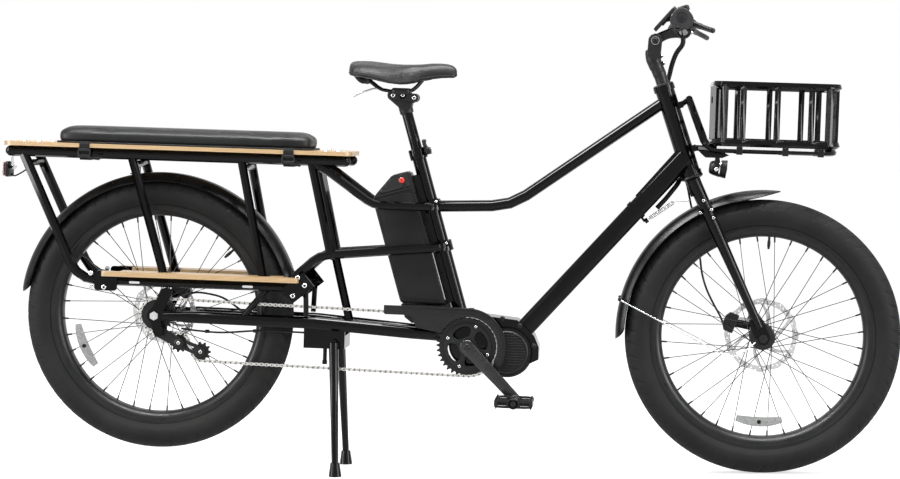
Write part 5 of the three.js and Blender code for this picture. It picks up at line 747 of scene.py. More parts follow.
def wheel(end, axle, flanges, hub_ends, rotor_radius, rotor_y, valve_angle, reflector_angle):
    body = end + "_wheel"

    def fit(name, part, material, replaces=None, sharp=38):
        add_piece(f"{end}_{name}", part, material, body, replaces, at=axle, sharp=sharp)

    fit("tyre_tread", tyre_part(), TYRE, f"{end}_tyre", sharp=32)
    fit("wheel_bead_band", on_sides(bead_band), BEAD)
    fit("rim_box", rim_part(), SATIN, f"{end}_rim")
    fit("rim_edge", lathe([
        (RIM_OUTER + 2.2, -RIM_HALF - 0.5), (RIM_OUTER - 1.6, -RIM_HALF - 0.5),
        (RIM_OUTER - 1.6, -RIM_HALF + 1),
        (RIM_OUTER + 2.2, -RIM_HALF + 1),
    ], 180), DARK_STEEL)
    fit("hub_shell", hub_shell(flanges, hub_ends), SATIN, f"{end}_hub")
    fit("spokes", laced(flanges), DARK_STEEL)
    fit("rotor_band", rotor_part(rotor_radius, rotor_y), BRUSHED, f"{end}_rotor")
    bolts = [bolt(*polar(19.5, TAU * i / 6), rotor_y, rotor_y + 3.4, 3.6) for i in range(6)]
    fit("rotor_bolts", merge(*bolts), DARK_STEEL)
    carrier = lathe([(15.0, rotor_y - 4), (21.0, rotor_y - 4), (22.0, rotor_y - 1), (15.0, rotor_y - 1)], 36)
    fit("rotor_carrier", carrier, SATIN)
    toward = Vector((math.cos(valve_angle), 0, math.sin(valve_angle)))
    stem = tube([toward * r for r in (250, 232, 231, 218, 217, 211)], [3.0, 3.0, 3.9, 3.9, 3.3, 2.6], 12)
    fit("valve", stem, CABLE)
    reflector(fit, reflector_angle, flanges[0] * 0.2)


def reflector(fit, angle, y, mean=206.0, half=0.27, steps=14):
    """Clear spoke reflector: a curved bar clipped between two spokes."""
    outline = []
    for sign, order in ((1, range(steps + 1)), (-1, range(steps, -1, -1))):
        for k in order:
            rise = 11.5 * math.sin(math.pi * lerp(0.12, 0.88, k / steps)) ** 0.5
            outline.append(polar(mean + sign * rise, angle + lerp(-half, half, k / steps)))
    fit("reflector", plate(outline, y - 4.5, y + 1.5, bevel=0.8), REFLECTOR)
    fit("reflector_clip", bolt(*polar(mean, angle), y - 4, y - 7.5, 5.0), MOULDED)


wheel("front", FRONT_AXLE, (-27.0, 27.0), (-49.0, 49.0), 90.0, 38.0, math.radians(88), math.radians(-90))
wheel("rear", REAR_AXLE, (-24.0, 33.0), (-42.0, 66.0), 80.0, 52.0, math.radians(42.5), math.radians(205))


# Soft goods: cushion and saddle are swollen by cloth pressure, then laid on what carries them
def swell(piece, voxel, cap, frames=20, pressure=4.0):
    """Remesh, inflate with cloth pressure and no gravity, and limit how far any point moves."""
    bpy.context.view_layer.objects.active = piece
    for other in bpy.context.selected_objects:
        other.select_set(False)
    piece.select_set(True)
    piece.data.remesh_voxel_size = voxel
    bpy.ops.object.voxel_remesh()
    count = len(piece.data.vertices)
    rest = np.zeros(count * 3)
    piece.data.vertices.foreach_get("co", rest)
    moved = rest.copy()
    cloth = piece.modifiers.new("swell", "CLOTH")
    settings = cloth.settings
    settings.quality = 5
    settings.mass = 0.3
    settings.use_pressure = True
    settings.uniform_pressure_force = pressure
    settings.effector_weights.gravity = 0
    cloth.collision_settings.use_collision = False
    scene = bpy.context.scene
    for number in range(1, frames + 1):
        scene.frame_set(number)
    evaluated = piece.evaluated_get(bpy.context.evaluated_depsgraph_get())
    evaluated.data.vertices.foreach_get("co", moved)
    piece.modifiers.remove(cloth)
    scene.frame_set(1)
    step = (moved - rest).reshape(-1, 3)
    length = np.linalg.norm(step, axis=1)
    share = np.minimum(1.0, cap / np.maximum(length, 1e-9))
    piece.data.vertices.foreach_set("co", (rest.reshape(-1, 3) + step * share[:, None]).ravel())
    piece.data.update()


def keep_within(piece, low, high):
    """Limits the mesh's points to a box in level millimetres."""
    points = np.zeros(len(piece.data.vertices) * 3)
    piece.data.vertices.foreach_get("co", points)
    forth = np.array(LEVEL)
    back = np.array(LEVEL.inverted())
    level = np.clip(points.reshape(-1, 3) @ back[:3, :3].T + back[:3, 3], low, high)
    piece.data.vertices.foreach_set("co", (level @ forth[:3, :3].T + forth[:3, 3]).ravel())
    piece.data.update()


def smooth_once(piece):
    smoothing = piece.modifiers.new("finish", "SUBSURF")
    smoothing.levels = 1
    smoothing.render_levels = 1
    piece.data.polygons.foreach_set("use_smooth", [True] * len(piece.data.polygons))


PAD_MIDDLE = -655.5
PAD_LOW = 742.8
PAD_HEIGHT = 37.0
PAD_REACH = 314.5
PAD_HALF = 86.0
PAD_CORNER = 2 / 7


def pillow_part(levels=20, around=120):
    """A long pad drawn as rings that shrink towards its middle, crowned above and nearly flat below."""
    middle_z = PAD_LOW + PAD_HEIGHT * 0.47
    edge = oval(PAD_REACH, PAD_HALF, around, PAD_CORNER)
    points, faces = [], []
    for sign, power, tall in ((1, 2.6, PAD_HEIGHT * 0.53), (-1, 5.0, PAD_HEIGHT * 0.47)):
        start = len(points)
        for i in range(levels + 1):
            across = math.sin(math.pi / 2 * i / levels)
            inset = (1 - across) * PAD_HALF
            along = (PAD_REACH - inset) / PAD_REACH
            z = middle_z + sign * tall * (1 - max(0.0, 1 - inset / 46.0) ** power) ** (1 / power)
            points += [(PAD_MIDDLE + x * along, y * across, z) for x, y in edge]
        faces += [tuple(start + n for n in face) for face in swept_faces(levels + 1, around, False)]
    return points, faces


def cushion():
    pad = add_piece("cushion_pad", pillow_part(), COVER, "frame", "passenger_cushion")
    swell(pad, 0.005, 0.005)
    keep_within(pad, (-975.5, -93.0, PAD_LOW), (-335.0, 93.0, math.inf))
    smooth_once(pad)
    rim = oval(315.5, 87.5, 160, PAD_CORNER)
    line = [(PAD_MIDDLE + x, y, PAD_LOW + 2.2) for x, y in rim + rim[:2]]
    add_piece("cushion_piping", tube(line, 1.9, 8, caps=False), SADDLE_COVER, "frame")
    outline = [((PAD_MIDDLE + x) * 0.985 + PAD_MIDDLE * 0.015, y * 0.94) for x, y in rim]
    add_piece("cushion_base", plate(outline, 742.35, PAD_LOW + 2, axis="Z"), MOULDED, "frame")


cushion()


def strap(name, x, tail):
    """Webbing that drops from the cushion, passes round deck edge and rail, and ends in a tail."""
    line = [p.yz for p in curve_through([(0, y, z) for y, z in (
        (52, 747), (82, 746.6), (90.5, 745), (94.2, 741.5), (94.4, 735), (93.6, 722), (90.5, 709),
        (84.5, 703.6),
        (76, 703.2), (60, 703.4), (0, 703.4),
    )], 4)]

    def band(side):
        rings = []
        for i, at in enumerate(line):
            along = (line[min(i + 1, len(line) - 1)] - line[max(i - 1, 0)]).normalized()
            out = Vector((along.y, -along.x)) * 0.85
            rings.append([
                (x + reach, side * (at.x + out.x * proud), at.y + out.y * proud)
                for reach, proud in (
                    (-12.5, 1), (-11.3, 1.5), (11.3, 1.5), (12.5, 1), (12.5, -1), (-12.5, -1),
                )
            ])
        return loft(rings)

    add_piece(f"{name}_webbing", on_sides(band), WEBBING, "frame")
    buckle = merge(*[box(x + x0, x + x1, -97.2, -93.6, z0, z1) for x0, x1, z0, z1 in (
        (-15, 15, 708, 716), (-15, 15, 724, 730), (-15, -12.7, 716, 724), (12.7, 15, 716, 724),
    )])
    add_piece(f"{name}_buckle", buckle, MOULDED, "frame", bevel=0.8)
    loose = loft([
        [(x + reach, y, z), (x + reach, y - 1.6, z), (x + reach, y - 1.6, z - 6), (x + reach, y, z - 6)]
        for reach, y, z in ((8, -95.2, 712), (18, -96, 711), (27, -95.5, 709.5), (tail, -94.2, 709))
    ])
    add_piece(f"{name}_tail", loose, WEBBING, "frame")


strap("strap_rear", -893.0, 38.0)
strap("strap_front", -396.0, 30.0)

# Saddle stations along the bike: x, half width, top, lower edge, share of crown
SADDLE = (
    (-262.5, 30, 948, 934, 0.3), (-261, 52, 954.5, 930, 0.35), (-256, 70, 959.2, 926.5, 0.4),
    (-246, 82, 961.4, 925, 0.42), (-228, 89.5, 962, 924, 0.45), (-205, 91, 961, 920, 0.45),
    (-182, 88, 958.8, 915, 0.45), (-162, 79, 956.8, 911, 0.45), (-146, 66, 956, 909.5, 0.45),
    (-130, 54, 956, 910.5, 0.5), (-112, 43, 956.8, 914, 0.5), (-90, 33.5, 958.3, 919, 0.55),
    (-66, 27.5, 960.4, 924, 0.6), (-44, 24.5, 961.6, 927.5, 0.6), (-26, 22.5, 960.6, 928.5, 0.6),
    (-14, 20, 957.5, 928.5, 0.55), (-7, 16.5, 952, 930, 0.5), (-3.5, 11, 946, 933, 0.4),
)


def saddle():
    rings = []
    count = 30
    for x, half, top, edge, crown in SADDLE:
        ring = []
        tall = top - edge
        for k in range(count + 1):
            y = -half * math.cos(math.pi * k / count)
            channel = 2.4 * math.exp(-(y / 9.0) ** 2) if -215 < x < -70 else 0.0
            drop = tall * (1 - (1 - (abs(y) / half) ** (2.2 + 2.2 * crown)) ** (1 / 1.9))
            ring.append((x, y, top - drop - channel))
        inner = half * 0.84
        for y in np.linspace(inner, -inner, 13):
            depth = max(tall * 0.5, 5.0) * (1 - (abs(y) / inner) ** 4)
            ring.append((x, float(y), edge - 1.2 + depth))
        rings.append(ring)
    pad = add_piece("saddle_cover", loft(rings), SADDLE_COVER, "seat", "saddle", sharp=65)
    swell(pad, 0.004, 0.0015, frames=12, pressure=2.0)
    smooth_once(pad)
    seam = on_sides(lambda side: tube(curve_through([
        (x, side * (half * 0.985 + 0.3), lerp(edge, top, 0.13)) for x, half, top, edge, _ in SADDLE[1:-1]
    ], 4), 0.7, 6))
    add_piece("saddle_seam", seam, RUBBER, "seat", slot="seat_cover")
    bumpers = on_sides(lambda side: tube(curve_through([
        (-243, side * 40, 928), (-236, side * 40, 920), (-226, side * 39, 915), (-217, side * 38, 921),
    ], 5), [7.5] * 6 + [8.0] * 6 + [7.5] * 4, 14))
    add_piece("saddle_bumpers", bumpers, MOULDED, "seat")


saddle()

# Chain: outer and inner plates with rollers at true pitch round ring, cog and the two pulleys
PITCH = 12.7
CHAIN_Y = -48.0
GUIDE = (-657.0, 265.0)
TENSION = (-604.0, 244.0)
CHAIN_CIRCLES = [(*REAR_AXLE, 20, -1), (*BRACKET, 36, -1), (*TENSION, 11, -1), (*GUIDE, 11, 1)]


def pitch_radius(teeth):
    return PITCH / (2 * math.sin(math.pi / teeth))


def chain_places():
    """Every link's first pin along the closed loop."""
    tangents = []
    for i, (x0, z0, teeth0, sense0) in enumerate(CHAIN_CIRCLES):
        x1, z1, teeth1, sense1 = CHAIN_CIRCLES[(i + 1) % 4]
        r0, r1 = sense0 * pitch_radius(teeth0), sense1 * pitch_radius(teeth1)
        heading = math.atan2(z1 - z0, x1 - x0) - math.asin((r1 - r0) / math.hypot(x1 - x0, z1 - z0))
        n = (-math.sin(heading), math.cos(heading))
        tangents.append((heading, (x0 - r0 * n[0], z0 - r0 * n[1]), (x1 - r1 * n[0], z1 - r1 * n[1])))
    runs = []
    for i, (heading, start, end) in enumerate(tangents):
        x, z, teeth, sense = CHAIN_CIRCLES[(i + 1) % 4]
        turn = (sense * (tangents[(i + 1) % 4][0] - heading)) % TAU
        runs.append(("line", math.dist(start, end), heading, start))
        runs.append(("arc", pitch_radius(teeth) * turn, heading, (x, z, pitch_radius(teeth), sense)))
    total = sum(run[1] for run in runs)
    count = 2 * round(total / (2 * PITCH))
    places = []
    for i in range(count):
        along = total * i / count
        for kind, length, heading, data in runs:
            if along <= length:
                break
            along -= length
        if kind == "line":
            places.append(polar(along, heading, data))
        else:
            x, z, radius, sense = data
            here = heading + sense * along / radius
            places.append((x + sense * radius * math.sin(here), z - sense * radius * math.cos(here)))
    return places


def link_plate(a, b, y0, y1, waist=0.62, radius=4.1):
    """A figure-of-eight side plate between two pins."""
    heading = math.atan2(b[1] - a[1], b[0] - a[0])
    middle = ((a[0] + b[0]) / 2, (a[1] + b[1]) / 2)
    loop = []
    for centre, start, side in ((b, -118, 1), (a, 62, -1)):
        loop += [polar(radius, heading + math.radians(start + 236 * k / 6), centre) for k in range(7)]
        loop.append(polar(radius * waist, heading + side * math.pi / 2, middle))
    return loft([[(x, y, z) for x, z in loop] for y in (y0, y1)])


def chain():
    places = chain_places()
    plates, rollers = [], []
    thick = 0.85
    for i, here in enumerate(places):
        there = places[(i + 1) % len(places)]
        gap = 2.45 if i % 2 else 1.45
        for side in SIDES:
            y0 = CHAIN_Y + side * gap
            plates.append(link_plate(here, there, y0, y0 + side * thick))
        rollers.append(shifted(knob(
            [(1.9, -3.4), (1.9, -2.4), (3.4, -1.3), (3.7, 0), (3.4, 1.3), (1.9, 2.4), (1.9, 3.4)], steps=10,
        ), here[0], CHAIN_Y, here[1]))
    add_piece("chain_plates", merge(*plates), CHAIN, "frame", "chain", sharp=35)
    add_piece("chain_rollers", merge(*rollers), DARK_STEEL, "frame", slot="chain_steel")


chain()


# Stabiliser spring: the CAD's path with a rounder wire, from the frame to the fork crown
def on_steering(forward, y, along):
    return Vector(STEER_ORIGIN) + Matrix.Rotation(HEAD_TILT, 3, "Y") @ Vector((forward, y, along))


def spring(turns=17, radius=5.0, wire=0.95, steps=16):
    rear, finish = Vector((469, 0, 602)), Vector((531, 0, 647))
    line = (finish - rear).normalized()
    side = Vector((0, 1, 0))
    lift = line.cross(side)
    path = [rear + line * 0.5, rear + line * 1.7]
    lead = rear + line * 2.9
    total = turns * steps
    for i in range(total + 1):
        angle = TAU * turns * i / total
        reach = radius * min(1.0, min(i, total - i) / steps)
        path.append(lead.lerp(finish, i / total) + (side * math.sin(angle) + lift * math.cos(angle)) * reach)
    forward = on_steering(1, 0, 0) - Vector(STEER_ORIGIN)
    crown = on_steering(-21.6, 0, 349)
    path += [crown - forward * 10, crown - forward * 4, crown - forward * 0.2]
    piece = add_piece("stabiliser_spring", tube(path, wire, 8), SILVER, "frame", "steering_spring")
    bend_between(piece, "frame", "fork", rear, crown)


spring()


# Drive: chainring, crank arms, pedals, motor cover and chain guard
CRANK_ANGLE = math.radians(-44.7)
CRANK_LENGTH = 170.0
CRANK_WIDE = 18.0
CRANK_SLIM = 12.8
SHELL_BOLTS = ((95, 352), (171, 336), (206, 288), (128, 352))


def rounded_window(inner, outer, middle, half):
    return [
        polar((inner + outer) / 2 + out, middle + turn)
        for turn, out in oval(half, (outer - inner) / 2, 28, 0.6)
    ]


def sprocket(teeth, y0, y1, holes, depth=3.9, tip=3.3):
    radius = pitch_radius(teeth)
    outline = []
    for i in range(teeth):
        for share, reach in (
            (-0.5, -depth), (-0.36, -depth + 0.5), (-0.25, -1.6), (-0.13, tip - 0.6), (-0.06, tip),
            (0.06, tip),
            (0.13, tip - 0.6), (0.25, -1.6), (0.36, -depth + 0.5),
        ):
            outline.append(polar(radius + reach, TAU * (i + share) / teeth))
    return plate(outline, y0, y1, holes)


def crank_arm(side, angle):
    """A forged arm with round ends, its faces slightly crowned."""
    along = Vector((math.cos(angle), 0, math.sin(angle)))
    across = Vector((-math.sin(angle), 0, math.cos(angle)))
    stations = [-CRANK_WIDE * math.cos(math.pi / 2 * k / 7) for k in range(7)]
    stations += [0, 20, 45, 75, 105, 135, 158, CRANK_LENGTH]
    stations += [CRANK_LENGTH + CRANK_SLIM * math.sin(math.pi / 2 * k / 6) for k in range(1, 7)]
    rings = []
    for s in stations:
        share = min(max(s / CRANK_LENGTH, 0), 1)
        half = lerp(CRANK_WIDE, CRANK_SLIM, share ** 0.6)
        beyond = s - share * CRANK_LENGTH
        half = math.sqrt(max(half ** 2 - beyond ** 2, 0.4))
        y = side * lerp(72, 82, share * share * (3 - 2 * share))
        rings.append([
            along * s + across * reach + Vector((0, y + thick * (1 - 0.14 * (reach / half) ** 2), 0))
            for reach, thick in oval(half, 6.4, 24, 0.55, 0.5)
        ])
    return loft(rings)


def cranks():
    def fit(name, part, material, replaces=None):
        add_piece(name, part, material, "cranks", replaces, at=BRACKET)

    bolt_turns = [CRANK_ANGLE + math.radians(114 + 90 * i) for i in range(4)]
    ring = sprocket(36, -49.1, -46.9, [circle(0, 0, 50, 64)])
    windows = [rounded_window(22, 49, turn + math.radians(45), math.radians(34)) for turn in bolt_turns]
    spider = plate(circle(0, 0, 57, 96), -54.4, -49.4, windows + [circle(0, 0, 10.5, 32)], bevel=0.8)
    fit("chainring", merge(ring, spider), SATIN, "crankset_right")
    fit("chainring_bolts", merge(*[bolt(*polar(52, turn), -54.2, -56.2, 3.7) for turn in bolt_turns]), SILVER)
    boss = knob([(17, -54), (18.5, -57), (17.5, -66), (16, -68)], steps=40)
    spindle = knob([(10.6, -52), (10.6, -45), (10.6, -40.5)], steps=24)
    fit("crank_arm_right", merge(crank_arm(-1, CRANK_ANGLE), boss, spindle), FORGED)
    boss = knob([(16, 52.5), (17, 56), (17, 68)], steps=40)
    fit("crank_arm_left", merge(crank_arm(1, CRANK_ANGLE + math.pi), boss), FORGED, "crank_left")

    def caps(side):
        tip = polar(CRANK_LENGTH, CRANK_ANGLE + (math.pi if side > 0 else 0))
        axle = knob([(6.5, side * 87.5), (6.5, side * 92), (4.6, side * 92.4), (4.6, side * 96)], tip, 20)
        return merge(bolt(0, 0, side * 77, side * 79.6, 8.2), bolt(*tip, side * 75.8, side * 74.6, 5.0), axle)

    fit("crank_bolts", on_sides(caps), DARK_STEEL)


cranks()


def pedal(name, side, angle):
    centre = polar(CRANK_LENGTH, angle, BRACKET)
    near, far = side * 94.2, side * 187.2
    low, high = min(near, far), max(near, far)
    parts = [knob([
        (11, near), (12.6, near + side * 1.2), (12.6, near + side * 7), (9.4, near + side * 9),
        (9, far - side * 9), (12.6, far - side * 7), (12.6, far - side * 1.2), (11, far),
    ], steps=36)]
    outline = oval(45.5, 10.2, 48, 0.35, 0.45)
    slots = [rounded(start, end, -4.6, 4.6, 2.5) for start, end in ((-38, -15), (15, 38))]
    parts += [plate(outline, y, y + 5, slots, bevel=0.9) for y in (low, high - 5)]
    parts += [box(start, start + 8, low + 1, high - 1, -8.2, 8.2) for start in (-45, 37)]
    for share in (0.27, 0.5, 0.73):
        y = lerp(near, far, share)
        parts.append(box(-40, 40, y - 2.2, y + 2.2, -6.5, 6.5))
    for start in (-45, 37):
        for k in range(9):
            y = lerp(near, far, 0.09 + 0.82 * k / 8)
            parts.append(box(start + 2.4, start + 5.6, y - 1.4, y + 1.4, -12.6, 12.6))
    add_piece(name, merge(*parts), MOULDED, name, name, at=centre)
    cap = knob([(7.5, far - side * 1), (7.5, far + side * 0.1), (4, far + side * 0.3)], steps=24)
    add_piece(f"{name}_cap", cap, DARK_STEEL, name, at=centre)
    marks = [box(start, start + 3, low + 24, high - 24, -3.6, 3.6) for start in (-45.6, 42.6)]
    add_piece(f"{name}_reflectors", merge(*marks), AMBER, name, at=centre)


pedal("pedal_right", -1, CRANK_ANGLE)
pedal("pedal_left", 1, CRANK_ANGLE + math.pi)


def motor():
    centre = (141, 271)
    drum = knob([
        (52, 45.6), (58, 45.4), (61.4, 43), (62, 40), (62, -28), (61.4, -31.5), (58.5, -33.6), (53.5, -34),
        (52.6, -36), (51.8, -39.5), (49.2, -41.2), (47.0, -40.4), (46.4, -38.4),
    ], steps=96)
    add_piece("motor_drum", drum, MOULDED, "frame", "motor_unit", at=centre)
    fins = []
    for k in range(14):
        height = lerp(-42, 42, k / 13)
        reach = math.sqrt(46.8 ** 2 - height ** 2)
        fins.append(box(-reach, reach, -41.6, -38, height - 1.25, height + 1.25))
    add_piece("motor_fins", merge(*fins), MOULDED, "frame", at=centre, bevel=0.5)
    band = lathe([
        (10.8, -41.2), (30, -41.2), (32, -40.2), (44, -39.8), (50, -38.6), (51.5, -36), (51.5, -30),
        (10.8, -30),
    ], 64)
    centre = (BRACKET[0] + 4, BRACKET[1] + 1)
    add_piece("motor_boss_ring", band, BLACK, "frame", slot="satin_black", at=centre)
    studs = []
    for x, z in SHELL_BOLTS:
        studs += [knob([(6.5, -38.6), (6.5, -40.5), (5.8, -41.2)], (x, z), 24), bolt(x, z, -41, -43.6, 4.2)]
    add_piece("motor_shell_bolts", merge(*studs), DARK_STEEL, "frame")


motor()


def chain_guard(radius=93.0, opening=71.5, rear=-158.0):
    end = math.radians(-27)
    top, low = BRACKET[1] + radius, BRACKET[1] + radius - 22

    def arc(reach, last=end, first=math.pi / 2, steps=40):
        return [polar(reach, lerp(first, last, k / steps), BRACKET) for k in range(steps + 1)]

    def strip(high, wide, last, start, y0, y1, bevel):
        """A raised line under the guard's edge."""
        outline = [(start, top - high), *arc(radius - high, last)]
        outline += [*reversed(arc(radius - high - wide, last)), (start, top - high - wide)]
        return plate(outline, y0, y1, bevel=bevel)

    nose = [polar(9.5, end - math.pi * k / 12, polar(83.5, end, BRACKET)) for k in range(1, 12)]
    outline = [(rear, low + 3), (rear, top - 3), (rear + 3, top), *arc(radius), *nose]
    outline += arc(opening, math.pi * 0.86, end)
    x = BRACKET[0]
    outline += [(x - radius * 1.35, BRACKET[1] + radius * 0.45), (x - radius * 1.5, low), (rear + 3, low)]
    shell = merge(
        plate(outline, -63.4, -60.6, bevel=0.7),
        strip(0.6, 2.8, end, rear + 1, -65.2, -63.0, 0.6),
        strip(9.5, 2.0, math.radians(4), rear + 6, -64.2, -63.0, 0.4),
        box(rear, x, -63, -53.2, top - 3, top - 0.2),
        box(x, x + 12, -63, -39.4, top - 3, top - 0.2),
        box(x, x + 12, -42.3, -39.4, top - 31, top - 0.2),
    )
    add_piece("chain_guard_shell", shell, SATIN, "frame", "chain_guard")


chain_guard()


# Rear gears: sprocket pack, tensioner cage and pulleys
def gears():
    bore = circle(0, 0, 13, 32)
    windows = [rounded_window(20, 31, TAU * i / 5, math.radians(25)) for i in range(5)]
    pack = merge(
        sprocket(20, -49.0, -47.2, [bore, *windows]), sprocket(17, -52.6, -50.9, [bore]),
        lathe([(9.2, -55.6), (15.5, -55.6), (17, -54.4), (17, -39.4), (9.2, -39.4)], 40),
    )
    add_piece("rear_sprockets", pack, DARK_STEEL, "cog", "rear_cog", slot="silver", at=REAR_AXLE)


gears()


def tensioner():
    pivot = (-706, 290)
    slot = [
        (lerp(GUIDE[0], TENSION[0], s) - n * 0.37 * 4.2, lerp(GUIDE[1], TENSION[1], s) - n * 0.93 * 4.2)
        for s, n in ((0.3, 1), (0.68, 1), (0.72, 0), (0.68, -1), (0.3, -1), (0.26, 0))
    ]
    cage = merge(
        link_shape((pivot, GUIDE), (13.5, 12.5), -62.5, -56.5),
        knob([(11, -56.5), (11, -64.5), (9.5, -66)], pivot),
        knob([(10.5, -62), (10.5, -65), (9, -66)], GUIDE),
        link_shape((GUIDE, TENSION), (12, 12), -55.6, -53.4, [slot]),
        link_shape((GUIDE, TENSION), (11, 11), -42.6, -40.4, [slot]),
    )
    add_piece("tensioner_cage", cage, SATIN, "tensioner", "tensioner_arm")
    screws = merge(
        bolt(*GUIDE, -55, -68, 4.4), bolt(*TENSION, -55, -57.4, 4.4), bolt(*pivot, -65, -68, 6.2),
    )
    add_piece("tensioner_bolts", screws, BRUSHED, "tensioner")
    pulley = merge(
        sprocket(11, -51.0, -45.0, [circle(0, 0, 3.8, 20)], depth=3.6, tip=2.2),
        lathe([(3.8, -52.6), (9, -52.6), (9.5, -51), (9.5, -45), (9, -43.4), (3.8, -43.4)], 28),
    )
    for name, centre in (("guide_pulley", GUIDE), ("tension_pulley", TENSION)):
        add_piece(f"{name}_wheel", pulley, MOULDED, name, name, at=centre)


tensioner()


# Cockpit, in the steering frame: bar, grips, levers, stem, display and headset
def upright(stations, x, z):
    """A turned solid about the steering or seat axis, from (radius, height) stations above z."""
    return shifted(turned(knob([(r, -h) for r, h in stations], steps=48), math.radians(-90), "X"), x, 0, z)


def fore_bolt(x, y, z, reach, length, radius):
    """A bolt whose head looks forward."""
    return shifted(turned(bolt(0, 0, reach, reach + length, radius), -math.radians(90), "Z"), x, y, z)


def cockpit_piece(name, part, material, body="handlebar", replaces=None, **more):
    add_piece(name, part, material, body, replaces, space=STEER, **more)


def bar_and_stem():
    path = bent([
        (83, -322, 764), (87, -150, 763.7), (85, -32, 742.5), (85, 32, 742.5), (87, 150, 763.7),
        (83, 322, 764),
    ], 55.0, math.radians(5))
    radii = [lerp(11.3, 15.4, min(1, max(0, (70 - abs(p.y)) / 40))) for p in path]
    cockpit_piece("bar_tube", tube(path, radii, 28), BLACK, replaces="handlebar")
    arm = []
    for k in range(13):
        share = k / 12
        x = lerp(14, 76, share)
        z = lerp(740, 742, share) + 5 * math.sin(math.pi * share)
        half_z = lerp(14, 15.5, share) - 3 * math.sin(math.pi * share)
        arm.append([(x, y, z + lift) for y, lift in oval(lerp(13.6, 17, share ** 1.5), half_z, 28, 0.6)])
    barrel = knob([(17.5, -22.5), (19.5, -21), (19.5, 21), (17.5, 22.5)], (85, 742), 44)
    eye = knob([(12, -14), (13.8, -13.2), (13.8, 13.2), (12, 14)], (14, 740), 36)
    cockpit_piece("stem_arm", merge(loft(arm), barrel, eye), SATIN, sharp=50)
    face = [fore_bolt(85, side * 14, 742 + drop, 16, 4, 3.7) for side in SIDES for drop in (-10.5, 10.5)]
    cockpit_piece("faceplate_bolts", merge(*face), SILVER)
    elbow = tube(
        curve_through([
            (0, 0, 636.8), (0, 0, 655), (-1.5, 0, 675), (-3.5, 0, 692), (-2, 0, 708), (3, 0, 719),
        ], 5),
        [15.2] * 6 + [16.2] * 5 + [17.2] * 5 + [18.2] * 5 + [18.8] * 4 + [13], 32,
    )
    ears = [
        link_shape(((2, 712), (14, 740)), (16.5, 16.8), low, low + 8.1, bevel=1.4) for low in (-22.5, 14.4)
    ]
    cockpit_piece("stem_column", merge(elbow, *ears), SATIN, "fork", "stem", sharp=50)
    rings = on_sides(lambda side: lathe(
        [(8.9, side * 22), (9.7, side * 22), (9.7, side * 23), (8.9, side * 23)], 36, (14, 740),
    ))
    cockpit_piece("stem_pivot_rings", rings, SILVER, "fork")
    pins = on_sides(lambda side: bolt(14, 740, side * 21.5, side * 24.0, 6.2))
    cockpit_piece("stem_pivot_bolts", pins, DARK_STEEL, "fork")
    clamps = (683, 701)
    pinch = [fore_bolt(0, 0, z, 15, 6.5, 3.9) for z in clamps]
    cockpit_piece("stem_clamp_bolts", merge(*pinch), SILVER, "fork")
    lugs = merge(*[box(6, 18, -6, 6, z - 5, z + 5) for z in clamps])
    cockpit_piece("stem_clamp_lugs", lugs, SATIN, "fork", bevel=1.5)
    cups = merge(
        upright([(23.2, 0), (25.2, 1.0), (25.2, 3.6), (21.5, 5.6), (16.4, 6.4)], 0, 630),
        upright([(20, -7.6), (24, -7.4), (26.8, -5), (26.8, -1), (26.2, 0)], 0, 404),
    )
    cockpit_piece("headset_cups", cups, SATIN, "frame")


bar_and_stem()


def grip(name, side):
    """Ribbed rubber that swells to a wide palm rest, drawn to a rounded edge behind the bar."""
    rings = []
    for k in range(41):
        share = k / 40
        y = side * lerp(194.4, 322.4, share)
        fan = math.sin(math.pi / 2 * min(1, max(0, (share - 0.18) / 0.6))) ** 1.6
        radius = 16.4 + (0.7 if k % 2 and 4 < k < 22 else 0.0) + (2.2 if share < 0.04 else 0)
        ring = []
        for i in range(56):
            turn = TAU * i / 56
            down = max(0.0, math.cos(turn - math.radians(-62))) ** 2
            back = max(0.0, math.cos(turn - math.radians(186))) ** 9
            reach = radius + fan * (5.2 + 8.5 * down + 7.5 * back) - 1.6 * (k in (0, 40))
            x, z = polar(reach, turn, (lerp(84.6, 83.0, share), 763.9))
            ring.append((x, y, z))
        rings.append(ring)
    cockpit_piece(f"{name}_body", loft(rings), RUBBER, replaces=name, sharp=60)
    plug = knob([
        (12.5, side * 322.2), (12.5, side * 322.8), (10.6, side * 322.9), (9.8, side * 322.5),
        (7.2, side * 322.5), (6.4, side * 322.9), (0.8, side * 322.9),
    ], (83, 764), 36)
    collar = knob([
        (16.4, side * 188.5), (17.4, side * 189.4), (17.4, side * 193.2), (16.4, side * 194),
    ], (84.7, 764), 36)
    cockpit_piece(f"{name}_ends", merge(plug, collar), DARK_STEEL)


grip("grip_right", -1)
grip("grip_left", 1)

LEVER_DROP = math.radians(-41.3)
BAR_CENTRE = (86.4, 763.7)


def on_lever(reach, y, lift=0.0):
    """A point in front of the bar along the levers' plane."""
    x, z = polar(reach, LEVER_DROP, BAR_CENTRE)
    return x - lift * math.sin(LEVER_DROP), y, z + lift * math.cos(LEVER_DROP)


def lever_line(side, points, steps):
    return curve_through([on_lever(reach, side * y) for reach, y in points], steps)


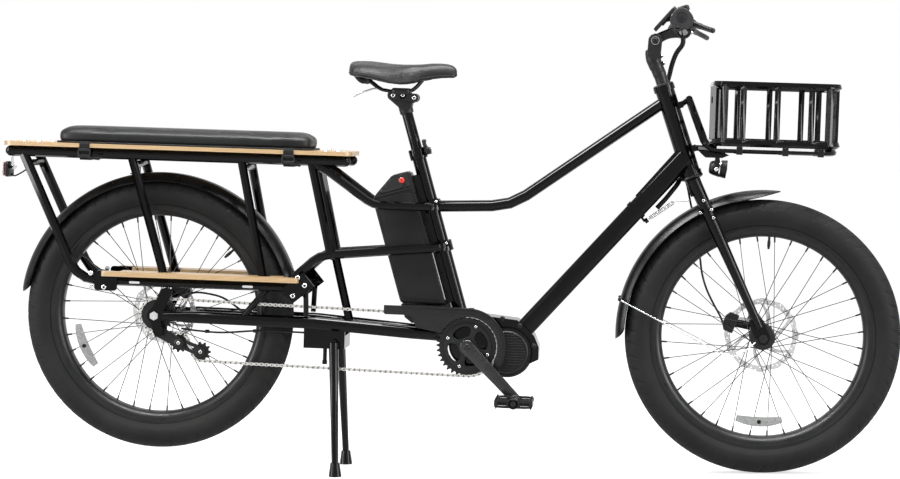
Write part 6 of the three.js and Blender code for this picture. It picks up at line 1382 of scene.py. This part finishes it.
def brake_lever(name, side):
    y = side * 176
    clamp = knob([(15, y - 13), (17.4, y - 12), (17.4, y + 12), (15, y + 13)], BAR_CENTRE, 36)
    body = tube(
        lever_line(side, ((12, 168), (24, 160), (31, 146), (33, 128)), 5),
        [11, 11.5, 12, 12, 11.5, 11.5, 11, 10.5, 10, 10, 9.6, 9.2, 8.6, 8, 7, 5.2],
    )
    cockpit_piece(f"{name}_perch", merge(clamp, body), MOULDED, sharp=50)
    blade = tube(
        lever_line(side, (
            (30, 171), (36, 186), (43, 204), (52, 220), (63, 240), (70, 256), (73, 264), (75, 269),
        ), 4),
        [8.0] * 4 + [7.4] * 6 + [6.4] * 12 + [6.2] * 6 + [4.6], 16,
    )
    eye = tube([on_lever(30, y, -4.8), on_lever(30, y, 4.8)], 7.2, 24)
    cockpit_piece(f"{name}_blade", merge(blade, eye), MOULDED, name, name, slot="satin_black", sharp=50)
    screw = tube([on_lever(30, y, 4.6), on_lever(30, y, 7.4)], 3.6, 16)
    cockpit_piece(f"{name}_screw", screw, SILVER, name)


brake_lever("brake_lever_right", -1)
brake_lever("brake_lever_left", 1)


def pod(reach, lift, half_reach, half_lift, sections):
    """A round housing beside the bar through (y, share of its size) sections."""
    return loft([
        [on_lever(reach + a * size, y, lift + b * size) for a, b in oval(half_reach, half_lift, 24, 1)]
        for y, size in sections
    ])


def controls():
    """Gear pod on the right, keypad on the left, remote, and the tilted display over the clamp."""
    shifter = merge(
        pod(8, -9, 13, 12, ((-135, 0.8), (-137, 1.0), (-156, 1.0), (-162, 0.85), (-165, 0.55))),
        tube([on_lever(10, -148, -16), on_lever(2, -152, -24), on_lever(-6, -158, -29)], [5.5, 5, 6.5], 14),
        tube([on_lever(20, -144, -14), on_lever(27, -150, -18)], [4.5, 4.8], 14),
        pod(-2, 3, 15, 17, ((126, 0.85), (129, 1.0), (148, 1.0), (151, 0.85))),
    )
    cockpit_piece("gear_pod", shifter, MOULDED, sharp=50)

    def panel(half_x, half_y, corner, low, high, bevel):
        part = plate(rounded(-half_x, half_x, -half_y, half_y, corner), low, high, bevel=bevel, axis="Z")
        return shifted(turned(part, math.radians(-30)), 52, 0, 783)

    case = merge(panel(37, 31, 7, -4.6, 3.8, 1.4), panel(16, 13, 5, -8, -4, 0.8))
    cockpit_piece("display_case", case, MOULDED, replaces="display")
    remote = merge(
        lathe([(12, -128), (15.6, -128), (15.6, -114), (12, -114)], 32, (86.4, 761.5)),
        tube([(92, -121, 772), (97, -121, 782)], [7, 6], 18),
        loft([
            [(97 + x, -121 + y, z) for x, y in oval(half_x, half_y, 24, 0.5)]
            for half_x, half_y, z in ((12, 12, 780), (15, 15, 783), (15, 15, 792), (11, 12, 795))
        ]),
    )
    cockpit_piece("bar_remote", remote, MOULDED, sharp=45)
    cockpit_piece("display_glass", panel(32, 26.5, 4, 3.6, 4.5, 0.3), GLASS)
    hooks = on_sides(lambda side: merge(
        tube(curve_through([
            (85, side * 27, 757.5), (78, side * 27, 766), (66, side * 24, 777), (56, side * 14, 779),
        ], 5), 4.2, 14),
        lathe([
            (15.7, side * 27 - 5), (18.6, side * 27 - 5), (18.6, side * 27 + 5), (15.7, side * 27 + 5),
        ], 36, (85, 743)),
    ))
    cockpit_piece("display_mount", hooks, MOULDED)


controls()


# Lamps
def headlamp():
    """A short cup lamp that hangs from the carrier by a forked bracket."""
    centre = Vector((632.5, 0, 731))
    ahead = Vector((math.cos(math.radians(-6)), 0, math.sin(math.radians(-6))))

    def along(points):
        return tube([centre + ahead * d for d, _ in points], [r for _, r in points], 36)

    cup = along([
        (-21.5, 8), (-20.5, 12), (-17, 15.5), (-9, 18), (0, 19.6), (3, 21.6), (5, 20.2), (9, 20.6),
        (17, 21.8),
        (20.5, 21.8), (21.5, 20.4), (20.5, 18.8), (17.5, 18.4),
    ])
    add_piece("headlamp_cup", cup, MOULDED, "frame", "headlight", sharp=35)
    lens = along([(17.6, 18.6), (19.4, 18.2), (20.6, 13), (21.2, 5), (21.3, 0.5)])
    add_piece("headlamp_lens", lens, LENS, "frame")
    ring = along([(2.0, 20.4), (2.0, 22.1), (4.6, 22.1), (4.6, 20.4)])
    add_piece("headlamp_ring", ring, SILVER, "frame", sharp=25)
    arms = on_sides(lambda side: loft([
        [(x - 5, side * 20.6, z), (x + 5, side * 20.6, z), (x + 5, side * 22.4, z), (x - 5, side * 22.4, z)]
        for x, z in ((628, 722), (628, 735), (630, 752), (631, 762))
    ]))
    bracket = merge(arms, box(625, 637, -22.4, 22.4, 760.5, 763), box(627, 635, -5, 5, 762, 771.5))
    add_piece("headlamp_bracket", bracket, SATIN, "frame", bevel=0.6)
    bolts = on_sides(lambda side: bolt(628, 729, side * 22.4, side * 27, 5))
    add_piece("headlamp_bolts", merge(bolts, top_bolt(631, 0, 760, -5, 4.6)), SILVER, "frame")


headlamp()


def tail_lamp():
    def panel(half_y, half_z, corner, low, high, bevel, turn, x):
        part = plate(rounded(-half_y, half_y, -half_z, half_z, corner), low, high, bevel=bevel)
        return shifted(turned(part, math.radians(turn), "Z"), x, 0, 672)

    add_piece("tail_lamp_case", panel(29, 19, 8, -4, 4, 1.4, -90, -1101), MOULDED, "frame", "rear_light")
    add_piece("tail_lamp_lens", panel(27, 17, 7, 3.5, 8.4, 2, 90, -1103.6), TAIL, "frame")
    arm = merge(
        box(-1096, -1093.4, -11, 11, 676, 706), box(-1096, -1080, -11, 11, 704, 706.6),
        box(-1097, -1088, -14, 14, 672, 681),
    )
    add_piece("tail_lamp_bracket", arm, SILVER, "frame", bevel=0.5)
    studs = on_sides(lambda side: bolt(-1092, 677, side * 14, side * 18.6, 4.2))
    add_piece("tail_lamp_bolts", studs, DARK_STEEL, "frame")


tail_lamp()


# Mudguards: rolled channels with a taper at the loose end, wire stays and their bolts
def guard_part(radius, first, last, taper_first, taper_last, steps=90):
    half, drop, wall = 42.0, 20.0, 2.2
    section = [(u * half, drop * abs(u) ** 3.2) for u in [lerp(-1, 1, k / 24) for k in range(25)]]
    rings = []
    for i in range(steps + 1):
        share = i / steps
        turn = math.radians(lerp(first, last, share))
        width = 1.0
        for taper, away in ((taper_first, share), (taper_last, 1 - share)):
            if taper and away < taper:
                width = min(width, math.sqrt(max(1 - (1 - away / taper) ** 2, 0.02)))
        outer = [(y * width, radius - fall * width ** 2) for y, fall in section]
        inner = [(y * width * 0.955, radius - wall - fall * width ** 2) for y, fall in reversed(section)]
        rings.append([(r * math.cos(turn), y, r * math.sin(turn)) for y, r in outer + inner])
    return loft(rings)


def guards():
    rear = guard_part(347.0, 14, 173, 0.0, 0.06)
    front = guard_part(353.0, 85, 183, 0.17, 0.05)
    add_piece("rear_guard_blade", rear, GUARD, "frame", "rear_mudguard", at=REAR_AXLE, sharp=60)
    add_piece("front_guard_blade", front, GUARD, "fork", "front_mudguard", at=FRONT_AXLE, sharp=60)
    wires = on_sides(lambda side: tube(bent([
        (739, side * 57, 323), (700, side * 55, 288), (672, side * 53, 281), (412, side * 44, 407),
        (404, side * 41, 411),
    ], [8, 30, 20, 6, 6]), 1.6, 12))
    add_piece("front_guard_wires", wires, SILVER, "fork")
    ends = on_sides(lambda side: merge(
        knob([(4.6, side * 58), (4.6, side * 60.5), (2.6, side * 61.2)], (739, 323), 16),
        knob([(4.2, side * 41.4), (4.2, side * 45.2), (2.4, side * 45.8)], (408, 409), 16),
    ))
    add_piece("front_guard_wire_ends", ends, MOULDED, "fork")
    tab = merge(box(-4, 20, -9, 9, 0, 3), box(-4, -1, -9, 9, -14, 3))
    add_piece("front_guard_tab", tab, SATIN, "fork", at=(576, 688), bevel=0.6)
    tab = merge(box(-8, 8, -10, 10, 0, 26), box(-14, 14, -13, 13, -2.4, 0.4))
    add_piece("rear_guard_tab_top", tab, SATIN, "frame", at=(-783, 671.6), bevel=0.6)
    tab = merge(box(-30, 2, -10, 10, -1.6, 1.6), box(-3, 3, -14, 14, -14, 12))
    add_piece("rear_guard_tab_low", turned(tab, math.radians(-68)), SATIN, "frame", at=(-366, 414))


guards()


# Hoses and cables that follow the fork and the stays
def front_hose():
    crown = (595, 66, 540)
    line = curve_through([
        (548, 48, 716), (560, 56, 690), (572, 62, 640), (585, 65, 590), crown, (600, 67, 505), (606, 67, 470),
        (618, 66, 434), (636, 65, 399), (652, 64, 372), (662, 62, 350),
    ])
    hose = add_piece("front_brake_hose", tube(line, 2.6, 14), CABLE, "fork")
    bend_between(hose, "frame", "fork", line[0], crown)


def rear_lines():
    """The gear cable under the right stay with its clips, and the rear brake's hose inside the left one."""
    gear = tube(curve_through([
        (-652, -58, 300), (-616, -58, 296.3), (-552, -58, 293.8), (-466, -55, 301), (-398, -50, 301),
        (-340, -44, 300),
        (-253, -40, 298.7),
    ]), 2.4, 14)
    hose = tube(curve_through([
        (-660, 46, 372), (-640, 50, 380), (-610, 50, 378.7), (-572, 50, 370.2), (-536, 45, 349.6),
        (-500, 40, 324),
        (-470, 38, 308), (-430, 38, 300),
    ]), 2.6, 14)
    clips = [tube([(x - 5, -57, z), (x + 5, -57, z + 0.4)], 4.4, 14) for x, z in ((-588, 295), (-470, 300.6))]
    add_piece("rear_lines", merge(gear, hose, *clips), CABLE, "frame")


front_hose()
rear_lines()


# Seat: post head with its clamp, rails and rod lever; lugs and quick release on the seat tube
def seat_parts():
    post = upright([(13.0, 0), (13.6, 1.5), (13.6, 246), (13.0, 248)], 0, 342)
    add_piece("seatpost_tube", post, BLACK, "seat", "seatpost", space=SEAT)
    neck = upright([(14, 0), (16.4, 1.5), (17, 8), (17, 22), (14, 24)], 0, 580)
    add_piece("seatpost_neck", neck, SATIN, "seat", space=SEAT)

    def jaws(side):
        low, high = sorted((side * 17.8, side * 23.5))
        return merge(
            link_shape(((-155.3, 881.7), (-131.7, 882.4)), (13.5, 9.5), low, high, bevel=1.2),
            link_shape(((-131.7, 879.4), (-104.3, 877.2)), (8.5, 10.5), low, high, bevel=1.2),
        )

    head = merge(
        link_shape(((-157, 882), (-126, 862)), (13, 17), -18, 18, bevel=1.5), on_sides(jaws),
        link_shape(((-128, 866), (-104.3, 877.2)), (12, 9.5), -16, 16, bevel=1.2),
        loft([
            [(-137 + x, y, z) for x, y in oval(half_x, half_y, 32, 0.4)]
            for half_x, half_y, z in ((22, 27, 885), (24, 29, 888), (24, 29, 896), (20, 27, 900))
        ]),
    )
    add_piece("seatpost_head", head, SATIN, "seat", sharp=45)
    pins = on_sides(lambda side: merge(*[
        bolt(x, z, side * 23.0, side * 25.4, radius)
        for x, z, radius in ((-155.3, 881.7, 5.4), (-131.7, 882.4, 4.4), (-104.3, 877.2, 4.8))
    ]))
    add_piece("seatpost_bolts", pins, SILVER, "seat")
    rails = on_sides(lambda side: tube(curve_through([
        (-238, side * 33, 930), (-226, side * 31, 920), (-211, side * 27, 912), (-196, side * 24, 901),
        (-180, side * 22.6, 893.6), (-158, side * 22, 891.5), (-135, side * 22, 891.2),
        (-116, side * 21, 893.4),
        (-102, side * 18, 903), (-90, side * 15, 917), (-80, side * 12, 929), (-66, side * 10, 935),
    ], 5), 3.6, 14))
    add_piece("saddle_rails", rails, DARK_STEEL, "seat")
    rod = tube(curve_through([
        (-140, -10, 889), (-170, -13, 895), (-199, -14, 896.8), (-220, -14, 891), (-240, -14, 883),
        (-255, -14, 876.4),
    ], 5), [2.2] * 20 + [2.4, 2.8, 3.2, 3.4, 3.4, 2.8], 12)
    add_piece("seat_rod_lever", rod, BRUSHED, "seat", slot="satin_black")


seat_parts()

LEVER_PIN = (27, 480)


def seat_tube_trim():
    lugs = [upright([(17.3, -2), (21.2, -0.8), (21.6, 2), (21.6, 22), (21.0, 24.6), (15.4, 25.6)], 0, 468)]
    screws = []
    for x, z in ((1, 349), (-1, 245)):
        for side in SIDES:
            boss = [(12.5, side * 12), (12.5, side * 21), (11.5, side * 24.5), (8, side * 26)]
            lugs.append(knob(boss, (x, z), 36))
            screws.append(bolt(x, z, side * 25.4, side * 28.4, 5.2))
            screws.append(bolt(x + 13, z + 8, side * 20.4, side * 23.0, 3.6))
        lugs.append(knob([(7.5, -21), (8.5, -20), (8.5, 20), (7.5, 21)], (x + 13, z + 8), 24))
    add_piece("seat_tube_lugs", merge(*lugs), BLACK, "frame", space=SEAT)
    add_piece("seat_tube_screws", merge(*screws), SILVER, "frame", space=SEAT)
    lever = tube(curve_through([
        (27, -17.5, 480), (25.5, -17.5, 488), (23, -17.5, 495), (23, -17.5, 502), (25, -17.5, 510),
    ], 5), [6.4] * 5 + [4.8] * 11 + [5.2, 5.6, 5.6, 4.8, 3.0], 18)
    cam = knob([(7.2, -11.4), (8.2, -12.6), (8.2, -24), (7, -25.2)], LEVER_PIN, 30)
    pin = knob([(3, -12), (3, 10.4)], LEVER_PIN, 20)
    blade = merge(lever, cam, pin)
    add_piece("clamp_lever_blade", blade, SATIN, "clamp_lever", "seat_clamp_lever", space=SEAT)
    nut = knob([(5.6, 10.8), (6.4, 11.6), (6.4, 14.8), (4.4, 16)], LEVER_PIN, 24)
    add_piece("clamp_nut", nut, SILVER, "frame", space=SEAT)


seat_tube_trim()


# Battery: moulded case with a seam, side panel, release button, lock and dock
def battery():
    def fit(name, part, material, body="battery", replaces=None, sharp=38):
        add_piece("battery_" + name, part, material, body, replaces, space=SEAT, sharp=sharp)

    case = plate([
        (-26.4, 112), (-26.4, 432), (-28, 440), (-34, 445), (-44, 446), (-66, 446), (-74, 444), (-80, 440),
        (-118, 414),
        (-128, 405), (-132, 394), (-132, 152), (-131, 145), (-126, 140), (-40, 113),
    ], -40.6, 40.6, bevel=5.0)
    fit("case", case, BATTERY, replaces="battery_pack", sharp=30)
    panel = plate([
        (-36, 126), (-36, 392), (-60, 398), (-112, 398), (-122, 388), (-122, 160), (-116, 150), (-44, 126),
    ], -42.6, -40, bevel=1.2)
    fit("panels", both_sides(panel), BATTERY)
    seam = plate([(-30, 404), (-126, 404), (-126, 406.4), (-30, 406.4)], -42.4, -40, bevel=0.4)
    crown = plate([
        (-33, 411), (-33, 436), (-40, 441), (-66, 441), (-76, 437), (-108, 415), (-106, 411),
    ], -42.8, -40, bevel=1.2)
    fit("trim", merge(both_sides(seam), both_sides(crown)), GLASS)
    button = (-51, 428)
    fit("button_ring", knob([(9.4, -42), (9.4, -43.4), (8.0, -43.8)], button), DARK_STEEL)
    cap = knob([(7.0, -41), (7.0, -45.0), (6.2, -45.7), (3, -45.9)], button)
    fit("button_cap", cap, ORANGE, "battery_button", "battery_button")
    lock = knob([(6.6, -42), (6.6, -43.6), (5.4, -44), (5.0, -43.2), (1.6, -43.2)], (-49, 414), 28)
    fit("lock", lock, DARK_STEEL)
    cradle = plate([
        (-131.4, 138.6), (-131, 106), (-118, 88), (-19, 66), (-19, 110), (-40, 110.6),
    ], -40, 40, bevel=2.0)
    fit("dock_foot", merge(cradle, box(-26, -16, -15, 15, 111, 432)), BATTERY, "frame")
    rail = plate([(-25.8, 122), (-25.8, 262), (-24.2, 262), (-24.2, 122)], -35, -33)
    fit("dock_rails", both_sides(rail), BRUSHED, "frame")


battery()


# Hardware: plate bolts, board and deck bolts, lamp wire, carrier clamps and fork eyelets
def hardware():
    def fit(name, material, places, make, body="frame", **more):
        """One piece of what make(place, side) gives on both sides of each place."""
        parts = [make(place, side) for place in places for side in SIDES]
        add_piece(name, merge(*parts), material, body, **more)

    fit("plate_bolts", SILVER, (
        (-871, 429), (-870, 396), (-838, 396), (-365.6, 436), (-348, 418), (-376, 392),
    ), lambda at, side: bolt(*at, side * 89, side * 94.5, 6.0))
    rail_places = (-764, -487)
    fit("board_bolts", SILVER, rail_places, lambda x, side: top_bolt(x, side * 78, 426.4, 4.4, 5.4))
    fit("rail_slots", SILVER, rail_places, lambda x, side: plate(
        rounded(x - 13, x + 13, 407, 412.6, 2.6), side * 88.2 - 0.4, side * 88.2 + 0.4,
    ))
    deck_places = (-1046, -1010, -560, -310, -279)
    fit("deck_bolts", SILVER, deck_places, lambda x, side: top_bolt(x, side * 71, 742.3, 3.4, 5.2))
    fit("basket_clamps", MOULDED, (679, 787, 870), lambda x, side: box(
        x - 7, x + 7, side * 80 - 9.5, side * 80 + 9.5, 766.5, 786,
    ), bevel=0.6)
    gusset = plate([(584, 772), (640, 772), (656, 764), (640, 757), (600, 757)], -66, -62, bevel=0.6)
    add_piece("carrier_gussets", both_sides(gusset), BLACK, "frame")
    eyelets = ((599, 655), (592, 626), (619, 634), (624, 615))
    fit("fork_eyelets", BLACK, eyelets, lambda at, side: knob(
        [(5.6, side * 60), (5.6, side * 78), (4.6, side * 79)], at, 22,
    ), "fork")
    fit("fork_eyelet_bolts", SILVER, eyelets, lambda at, side: bolt(*at, side * 78, side * 80.6, 3.6), "fork")
    wire = tube(curve_through([
        (-1098, 8, 662), (-1092, 10, 655), (-1080, 14, 660), (-1062, 30, 674), (-1046, 50, 690),
        (-1030, 62, 703),
    ]), 1.8, 10)
    add_piece("lamp_wire", wire, CABLE, "frame")
    peg = tube([(-302, -30, 268), (-302, -30, 232)], 5.0, 18)
    peg = merge(peg, tube([(-302, -30, 233), (-302, -30, 224)], [6.4, 6.0], 18))
    add_piece("stand_stop_peg", peg, BLACK, "frame")
    stand = ((-316, 286), (-340, 283))
    fit("stand_block_bolts", SILVER, stand, lambda at, side: bolt(*at, side * 45.5, side * 49.5, 5.6))


hardware()

# Cable loom: one wrapped bundle from the bar to the down tube, in two lengths
LOOM_RADIUS = 6.0


def under_down_tube(share):
    foot, head = Vector((185, 0, 332)), on_steering(0, 0, 452)
    run = head - foot
    up = Vector((-run.z, 0, run.x)).normalized()
    return foot + run * share - up * (28.3 + LOOM_RADIUS) + Vector((0, 12, 0))


def even_steps(points, step):
    """The same line with a point every step."""
    places, left = [points[0]], step
    for a, b in zip(points, points[1:]):
        length = (b - a).length
        while left <= length:
            places.append(a.lerp(b, left / length))
            left += step
        left -= length
    places.append(points[-1])
    return places


def loom_length(name, points, bodies, start, end, replaces=None):
    line = even_steps(points, 1.5)
    radii = [LOOM_RADIUS - 0.45 * (k % 4 == 0) for k in range(len(line))]
    piece = add_piece(name, tube(line, radii, 16), CABLE, bodies[0], replaces)
    bend_between(piece, *bodies, start, end)


def cable_loom():
    leave = on_steering(85, 12, 742) + Vector((0, 0, -12))
    middle = on_steering(6, 38, 628)
    upper = [leave, (537, 15, 1026), (523, 21, 1004), (514, 28, 978), (508, 34, 950), middle]
    loom_length("loom_upper", curve_through(upper, 8), ("handlebar", "fork"), leave, middle, "cable_loom")
    lower = [
        middle, on_steering(1, 38, 600), on_steering(0, 38, 452), on_steering(-22, 38, 412),
        on_steering(-38, 12, 395), under_down_tube(0.81), under_down_tube(0.755),
    ]
    loom_length(
        "loom_lower", bent(lower, [10, 20, 20, 20, 20, 20, 10]), ("fork", "frame"),
        on_steering(0, 38, 620), on_steering(0, 38, 470),
    )


cable_loom()

# Floor, backdrop and light
FLOOR_REACH = 30.0
FLOOR_GLOW = 0.62
WORLD_LIGHT = 0.5


def highest(tree, first, second):
    made = node(tree, "ShaderNodeMath", operation="MAXIMUM")
    tree.links.new(first, made.inputs[0])
    tree.links.new(second, made.inputs[1])
    return made.outputs["Value"]


def pale_floor():
    mesh = bpy.data.meshes.new("floor")
    corners = [(x * FLOOR_REACH, y * FLOOR_REACH, 0) for x, y in ((-1, -1), (1, -1), (1, 1), (-1, 1))]
    mesh.from_pydata(corners, [], [(0, 1, 2, 3)])
    floor = bpy.data.objects.new("floor", mesh)
    bpy.context.scene.collection.objects.link(floor)
    material, tree, shader = new_material("floor_pale")
    set_inputs(
        shader, Base_Color=(0.82, 0.82, 0.82, 1), Roughness=0.9, Specular_IOR_Level=0.0,
        Emission_Color=(1, 1, 1, 1),
    )
    path = node(tree, "ShaderNodeLightPath")
    seen = highest(tree, path.outputs["Is Camera Ray"], path.outputs["Is Glossy Ray"])
    lift = node(tree, "ShaderNodeMath", operation="MULTIPLY")
    lift.inputs[1].default_value = FLOOR_GLOW
    tree.links.new(seen, lift.inputs[0])
    tree.links.new(lift.outputs["Value"], shader.inputs["Emission Strength"])
    mesh.materials.append(material)


def white_world():
    world = bpy.data.worlds.new("studio")
    bpy.context.scene.world = world
    world.use_nodes = True
    tree = world.node_tree
    tree.nodes.clear()
    out = node(tree, "ShaderNodeOutputWorld")
    path = node(tree, "ShaderNodeLightPath").outputs
    seen = highest(tree, path["Is Glossy Ray"], path["Is Transmission Ray"])
    seen = highest(tree, path["Is Camera Ray"], seen)
    sky = node(tree, "ShaderNodeBackground", Color=(1, 1, 1, 1))
    tree.links.new(spread(tree, seen, WORLD_LIGHT, 1.0, 0.0, 1.0), sky.inputs["Strength"])
    tree.links.new(sky.outputs["Background"], out.inputs["Surface"])


def lamps():
    """Plain light from strips and boxes; the gloss lamps show in reflections alone."""
    for name, place, target, size, power in (
        ("top_strip", (0.1, -0.9, 2.9), (0, 0, 0.6), (3.2, 0.18), 46),
        ("back_strip", (0.1, 1.3, 2.6), (0, 0, 0.6), (3.2, 0.18), 22),
        ("left_box", (-2.6, -2.9, 1.5), (-0.4, 0, 0.6), (0.2, 2.2), 24),
        ("right_box", (2.9, -2.6, 1.5), (0.4, 0, 0.6), (0.2, 2.2), 24),
        ("gloss_top", (0.1, -0.75, 2.7), (0, 0, 0.6), (3.6, 0.6), 300),
        ("gloss_left", (-3.0, -1.3, 1.0), (0, 0, 0.6), (0.7, 2.0), 90),
        ("gloss_right", (3.0, -1.3, 1.0), (0, 0, 0.6), (0.7, 2.0), 90),
    ):
        data = bpy.data.lights.new(name, "AREA")
        data.shape = "RECTANGLE"
        data.size, data.size_y = size
        data.energy = power
        lamp = bpy.data.objects.new(name, data)
        lamp.location = place
        lamp.rotation_euler = (Vector(target) - Vector(place)).to_track_quat("-Z", "Y").to_euler()
        lamp.visible_diffuse = "gloss" not in name
        bpy.context.scene.collection.objects.link(lamp)


pale_floor()
white_world()
lamps()
bpy.context.scene.view_settings.view_transform = "Standard"
